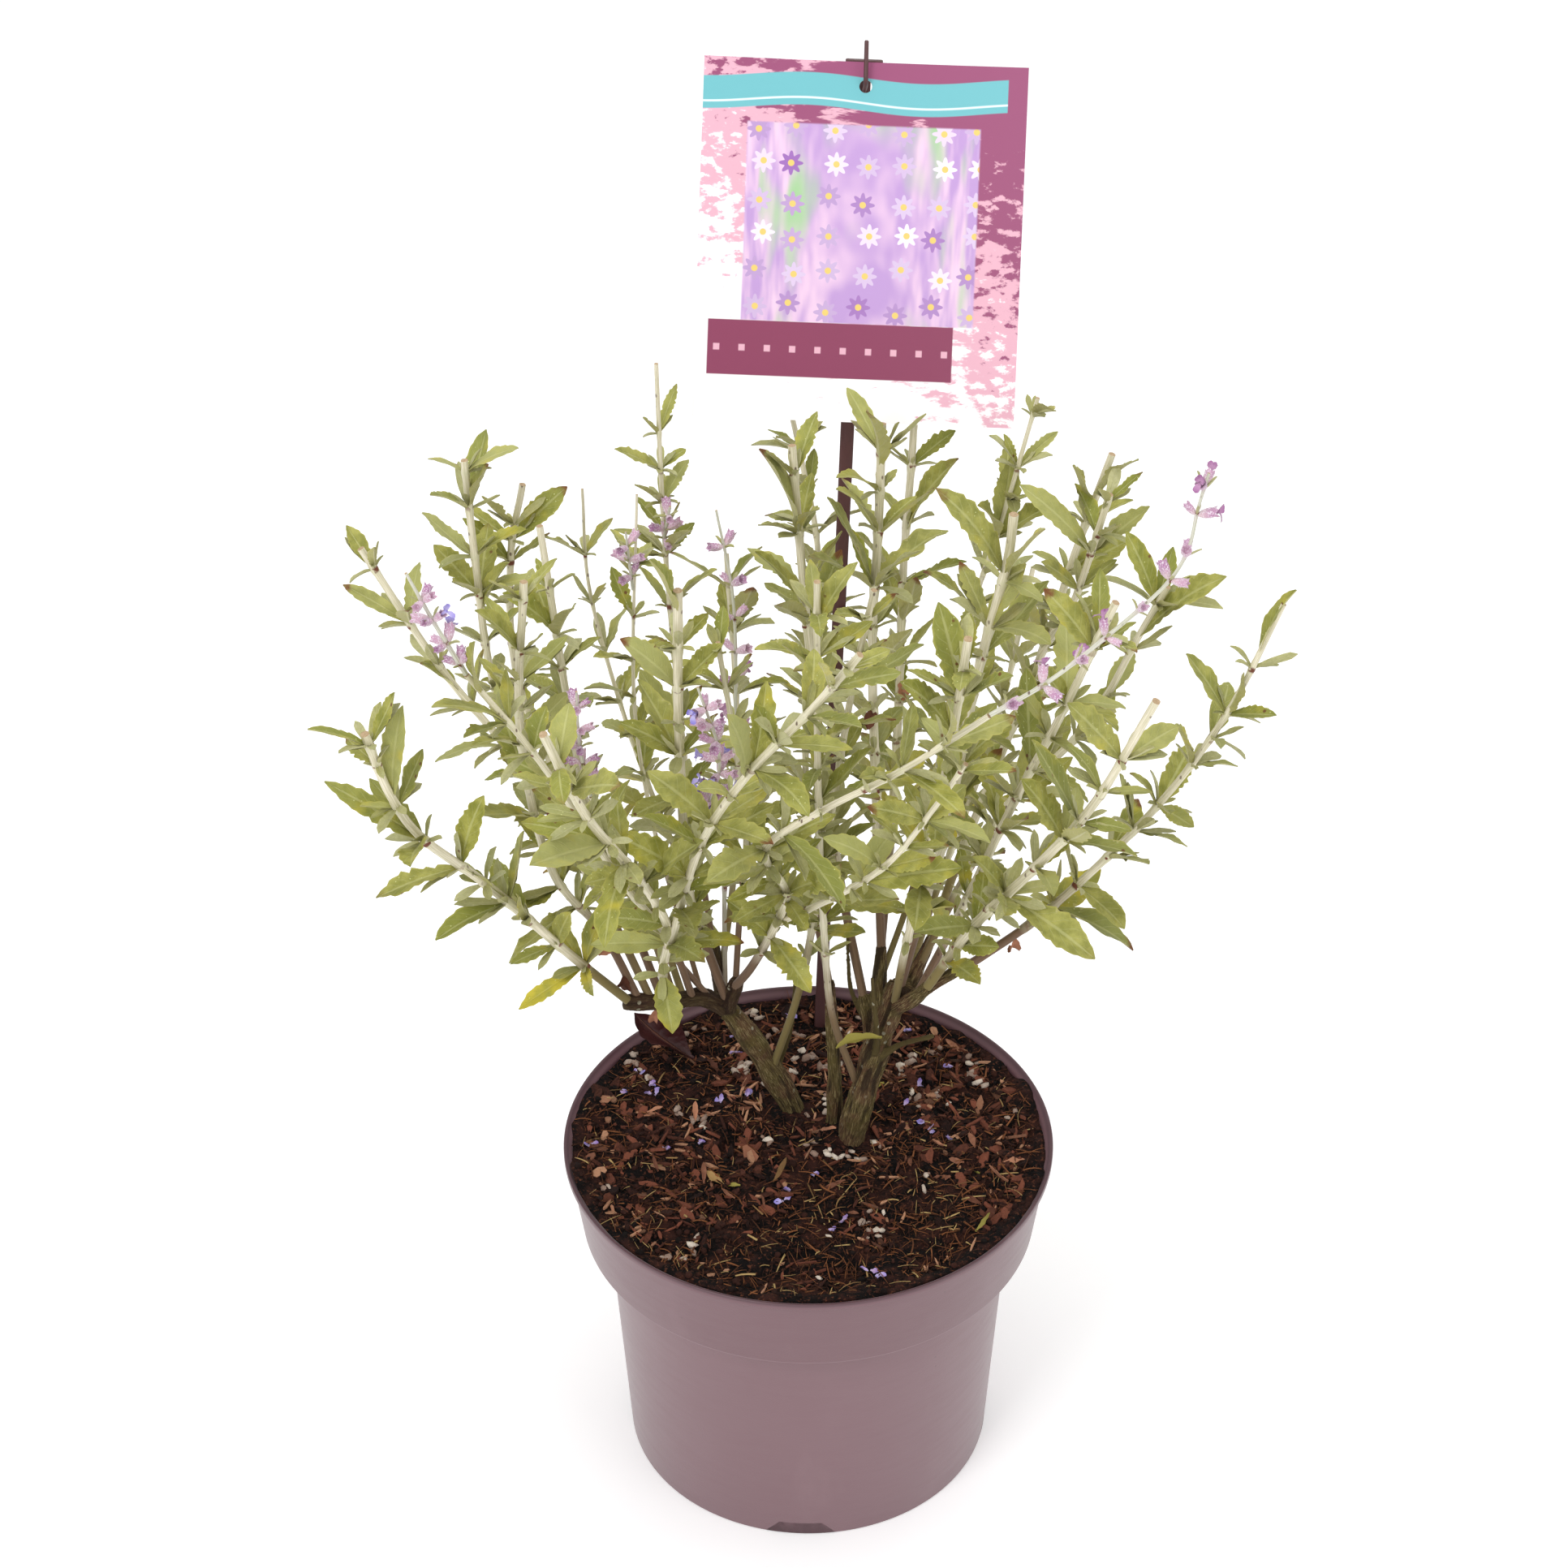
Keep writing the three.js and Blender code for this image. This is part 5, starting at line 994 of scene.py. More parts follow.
def make_spray(index, looks):
    name, points, radii, bare, spacing, count, open_share = SPRAYS[index]
    draw, extra = random_source(501 + index), random_source(801 + index)
    route, turn = Route(points), draw() * math.pi
    calyces, petals, leaves, stalk = Shape(), Shape(), Shape(), Shape()
    distance, whorl, marks = route.length * bare, 0, []
    while distance < route.length - TIP["end"]:
        marks.append(distance)
        for k in range(count):
            face = whorl % 2 + 2 * k if count == 2 else (k + whorl) % 4
            azimuth = turn + face * math.pi / 2 + mix(-WHORL["swing"], WHORL["swing"], draw()) * DEGREE
            floret = leaf_frame(route, distance, azimuth, between(WHORL["lift"], draw()) * DEGREE, 0)
            is_open = draw() < open_share
            add_calyx(calyces, floret, extra)
            if is_open:
                mouth = plus(floret["base"], floret["along"],
                             FLORET["root"] + WHORL["mouth"] * FLORET["length"])
                add_corolla(petals, mouth, floret["along"], floret["up"], extra, name in FADED,
                            WHORL["bloom"])
        add_tuft(leaves, route, distance, whorl + 1, turn, extra, *WHORL["tuft"])
        whorl += 1
        distance += spacing * between(WHORL["uneven"], draw())
    for place in even_stations(route.length * bare, SPACING[1])[1:-1] if bare > WHORL["leafy_from"] else ():
        add_tuft(leaves, route, place, whorl, turn, extra, *WHORL["low_tuft"])
        marks.append(place)
        whorl += 1
    add_stem(stalk, route, radii, marks, turn, extra, WHORL["age"])
    for shape, part, faces, slot in ((stalk, "stalk", ("stalk", "cut"), "flower"),
                                     (calyces, "calyces", ("calyx",), "flower"),
                                     (leaves, "leaves", ("leaf", "leaf_under"), "leaf"),
                                     (petals, "petals", ("petal",), "flower")):
        if shape.count:
            shape.build(f"{part}_{name}", [looks[face] for face in faces], [name], slot)


# Wood
BARK = {"voxel": 0.8, "station": 1.2, "coarse": 1.9, "fine": 1.0, "lump": 7, "twig": 1.6, "dark": (3, 4, 5)}


def limb_samples():
    """Along the limbs: point, side and other way, distance, radius and number of the limb, in rows."""
    samples = []
    for number, (points, radii) in enumerate(WOOD):
        route = Route(points)
        for distance in even_stations(route.length, BARK["station"]):
            if number <= 2 or distance >= WOOD[0][1][0]:
                point, _, side, other = route.at(distance)
                radius = mix(radii[0], radii[1], distance / route.length)
                samples.append((point, side, other, distance, radius, number))
    return [np.array(rows) for rows in zip(*samples)]


def make_wood(looks):
    """The limbs grown together in one skin, with fissured bark raised from its surface."""
    limbs = Shape()
    for points, radii in WOOD:
        route = Route(points)
        limbs.add_tube(route, even_stations(route.length, 2.0), lambda d, angles: mix(
            radii[0], radii[1], d / route.length) * (1 + 0.08 * math.cos(d * 0.23 + 2.6)), 14)
    crown = Route([plus(CROWN["centre"], (0, 0, k * CROWN["height"] / 2)) for k in (-1, 1)])
    limbs.add_tube(crown, even_stations(crown.length, 3), lambda d, angles: CROWN["radius"], 24)
    piece = limbs.build("wood_rough", [], [], "wood", sharp=0)
    skin = piece.modifiers.new("skin", "REMESH")
    skin.mode, skin.voxel_size = "VOXEL", BARK["voxel"] * MM
    soften = piece.modifiers.new("soften", "SMOOTH")
    soften.factor, soften.iterations = 0.5, 3
    mesh = plain_mesh(piece)
    bpy.data.objects.remove(piece)
    bark_relief(mesh)
    mesh.polygons.foreach_set("use_smooth", np.ones(len(mesh.polygons), bool))
    dress(mesh, "wood", [looks["bark"]], ["woody_base"], "wood", sharp=0)


def bark_relief(mesh):
    """Raises the bark. Each point takes its ridges from the limb whose surface is nearest."""
    points, normals = rows_of(mesh.vertices, "co") / MM, rows_of(mesh.vertices, "normal")
    limbs = limb_samples()
    nearest = np.concatenate([np.argmin(np.linalg.norm(part[:, None] - limbs[0], axis=2) - limbs[4], axis=1)
                              for part in np.array_split(points, 16)])
    centre, side, other, distance, radius, number = (rows[nearest] for rows in limbs)
    out = points - centre
    angle = np.arctan2((out * other).sum(1), (out * side).sum(1))
    place = np.stack([np.cos(angle) * radius, np.sin(angle) * radius, distance * 0.13 + 17 * number], -1)
    coarse = 1 - np.abs(2 * noise(place / BARK["coarse"], 3) - 1)
    fine = 1 - np.abs(2 * noise(place / BARK["fine"], 5) - 1)
    ridges = 0.65 * coarse + 0.35 * fine
    lumps = noise(points / BARK["lump"], 9)
    height = np.minimum(1, radius / 5) * (2.1 * (ridges - 0.66) + 1.4 * (lumps - 0.5))
    set_rows(mesh.vertices, "co", (points + normals * height[:, None]) * MM)
    set_vectors(mesh, "tone", np.stack([np.isin(number, BARK["dark"]), ridges, radius < BARK["twig"]], -1))
    set_vectors(mesh, "blade", place)
    mesh.update()


# Pot, soil, stake and card
def rounded(profile, radius):
    """The outline with each corner off the axis turned into a small arc of four points."""
    points = [np.array(p, float) for p in profile]
    out = [points[0]]
    for before, corner, after in zip(points, points[1:], points[2:]):
        back, ahead = before - corner, after - corner
        reach = min(radius, 0.45 * np.linalg.norm(back), 0.45 * np.linalg.norm(ahead))
        start = corner + back / np.linalg.norm(back) * reach
        end = corner + ahead / np.linalg.norm(ahead) * reach
        for t in (0, 1 / 3, 2 / 3, 1):
            out.append((1 - t) ** 2 * start + 2 * t * (1 - t) * corner + t * t * end)
    return out + [points[-1]]


def add_lathe(shape, profile, segments, height_at=lambda points: points):
    """Turns an outline about the upright axis. It starts and ends on the axis, outside first."""
    angles = 2 * math.pi * np.arange(segments) / segments
    rings = [np.stack([r * np.cos(angles), r * np.sin(angles), np.full(segments, z)], -1)
             for r, z in profile[1:-1]]
    ends = np.array([(0, 0, profile[0][1]), (0, 0, profile[-1][1])])
    points = height_at(np.concatenate([*rings, ends]))
    k = np.arange(segments)
    top, first = (len(rings) - 1) * segments, len(rings) * segments
    fans = [np.stack([np.full(segments, first), (k + 1) % segments, k], -1),
            np.stack([np.full(segments, first + 1), top + k, top + (k + 1) % segments], -1)]
    shape.add(points, ring_faces(len(rings), segments, False) + fans)


def pot_profile():
    p = POT
    wall, lip, top, step = p["wall"], p["height"] - p["lip"], p["height"], p["collar_bottom"]
    slope = p["pad_radius"] + p["pad_slope"]
    return [(0, 0), (p["pad_radius"], 0), (slope, p["floor"]), (p["base"] - p["foot_width"] - 1, p["floor"]),
            (p["base"] - p["foot_width"], 0), (p["base"], 0), (p["body_top"], step), (p["collar_foot"], step),
            (p["collar_top"], lip), (p["rim"], lip), (p["rim"], top), (p["rim"] - p["lip_width"], top),
            (p["collar_top"] - wall, lip), (p["collar_foot"] - wall, step + wall),
            (p["body_top"] - wall, step + wall), (p["base"] - wall, p["floor"] + wall),
            (slope - wall, p["floor"] + wall), (p["pad_radius"] - wall, wall), (0, wall)]


def add_notch(shape, turn):
    """The block that cuts a foot notch, slanted at its sides."""
    low, high, top = NOTCH["bottom"] / 2, NOTCH["top"] / 2, NOTCH["height"]
    far = NOTCH["inset"] - POT["base"]
    block = [(x + NOTCH["offset"], y, z) for y in (far - NOTCH["depth"], far)
             for x, z in ((-low, -1), (low, -1), (high, top), (-high, top))]
    cos, sin = math.cos(turn), math.sin(turn)
    walls = [[a, (a + 1) % 4, (a + 1) % 4 + 4, a + 4] for a in range(4)]
    shape.add([(x * cos - y * sin, x * sin + y * cos, z) for x, y, z in block],
              [[*walls, [3, 2, 1, 0], [4, 5, 6, 7]]])


def make_pot(looks):
    shell, cutters = Shape(), Shape()
    add_lathe(shell, rounded(pot_profile(), 1.1), POT["segments"])
    pot = shell.build("pot_shell", [looks["pot"]], ["pot"], "pot", sharp=0)
    for k in range(NOTCH["count"]):
        add_notch(cutters, 2 * math.pi * k / NOTCH["count"])
    for k in range(DRAIN["count"]):
        turn = 2 * math.pi * (k + 0.5) / DRAIN["count"]
        centre = (DRAIN["ring"] * math.cos(turn), DRAIN["ring"] * math.sin(turn), POT["floor"])
        drill = Route([plus(centre, (0, 0, z * POT["wall"])) for z in (-2, 2)])
        cutters.add_tube(drill, [0, drill.length], lambda d, angles: DRAIN["radius"], 24)
    cut_away(pot, cutters.build("cutters", [], [], "pot", sharp=0))
    pot.data.set_sharp_from_angle(angle=30 * DEGREE)


def ground(points):
    """The height of the ground at each x and y, with clods and crumbs, banked up to the rim."""
    x, y = points[:, 0], points[:, 1]
    waves = np.sin(x * 0.11 + 1.3) * np.cos(y * 0.13 - 0.4) + 0.6 * np.sin(x * 0.23 - y * 0.19)
    mound = SOIL["mound"] * np.exp(-((x - 8) ** 2 + (y - 12) ** 2) / 900)
    flat = np.stack([x, y, np.zeros(len(x))], -1)
    clods = 1.1 * rough(flat, 9, 21) + 0.8 * rough(flat, 3.2, 31)
    edge = (np.clip((np.hypot(x, y) - SOIL["banked_from"]) / 16, 0, 1) ** 2 * SOIL["bank"]
            * (1.1 - y / SOIL["bank_slope"]))
    return SOIL["level"] + SOIL["bump"] * waves * 0.8 + mound + clods - 0.5 + edge


def make_ground(looks):
    level, inset = SOIL["level"], POT["wall"] + SOIL["gap"]
    shoulder = POT["collar_bottom"] + POT["wall"]
    edge = mix(POT["collar_foot"], POT["collar_top"], (level - shoulder) / (POT["height"] - shoulder)) - inset
    radii = np.arange(edge - 0.4, SOIL["ring_step"] / 2, -SOIL["ring_step"])
    profile = [(0, POT["floor"] + inset), (POT["base"] - inset, POT["floor"] + inset),
               (POT["body_top"] - inset, shoulder + SOIL["gap"]),
               (POT["collar_foot"] - inset, shoulder + SOIL["gap"]), (edge, level - 2),
               (edge + SOIL["lap"], level), *[(r, level) for r in radii], (0, level)]

    def height_at(points):
        top = points[:, 2] > level - 1
        points[top, 2] = ground(points[top])
        return points

    shape = Shape()
    add_lathe(shape, profile, SOIL["spokes"], height_at)
    shape.build("soil_ground", [looks["soil"]], ["soil"], "soil", sharp=0)


# What lies on the soil: how many, how far out, how patchy, the seed of the patches, and how high
LITTER = {"flakes": (900, 87, 0.56, 1, 0.4), "slivers": (420, 86, 0.56, 6, 0.8),
          "strands": (2800, 89, 0.35, 2, 0.4), "crumbs": (1700, 90.5, 0.0, 0, 0.3),
          "husks": (80, 87, 0.7, 3, 1.2), "flowers": (30, 86, 0.6, 4, 1.4),
          "fragments": (60, 84, 0.62, 5, 1.2)}
# Round places with nothing on them: the trunks and the stake
TAKEN = [(-7, 22, 9), (17, 5, 9), (10, 14, 6), (4.8, 78, 4)]
PATCH = {"size": 24, "back": 0.26, "uneven": 0.25}


def spots(kind, draw):
    """Places on the ground for one kind of litter, gathered in patches."""
    count, radius, patch, seed, lift = LITTER[kind]
    while count:
        r, turn = radius * math.sqrt(draw()), 2 * math.pi * draw()
        x, y = r * math.cos(turn), r * math.sin(turn)
        free = all(math.hypot(x - a, y - b) > c for a, b, c in TAKEN)
        if free and (noise([(x / PATCH["size"], y / PATCH["size"], seed)])[0] + PATCH["back"] * y / radius
                     + PATCH["uneven"] * draw() > patch):
            count -= 1
            yield x, y, float(ground(np.array([[x, y, 0.0]]))[0]) + lift


def tilted(draw, tilt):
    """A random heading in the plane, tipped a little: along, side, up."""
    turn, lean, roll = 2 * math.pi * draw(), tilt * (draw() - 0.4), tilt * (draw() - 0.5)
    along = (math.cos(turn) * math.cos(lean), math.sin(turn) * math.cos(lean), math.sin(lean))
    up = square_to((math.sin(roll) * -math.sin(turn), math.sin(roll) * math.cos(turn), 1), along)
    return along, cross(up, along), up


def add_flake(shape, place, draw, length, width, thick, tilt, tone):
    """A broken flake of bark: an uneven outline, domed and a little bent."""
    along, side, up = tilted(draw, tilt)
    sides = 7
    outline = []
    for k in range(sides):
        angle = 2 * math.pi * (k + 0.6 * (draw() - 0.5)) / sides
        reach = 0.75 + 0.4 * draw()
        outline.append((math.cos(angle) * length / 2 * reach, math.sin(angle) * width / 2 * reach))
    bend = 0.25 * (draw() - 0.3)
    points = []
    for level in (-0.5, 0.5):
        for a, b in outline:
            z = level * thick + bend * a * a / length + 0.25 * thick * (draw() - 0.5)
            points.append(plus(plus(plus(place, along, a), side, b), up, z))
        points.append(plus(place, up, level * thick * (1.5 if level > 0 else 1)))
    k = np.arange(sides)
    nxt, low, high = (k + 1) % sides, sides, 2 * sides + 1
    faces = [[k, nxt, nxt + low + 1, k + low + 1], [np.full(sides, low), nxt, k],
             [np.full(sides, high), k + low + 1, nxt + low + 1]]
    shape.add(points, [np.stack(group, -1) for group in faces], (length, width, draw()), tone)


def add_strand(shape, place, draw, length, radius, tone):
    """A bent fibre or straw that lies on the ground."""
    along, side, up = tilted(draw, 0.8)
    bow, hump = length * 0.3 * (draw() - 0.5) ** 3 * 4, length * 0.12 * draw()
    points = [plus(plus(plus(place, along, length * (t - 0.5)), side, bow * math.sin(3.1 * t)), up,
                   hump * math.sin(3.14 * t) + 0.4) for t in (0, 0.35, 0.7, 1)]
    route = Route(points, 2)
    stations = even_stations(route.length, route.length / 4)
    rings, blades = tube(route, stations, lambda d, a: radius * (1.15 - 0.5 * d / route.length)
                         * (1 + 0.25 * np.cos(2 * a)), 3)
    shape.add(rings, ring_faces(len(stations), 3), blades, tone)


def lump_points():
    """The twelve corners and twenty faces of a ball of triangles."""
    golden = (1 + 5 ** 0.5) / 2
    corners = np.array([np.roll((0, s, t * golden), turn)
                        for turn in (0, 2, 1) for s in (-1, 1) for t in (-1, 1)])
    corners = corners / math.sqrt(1 + golden * golden)
    faces = []
    for i, j, k in itertools.combinations(range(12), 3):
        a, b, c = corners[[i, j, k]]
        if max(np.linalg.norm(a - b), np.linalg.norm(b - c), np.linalg.norm(c - a)) < 1.1:
            out = np.dot(np.cross(b - a, c - a), a + b + c) > 0
            faces.append((i, j, k) if out else (i, k, j))
    return corners, np.array(faces)


LUMP, LUMP_FACES = lump_points()


def add_lump(shape, place, draw, size, uneven, tone):
    axes = tilted(draw, 1.2)
    scale = np.array([1 + uneven * (2 * draw() - 1) for _ in range(12)])[:, None]
    points = LUMP * scale * (np.array(size) / 2) @ np.array(axes) + np.array(place)
    shape.add(points, [LUMP_FACES], (draw(), 0, 0), tone)


def add_scrap(shape, place, draw, length, slim, tone):
    """A curled bit of a petal or a leaf."""
    along, _, up = tilted(draw, 1.0)
    scrap = {"base": place, "along": along, "up": up, "length": length, "width": length * slim,
             "droop": 2.0 * (draw() - 0.5), "twist": 1.6 * (draw() - 0.5)}
    add_blade(shape, scrap, draw, tone, rows=8, teeth=2, fold=0.5 * draw(), thick=0.25)


def make_litter(looks):
    draw = random_source(901)
    flakes, strands, crumbs, husks, flowers, fragments = (Shape() for _ in range(6))
    for place in spots("flakes", draw):
        length = 1.8 + 9 * draw() ** 2.2
        add_flake(flakes, place, draw, length, length * (0.2 + 0.4 * draw()), 0.4 + 0.8 * draw(), 1.3,
                  (draw(), draw(), 0))
    for place in spots("slivers", draw):
        length = 3.5 + 9 * draw() ** 2
        add_flake(flakes, place, draw, length, 0.6 + 0.9 * draw(), 0.5 + 0.4 * draw(), 0.9,
                  (0.2 + 0.8 * draw(), draw() ** 0.35, 0))
    for place in spots("strands", draw):
        add_strand(strands, place, draw, 2.5 + 9 * draw() ** 2, 0.13 + 0.3 * draw() ** 3, (draw(), draw(), 0))
    for place in spots("crumbs", draw):
        size = 1.0 + 2.8 * draw() ** 2
        add_lump(crumbs, place, draw, (size, size * 0.85, size * 0.75), 0.3, (draw(), draw(), 0))
    for place in spots("husks", draw):
        for _ in range(1 + int(2.8 * draw())):
            shift = (6 * (draw() - 0.5), 6 * (draw() - 0.5), 0)
            size = 2.0 + 2.0 * draw()
            add_lump(husks, plus(place, shift), draw, (size * 1.4, size * 0.75, size * 0.65), 0.38,
                     (draw(), draw(), 0))
    for place in spots("flowers", draw):
        for _ in range(2):
            add_scrap(flowers, plus(place, (2 * draw() - 1, 2 * draw() - 1, 0)), draw, 2.2 + 1.8 * draw(),
                      0.5 + 0.3 * draw(), (draw(), 0.5 * draw(), 0))
    for place in spots("fragments", draw):
        add_scrap(fragments, place, draw, 5 + 6 * draw(), 0.2 + 0.2 * draw(), (draw(), draw(), 0))
    add_withered(fragments)
    for shape, name, look, slot, sharp in ((flakes, "bark_flakes", "flake", "soil", 35),
                                           (strands, "coir_strands", "strand", "soil", 0),
                                           (crumbs, "peat_crumbs", "crumb", "soil", 0),
                                           (husks, "fallen_husks", "husk", "flower", 0),
                                           (flowers, "fallen_flowers", "petal", "flower", 50),
                                           (fragments, "leaf_fragments", "fragment", "dry_leaf", 50)):
        shape.build(name, [looks[look]], [], slot, sharp)


# Withered and small leaves that still hang on a limb: where, their heading, length, width, droop and browns
WITHERED = [((-78, 4, 241), (0.3, -0.6, -0.7), 11, 5, 1.4, (0.9, 0.2)),
            ((-70, 4, 221), (0.1, -0.5, -0.8), 9, 6, 1.8, (0.1, 0.3)),
            ((-54, 7, 203), (0.2, -0.7, -0.6), 12, 5, -1.2, (0.5, 0.2)),
            ((-57, 6, 203.5), (-0.5, -0.5, -0.7), 9, 4, 1.6, (0.7, 0.2)),
            ((78, 17, 229), (0.2, -0.4, -0.9), 8, 5, 1.8, (0.8, 0.3)),
            ((36, 108, 284), (0.2, -0.9, 0.3), 9, 5, 1.5, (0.95, 0.2)),
            ((25, 61, 303), (-0.3, -0.9, 0.1), 9, 5, 1.6, (0.3, 0.2)),
            ((28, -4, 197), (-1, -0.25, 0.3), 19, 4.5, 1.1, (0.6, 0.98))]


def add_withered(shape):
    draw = random_source(961)
    for base, heading, length, width, droop, tone in WITHERED:
        along = unit(heading)
        leaf = {"base": base, "along": along, "up": square_to((0.2, -0.3, 1), along), "length": length,
                "width": width, "droop": droop, "twist": 0.8 * (draw() - 0.5)}
        add_blade(shape, leaf, draw, (*tone, 0), rows=16, columns=6, teeth=3, fold=0.4, roll=0.3)


def make_dry_leaf(looks):
    chord = plus(DRY_LEAF["tip"], DRY_LEAF["base"], -1)
    along = unit(chord)
    leaf = {**DRY_LEAF, "along": along, "up": square_to((0, 0, 1), along), "length": size_of(chord)}
    shape = Shape()
    add_blade(shape, leaf, random_source(951), (0, 0, 1), rows=40, columns=12, fold=0.1, roll=1.1, thick=0.35)
    shape.build("curled_dry_leaf", [looks["dead"]], ["dry_leaf"], "dry_leaf")


def rounded_section(half_width, half_depth, corner=0.6, steps=3):
    """A rectangle with round corners, as points in the plane."""
    r = min(corner, half_width, half_depth)
    turns = [(k, (k - 1 + j / steps) * math.pi / 2) for k in range(4) for j in range(steps + 1)]
    signs = [(1, -1), (1, 1), (-1, 1), (-1, -1)]
    return [(signs[k][0] * (half_width - r) + r * math.cos(angle),
             signs[k][1] * (half_depth - r) + r * math.sin(angle)) for k, angle in turns]


def make_stake(looks):
    """The flat bar with a driven point, the cross bar at its top, and the pin that carries the card."""
    point, axis = STAKE["point"], plus(STAKE["top"], STAKE["point"], -1)
    length, up = size_of(axis), unit(axis)
    right = square_to((1, 0, 0), up)
    back = cross(up, right)
    shape = Shape()

    def bar(levels):
        points = [plus(plus(plus(point, up, d), right, x), back, y)
                  for d, w, h in levels for x, y in rounded_section(w, h)]
        shape.add(points, ring_faces(len(levels), len(points) // len(levels)))

    half, deep, steps = STAKE["width"] / 2, STAKE["depth"] / 2, 40
    levels = [(0, STAKE["tip_share"])]
    levels += [(mix(STAKE["tip_length"], length, k / steps), mix(STAKE["neck_share"], 1, k / steps))
               for k in range(steps + 1)]
    bar([(d, half * share, deep * share) for d, share in levels])
    rise, bevel = STAKE["bar_height"] / 2, 0.3
    bar([(length + z, STAKE["bar_width"] / 2 - s, deep - s)
         for z, s in ((-rise, bevel), (bevel - rise, 0), (rise - bevel, 0), (rise, bevel))])
    pin = Route(PIN, 4)
    inner = [d for d in even_stations(pin.length, 1.0) if 0.6 < d < pin.length - 0.6]
    stations = [0, 0.4, *inner, pin.length - 0.4, pin.length]
    ends = {0: 0.6, pin.length: 0.55}
    shape.add_tube(pin, stations, lambda d, angles: STAKE["pin_radius"] * mix(
        1, 0.85, d / pin.length) * ends.get(d, 1), 12)
    shape.build("stake_and_pin", [looks["stake"]], ["label_stake"], "stake", sharp=35)


def make_card(looks):
    """The thin, slightly bowed card with a round hole, printed on its front."""
    columns, rows = CARD["columns"], CARD["rows"]
    s, t = np.meshgrid(np.arange(columns + 1) / columns - 0.5, np.arange(rows + 1) / rows - 0.5)
    bow = CARD["bow"] * (4 * s * s - 0.5)
    sheets = [np.stack([CARD["width"] * s, CARD["height"] * t, bow + face * CARD["thickness"]], -1)
              for face in (0.5, -0.5)]
    front = np.arange(s.size).reshape(s.shape)
    rim = np.concatenate([front[0, :-1], front[:-1, -1], front[-1, :0:-1], front[:0:-1, 0]])
    ahead = np.roll(rim, -1)
    wall = np.stack([rim, rim + s.size, ahead + s.size, ahead], -1)
    shape, drill = Shape(), Shape()
    shape.add(np.concatenate(sheets).reshape(-1, 3),
              [sheet_faces(front), sheet_faces(front + s.size)[:, ::-1], wall])
    card = shape.build("printed_card", [], ["label_card"], "card", sharp=0)
    hole = CARD["height"] / 2 - CARD["hole_drop"]
    axis = Route([(0, hole, -10), (0, hole, 10)])
    drill.add_tube(axis, [0, axis.length], lambda d, angles: CARD["hole_radius"], 32)
    cut_away(card, drill.build("drill", [], [], "pot", sharp=0))
    hang_card(card.data, looks)


def hang_card(mesh, looks):
    """Marks the place of the print, then puts the card where it hangs."""
    points = rows_of(mesh.vertices, "co")
    set_vectors(mesh, "print", points / MM / np.array([CARD["width"], CARD["width"], 1]))
    is_front = rows_of(mesh.polygons, "normal")[:, 2] > 0.5
    turn = np.array([CARD_RIGHT, CARD_UP, CARD_FRONT])
    set_rows(mesh.vertices, "co", points @ turn + np.array(CARD["centre"]) * MM)
    mesh.materials.clear()
    mesh.materials.append(looks["card"])
    mesh.materials.append(looks["card_back"])
    mesh.polygons.foreach_set("material_index", np.where(is_front, 0, 1).astype(np.int32))
    mesh.polygons.foreach_set("use_smooth", np.ones(len(mesh.polygons), bool))
    mesh.set_sharp_from_angle(angle=40 * DEGREE)
    mesh.update()


# Materials
class Value:
    """A node's output. Sums, differences and products of it are Math nodes."""

    def __init__(self, look, socket):
        self.look, self.socket = look, socket

    def __add__(self, other):
        return self.look.math("ADD", self, other)

    def __sub__(self, other):
        return self.look.math("SUBTRACT", self, other)

    def __mul__(self, other):
        return self.look.math("MULTIPLY", self, other)

    def __abs__(self):
        return self.look.math("ABSOLUTE", self)


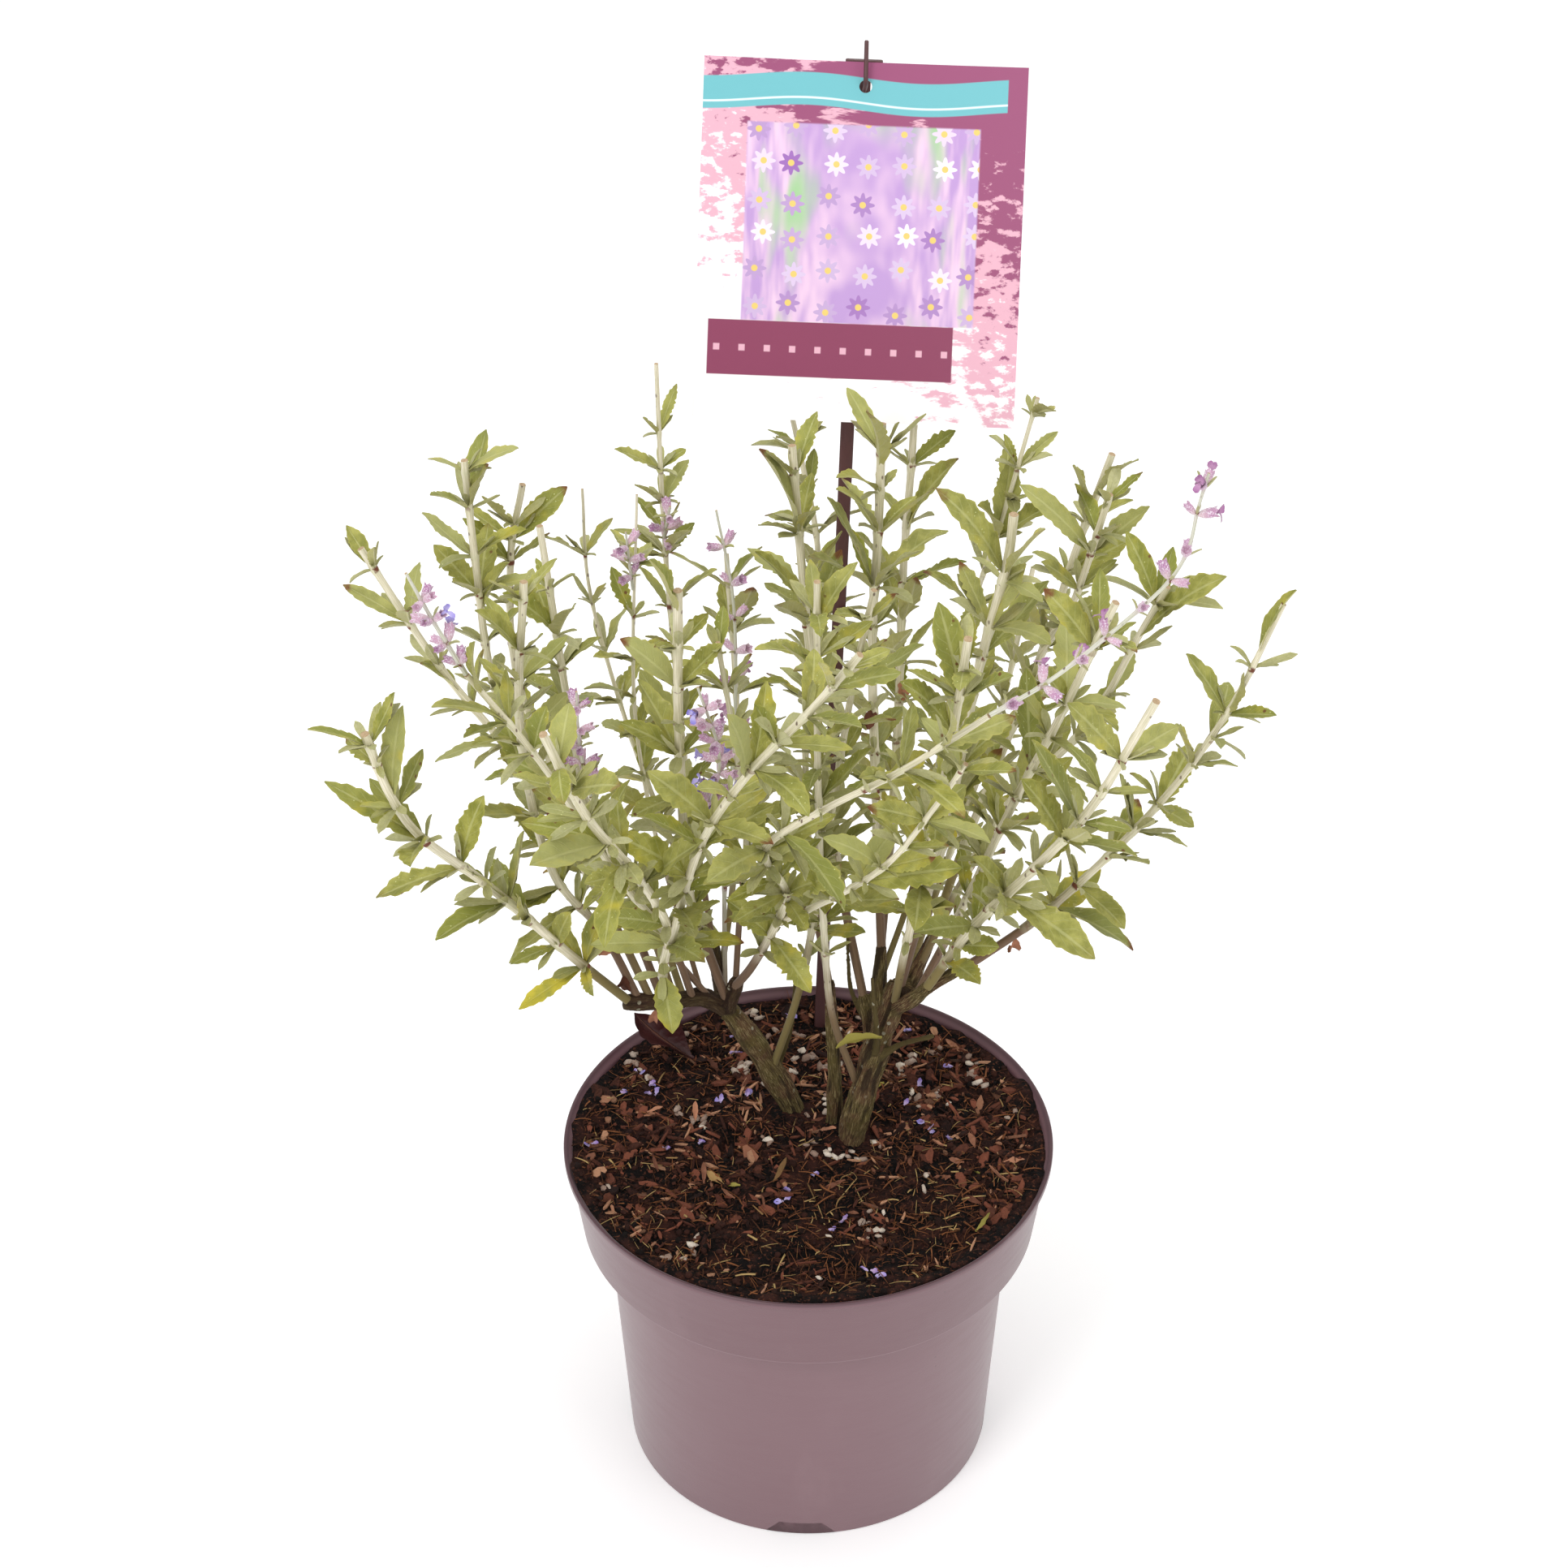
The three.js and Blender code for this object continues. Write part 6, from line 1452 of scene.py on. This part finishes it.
class Look:
    """A material written as short calls: each adds a node and gives back its output."""

    def __init__(self, name, roughness=0.6, **sockets):
        self.material = bpy.data.materials.new(name)
        self.material.use_nodes = True
        self.tree = self.material.node_tree
        self.tree.nodes.clear()
        self.shader = self.node("BsdfPrincipled", Roughness=roughness, **sockets)
        out = self.node("OutputMaterial")
        self.tree.links.new(self.shader.outputs[0], out.inputs["Surface"])

    def node(self, kind, settings=(), **sockets):
        made = self.tree.nodes.new("ShaderNode" + kind)
        for key, value in dict(settings).items():
            setattr(made, key, value)
        for key, value in sockets.items():
            self.feed(made.inputs[key.replace("_", " ")], value)
        return made

    def made(self, kind, output, settings=(), inputs=(), **sockets):
        """One output of a new node. Inputs without names of their own are given by number."""
        made = self.node(kind, settings, **sockets)
        for number, value in dict(inputs).items():
            self.feed(made.inputs[number], value)
        return Value(self, made.outputs[output])

    def feed(self, socket, value):
        if isinstance(value, Value):
            self.tree.links.new(value.socket, socket)
        elif isinstance(value, tuple) and socket.type == "RGBA":
            socket.default_value = (*value[:3], 1)
        else:
            socket.default_value = value

    def math(self, operation, *values):
        return self.made("Math", 0, {"operation": operation}, enumerate(values))

    def vectors(self, operation, *values):
        return self.made("VectorMath", 0, {"operation": operation}, enumerate(values))

    def ramp(self, value, low, high, start=0.0, end=1.0):
        return self.made("MapRange", 0, {"interpolation_type": "SMOOTHSTEP"}, Value=value,
                         From_Min=low, From_Max=high, To_Min=start, To_Max=end)

    def band(self, value, low, high, soft=0.004):
        """1 where the value lies between low and high."""
        return self.ramp(value, low - soft, low + soft) * self.ramp(value, high + soft, high - soft)

    def mix(self, share, a, b):
        return self.made("Mix", 2, {"data_type": "RGBA"}, {0: share, 6: a, 7: b})

    def coats(self, base, *coats):
        """The base colour under coats of other colours, each with its share."""
        for share, colour in coats:
            base = self.mix(share, base, colour)
        return base

    def place(self):
        return self.made("TexCoord", "Object")

    def stretched(self, vector, *scale):
        return self.vectors("MULTIPLY", vector, scale)

    def noise(self, vector, scale, detail=3.0, roughness=0.55):
        return self.made("TexNoise", "Fac", Vector=vector, Scale=scale, Detail=detail, Roughness=roughness)

    def cells(self, vector, scale):
        """Distance to the nearest of many scattered points."""
        return self.made("TexVoronoi", "Distance", Vector=vector, Scale=scale)

    def parts(self, vector):
        return [Value(self, socket) for socket in self.node("SeparateXYZ", Vector=vector).outputs]

    def vector(self, name):
        """A vector that the mesh holds at each of its points."""
        return self.made("Attribute", "Vector", {"attribute_name": name})

    def bump(self, height, distance, strength=1.0):
        raised = self.made("Bump", 0, Height=height, Strength=strength, Distance=distance)
        self.feed(self.shader.inputs["Normal"], raised)

    def finish(self, colour, roughness=None):
        self.feed(self.shader.inputs["Base Color"], colour)
        if roughness is not None:
            self.feed(self.shader.inputs["Roughness"], roughness)
        return self.material


def tint(*screen):
    """A colour given as on a screen, 0 to 255."""
    return tuple(x / 255 / 12.92 if x < 10.3 else ((x / 255 + 0.055) / 1.055) ** 2.4 for x in screen)


def leaf_look(name, under):
    """A leaf's face: midrib and side veins, mottling, a yellow rim, specks, and brown at some tips."""
    g = Look(name, 0.6, Sheen_Weight=0.06, Specular_IOR_Level=0.3)
    u, v, seed = g.parts(g.vector("blade"))
    sage, yellow, brown = g.parts(g.vector("tone"))
    place, out = g.place(), abs(v)
    saw = abs(g.math("FRACT", u * VEINS - out * VEIN_SLANT) - 0.5)
    side_veins = g.ramp(saw, 0.1, 0.02) * g.ramp(out, 1.0, 0.55)
    veins = g.math("MAXIMUM", g.ramp(out, 0.15, 0.05), side_veins * 0.45)
    mottle, fine = g.noise(place, 190, 4), g.noise(place, 1500, 2)
    if under:
        green = g.coats(g.mix(mottle, tint(154, 151, 88), tint(186, 181, 122)),
                        (veins * 0.8, tint(196, 192, 150)))
    else:
        green = g.coats(g.mix(g.ramp(mottle, 0.3, 0.7), tint(132, 134, 46), tint(178, 175, 86)),
                        (fine * 0.4, tint(104, 106, 34)),
                        (g.ramp(seed, 0.55, 1.0, 0.0, 0.7), tint(122, 130, 44)),
                        (g.ramp(seed, 0.4, 0.0, 0.0, 0.7), tint(172, 174, 108)),
                        (veins * 0.45, tint(196, 196, 134)))
    yellowed = g.ramp(g.noise(place, 90, 2) + yellow * 0.9, 0.62, 1.0)
    silver = g.mix(g.noise(place, 700, 2), tint(162, 162, 112), tint(210, 206, 170))
    specks = g.ramp(g.cells(place, 420), 0.13, 0.07) * g.ramp(seed, 0.3, 0.7)
    blots = g.ramp(g.cells(place, 110), 0.1, 0.05) * g.ramp(seed, 0.45, 0.6)
    burnt = g.ramp(u + g.noise(place, 260, 2) * 0.35, 1.02, 1.16) * g.ramp(brown, 0.4, 0.7)
    green = g.coats(green, (g.ramp(out, 0.8, 1.0) * 0.5, tint(180, 174, 84)),
                    (yellowed, tint(196, 182, 52)), (sage * 0.85, silver), (specks, tint(200, 204, 140)),
                    (blots, tint(112, 78, 40)), (burnt, tint(122, 78, 42)))
    g.bump(veins * (0.6 if under else -0.5) + fine * 0.35, 0.0005, 0.7)
    return g.finish(green)


def stem_look(name, fresh, old, node_colour):
    """A stem's skin: long streaks, purple-brown dots, darker nodes, browner towards its foot."""
    g = Look(name, 0.6, Sheen_Weight=0.08, Specular_IOR_Level=0.3)
    age, at_node, seed = g.parts(g.vector("tone"))
    place = g.place()
    streaks = g.noise(g.stretched(g.vector("blade"), 2.2, 2.2, 0.05), 1.6, 3)
    aged = g.mix(g.ramp(seed, 0.5, 0.75), g.mix(streaks, *old), tint(124, 110, 66))
    scar = g.ramp(at_node, 0.4, 0.8) * g.ramp(g.noise(place, 210, 2), 0.55, 0.6)
    few = g.ramp(g.noise(place, 45, 2), 0.42, 0.6)
    dots = g.ramp(g.cells(g.stretched(place, 1, 1, 0.55), 330), 0.2, 0.1) * few
    g.bump(streaks - dots * 0.5, 0.0003, 0.5)
    return g.finish(g.coats(
        g.mix(g.ramp(streaks, 0.35, 0.65), *fresh),
        (g.ramp(age + g.noise(place, 60, 2) * 0.3, 0.25, 0.75), aged), (at_node * 0.45, node_colour),
        (scar, tint(112, 62, 44)), (dots * 0.85, tint(88, 62, 52))))


def cut_look():
    g = Look("cut_stem_face", 0.75)
    place = g.place()
    g.bump(g.noise(place, 2200, 2), 0.0003)
    return g.finish(g.mix(g.noise(place, 1400, 2), tint(146, 112, 78), tint(206, 184, 148)))


def calyx_look():
    """Mauve wool over a darker calyx. The hairs have a first tone above 1 and are almost white."""
    g = Look("woolly_calyx", 0.8, Sheen_Weight=0.6, Sheen_Roughness=0.5)
    u, _, _ = g.parts(g.vector("blade"))
    own, _, _ = g.parts(g.vector("tone"))
    wool = g.noise(g.place(), 1900, 3)
    g.bump(wool, 0.0004)
    return g.finish(g.coats(
        g.mix(g.ramp(u, 0.05, 0.85), tint(212, 186, 190), tint(170, 114, 158)),
        (own * 0.65, tint(228, 190, 204)), (g.ramp(wool, 0.48, 0.66), tint(232, 218, 230)),
        (g.ramp(own, 1.1, 1.3), tint(236, 224, 234))))


def petal_look():
    """Violet with darker streaks. The second tone turns a flower mauve."""
    g = Look("violet_petal", 0.55, Sheen_Weight=0.3)
    u, v, _ = g.parts(g.vector("blade"))
    own, mauve, _ = g.parts(g.vector("tone"))
    streak = g.ramp(abs(g.math("SINE", v * 7.0)), 0.25, 0.0)
    g.bump(g.noise(g.place(), 1500, 2), 0.0002)
    return g.finish(g.coats(
        g.mix(g.ramp(u, 0.1, 0.9), tint(200, 190, 232), tint(136, 124, 216)),
        (streak * 0.35, tint(98, 82, 190)), (own * 0.5, tint(184, 172, 226)),
        (mauve, g.mix(u, tint(196, 150, 186), tint(150, 88, 142)))))


def bark_look():
    """Fissured bark: dark in the grooves, olive on the ridges, with grey flecks and a dark left branch."""
    g = Look("bark", 0.85, Specular_IOR_Level=0.25)
    dark, ridges, twig = g.parts(g.vector("tone"))
    place = g.place()
    fibre = g.noise(g.stretched(g.vector("blade"), 2.6, 2.6, 2.0), 1.0, 5, 0.7)
    patch = g.noise(place, 60, 3)
    groove = g.math("MAXIMUM", g.ramp(ridges, 0.7, 0.5), g.ramp(fibre, 0.46, 0.38))
    moss = g.ramp(g.noise(place, 95, 3), 0.54, 0.66)
    fleck = g.ramp(g.cells(place, 230), 0.22, 0.14) * g.ramp(patch, 0.52, 0.62)
    g.bump(fibre * 1.5 + ridges, 0.0012)
    return g.finish(g.coats(
        g.mix(g.ramp(patch, 0.4, 0.6), tint(108, 94, 54), tint(112, 82, 58)),
        (g.ramp(fibre, 0.5, 0.64), tint(172, 152, 108)), (groove * 0.8, tint(50, 36, 24)),
        (moss * 0.4, tint(112, 100, 50)), (dark * 0.7, tint(60, 38, 28)),
        (twig, g.mix(fibre, tint(112, 100, 52), tint(96, 78, 52))), (fleck, tint(196, 190, 164))))


def pot_look():
    """Moulded plastic: dusty mauve, painted shade on the rim and the inner wall above the soil, a painted
    highlight along the collar's lower edge, faint scuffs and dust, a fine moulded grain.
    """
    g = Look("moulded_plastic", 0.42, Specular_IOR_Level=0.6, Sheen_Weight=0.25, Sheen_Roughness=0.35)
    place = g.place()
    x, y, z = g.parts(place)
    radius = g.math("SQRT", x * x + y * y)
    top, step = POT["height"] * MM, POT["collar_bottom"] * MM
    # Painted shade: the top of the rim (lip) and the inner wall above the soil are darkened in the colour.
    lip = g.ramp(z, top - 1.8 * MM, top - 0.5 * MM) * 0.7
    inner_wall_shade = g.ramp(z, step + 2 * MM, step + 4 * MM) * g.ramp(radius - z * 0.138, 0.0727, 0.0717)
    collar = g.ramp(z, step - 0.5 * MM, step + 0.5 * MM)
    # Painted highlight: a pale line along the collar's lower outside edge.
    painted_edge_highlight = g.band(z, step - 0.3 * MM, step + 0.6 * MM, 0.4 * MM) * g.ramp(radius, 0.086, 0.088)
    dust = g.ramp(g.noise(g.stretched(place, 1, 1, 0.4), 45, 5), 0.55, 0.8)
    soil_marks = g.ramp(g.cells(place, 75), 0.045, 0.02)
    scuffs = g.noise(g.stretched(place, 1, 1, 6), 60, 4)
    g.bump(g.noise(place, 1600, 2) + scuffs * 0.2, 0.0001, 0.4)
    colour = g.coats(
        g.mix(g.noise(place, 14, 3), tint(115, 84, 90), tint(121, 90, 97)), (collar * 0.55, tint(98, 62, 70)),
        (g.math("MAXIMUM", lip, inner_wall_shade), tint(66, 34, 44)), (dust * 0.2, tint(138, 110, 115)),
        (soil_marks * 0.5, tint(84, 60, 60)), (painted_edge_highlight * 0.5, tint(176, 150, 156)))
    return g.finish(colour, g.ramp(scuffs, 0.3, 0.8, 0.42, 0.48))


def crumbly_look(name, dark, light, fine_scale=1200, depth=0.0005, accent=None):
    """Soil, crumbs, flakes and fibres: each bit has its own tone between dark and light."""
    g = Look(name, 0.9, Specular_IOR_Level=0.25)
    own, second, _ = g.parts(g.vector("tone"))
    grain = g.noise(g.place(), fine_scale, 4)
    colour = g.mix(g.ramp(g.math("POWER", own, 1.6) * 0.75 + grain * 0.4, 0.1, 1.0), dark, light)
    g.bump(grain, depth)
    return g.finish(g.mix(g.ramp(second, 0.86, 0.96), colour, accent) if accent else colour)


def soil_look():
    g = Look("peat", 0.92, Specular_IOR_Level=0.2)
    place = g.place()
    coarse, grain = g.noise(place, 110, 4), g.noise(place, 700, 4)
    g.bump(coarse + grain, 0.0016)
    return g.finish(g.coats(g.mix(g.ramp(coarse, 0.44, 0.64), tint(9, 4, 4), tint(54, 28, 22)),
                            (g.ramp(grain, 0.54, 0.7), tint(96, 56, 40))))


def stake_look():
    g = Look("stake_plastic", 0.38)
    place = g.place()
    colour = g.mix(g.noise(g.stretched(place, 1, 1, 0.2), 120, 3), tint(70, 40, 42), tint(92, 56, 56))
    scuffs = g.noise(g.stretched(place, 1, 1, 0.15), 500, 3)
    g.bump(scuffs, 0.0001, 0.6)
    return g.finish(colour, g.ramp(scuffs, 0.3, 0.7, 0.32, 0.5))


def dead_look():
    g = Look("dead_leaf", 0.5)
    _, v, _ = g.parts(g.vector("blade"))
    place = g.place()
    rib = g.ramp(abs(v), 0.1, 0.02)
    g.bump(g.noise(place, 500, 3) + rib, 0.0005)
    return g.finish(g.coats(g.mix(g.noise(place, 160, 4), tint(44, 16, 20), tint(84, 38, 36)),
                            (rib * 0.5, tint(132, 84, 64))))


def daisies(g, vector):
    """Rows of round daisies on a lilac field. The card's width is 1."""
    cells = g.node("TexVoronoi", {"voronoi_dimensions": "2D"}, Vector=vector, Scale=9.0, Randomness=0.3)
    middle, far, own = (Value(g, cells.outputs[key]) for key in ("Position", "Distance", "Color"))
    x, y, _ = g.parts(g.vectors("SUBTRACT", vector, middle))
    petals = g.math("COSINE", g.math("ARCTAN2", y, x) * 8.0) * 0.07 + 0.27
    blossom = g.mix(g.parts(own)[0], tint(150, 96, 176), tint(240, 226, 244))
    field = g.ramp(g.noise(vector, 4.0, 2), 0.35, 0.65)
    return g.coats(g.mix(field, tint(186, 150, 206), tint(232, 198, 224)),
                   (g.ramp(g.noise(vector, 3.1, 1), 0.5, 0.8), tint(158, 200, 146)),
                   (g.ramp(far - petals, 0.015, -0.015), blossom),
                   (g.ramp(far, 0.1, 0.08), tint(232, 200, 110)))


def card_look():
    """A plain printed design: round daisies in a frame, plum strokes on pink, a plum bar, a teal ribbon."""
    g = Look("printed_card", 0.38, Specular_IOR_Level=0.5, Coat_Weight=0.1, Coat_Roughness=0.25)
    pink, sharp = tint(226, 172, 190), 0.002
    vector = g.vector("print")
    x, y, _ = g.parts(vector)
    slanted = g.made("Mapping", 0, Vector=vector, Rotation=(0, 0, 0.9), Scale=(2.2, 15.0, 1.0))
    wash = g.noise(slanted, 2.2, 5, 0.6) + (y * 0.5 + x * 0.35)
    bar = g.band(x, -0.46, 0.30, sharp) * g.band(y, -0.42, -0.25, sharp)
    dots = g.ramp(abs(g.math("SINE", x * 40.0)), 0.9, 0.95) * bar * g.band(y, -0.345, -0.325, sharp)
    level = y + g.math("SINE", x * 9.0) * 0.012
    ribbon = g.band(level, 0.405, 0.505, sharp) * g.band(x, -0.55, 0.44, sharp)
    g.bump(g.noise(vector, 900, 2), 0.00002, 0.3)
    return g.finish(g.coats(
        g.mix(g.ramp(wash, 0.36, 0.46), tint(250, 248, 249), pink),
        (g.ramp(wash, 0.60, 0.68), tint(150, 72, 112)),
        (g.band(x, -0.36, 0.36) * g.band(y, -0.25, 0.36), daisies(g, vector)),
        (bar, tint(134, 52, 86)), (dots, pink), (ribbon, tint(108, 184, 192)),
        (ribbon * g.band(level, 0.425, 0.431, sharp), tint(226, 242, 244))))


def paper_look():
    g = Look("card_back", 0.5)
    vector = g.vector("print")
    g.bump(g.noise(vector, 700, 2), 0.00003, 0.3)
    return g.finish(g.mix(g.noise(vector, 30, 4), tint(238, 234, 238), tint(248, 246, 248)))


def make_looks():
    old = (tint(92, 68, 52), tint(132, 106, 82))
    stem = (tint(206, 199, 168), tint(236, 228, 206))
    stalk = (tint(184, 186, 160), tint(216, 214, 202))
    return {
        "leaf": leaf_look("leaf_face", False), "leaf_under": leaf_look("leaf_under", True),
        "stem": stem_look("stem_skin", stem, old, tint(206, 206, 168)),
        "stalk": stem_look("stalk_skin", stalk, old, tint(200, 180, 190)),
        "cut": cut_look(), "calyx": calyx_look(), "petal": petal_look(), "bark": bark_look(),
        "pot": pot_look(), "soil": soil_look(), "stake": stake_look(), "dead": dead_look(),
        "card": card_look(), "card_back": paper_look(),
        "flake": crumbly_look("bark_flake", tint(22, 9, 8), tint(128, 74, 56), 900, 0.0008,
                              tint(186, 138, 108)),
        "strand": crumbly_look("coir", tint(46, 22, 15), tint(140, 88, 54), 900, 0.0003, tint(190, 160, 106)),
        "crumb": crumbly_look("peat_crumb", tint(10, 5, 4), tint(62, 32, 24), 1500, 0.001),
        "husk": crumbly_look("dry_husk", tint(150, 122, 108), tint(232, 218, 202), 1500, 0.0008),
        "fragment": crumbly_look("leaf_fragment", tint(86, 48, 36), tint(182, 128, 100), 500, 0.0005,
                                 tint(150, 140, 70)),
    }


# Stage, camera and light, in metres, degrees, watts and the photo's pixels
IMAGE = 1932
CAMERA = {"place": (0, -1.141, 1.120), "down": 35.3, "focal": 4741, "middle": 996, "sensor": 36,
          "clip": (0.05, 50)}
LIGHTS = {"key": ((-0.9, -1.3, 1.6), 0.8, 15), "fill": ((1.2, -1.0, 1.0), 1.0, 5),
          "top": ((0.1, 0.3, 1.8), 1.2, 9)}
AIM = (0, 0, 0.25)
SKY = 0.72
FLOOR = {"half": 16, "glow": 0.2}


def add_to_scene(name, data):
    made = bpy.data.objects.new(name, data)
    bpy.context.scene.collection.objects.link(made)
    return made


def make_stage():
    g = Look("floor", 0.9, Emission_Color=(1, 1, 1, 1), Emission_Strength=FLOOR["glow"])
    colour = g.mix(g.noise(g.place(), 2, 2), (0.93, 0.93, 0.93), (0.95, 0.95, 0.95))
    corners = [(x * FLOOR["half"], y * FLOOR["half"], 0) for x, y in ((-1, -1), (1, -1), (1, 1), (-1, 1))]
    mesh = bpy.data.meshes.new("floor")
    mesh.from_pydata(corners, [], [(0, 1, 2, 3)])
    mesh.materials.append(g.finish(colour))
    add_to_scene("floor", mesh)


def make_camera():
    data = bpy.data.cameras.new("camera")
    data.sensor_width = CAMERA["sensor"]
    data.lens = data.sensor_width * CAMERA["focal"] / IMAGE
    data.shift_x = (IMAGE / 2 - CAMERA["middle"]) / IMAGE
    data.clip_start, data.clip_end = CAMERA["clip"]
    camera = add_to_scene("camera", data)
    camera.location = CAMERA["place"]
    camera.rotation_euler = ((90 - CAMERA["down"]) * DEGREE, 0, 0)
    bpy.context.scene.camera = camera


def make_lights():
    for name, (place, size, power) in LIGHTS.items():
        data = bpy.data.lights.new(name, "AREA")
        data.size, data.energy = size, power
        light = add_to_scene(name, data)
        light.location = place
        light.rotation_euler = (Vector(place) - Vector(AIM)).to_track_quat("Z", "Y").to_euler()


def make_world():
    world = bpy.data.worlds.new("studio")
    world.use_nodes = True
    tree = world.node_tree
    background = tree.nodes.get("Background") or tree.nodes.new("ShaderNodeBackground")
    background.inputs["Color"].default_value = (1, 1, 1, 1)
    background.inputs["Strength"].default_value = SKY
    out = tree.nodes.get("World Output") or tree.nodes.new("ShaderNodeOutputWorld")
    tree.links.new(background.outputs[0], out.inputs["Surface"])
    bpy.context.scene.world = world
    bpy.context.scene.view_settings.view_transform = "Standard"


make_camera()
make_world()
make_stage()
make_lights()
looks = make_looks()
make_leafy_stems(grow_plant(), looks)
for index in range(len(SPRAYS)):
    make_spray(index, looks)
make_wood(looks)
make_pot(looks)
make_ground(looks)
make_litter(looks)
make_stake(looks)
make_card(looks)
make_dry_leaf(looks)
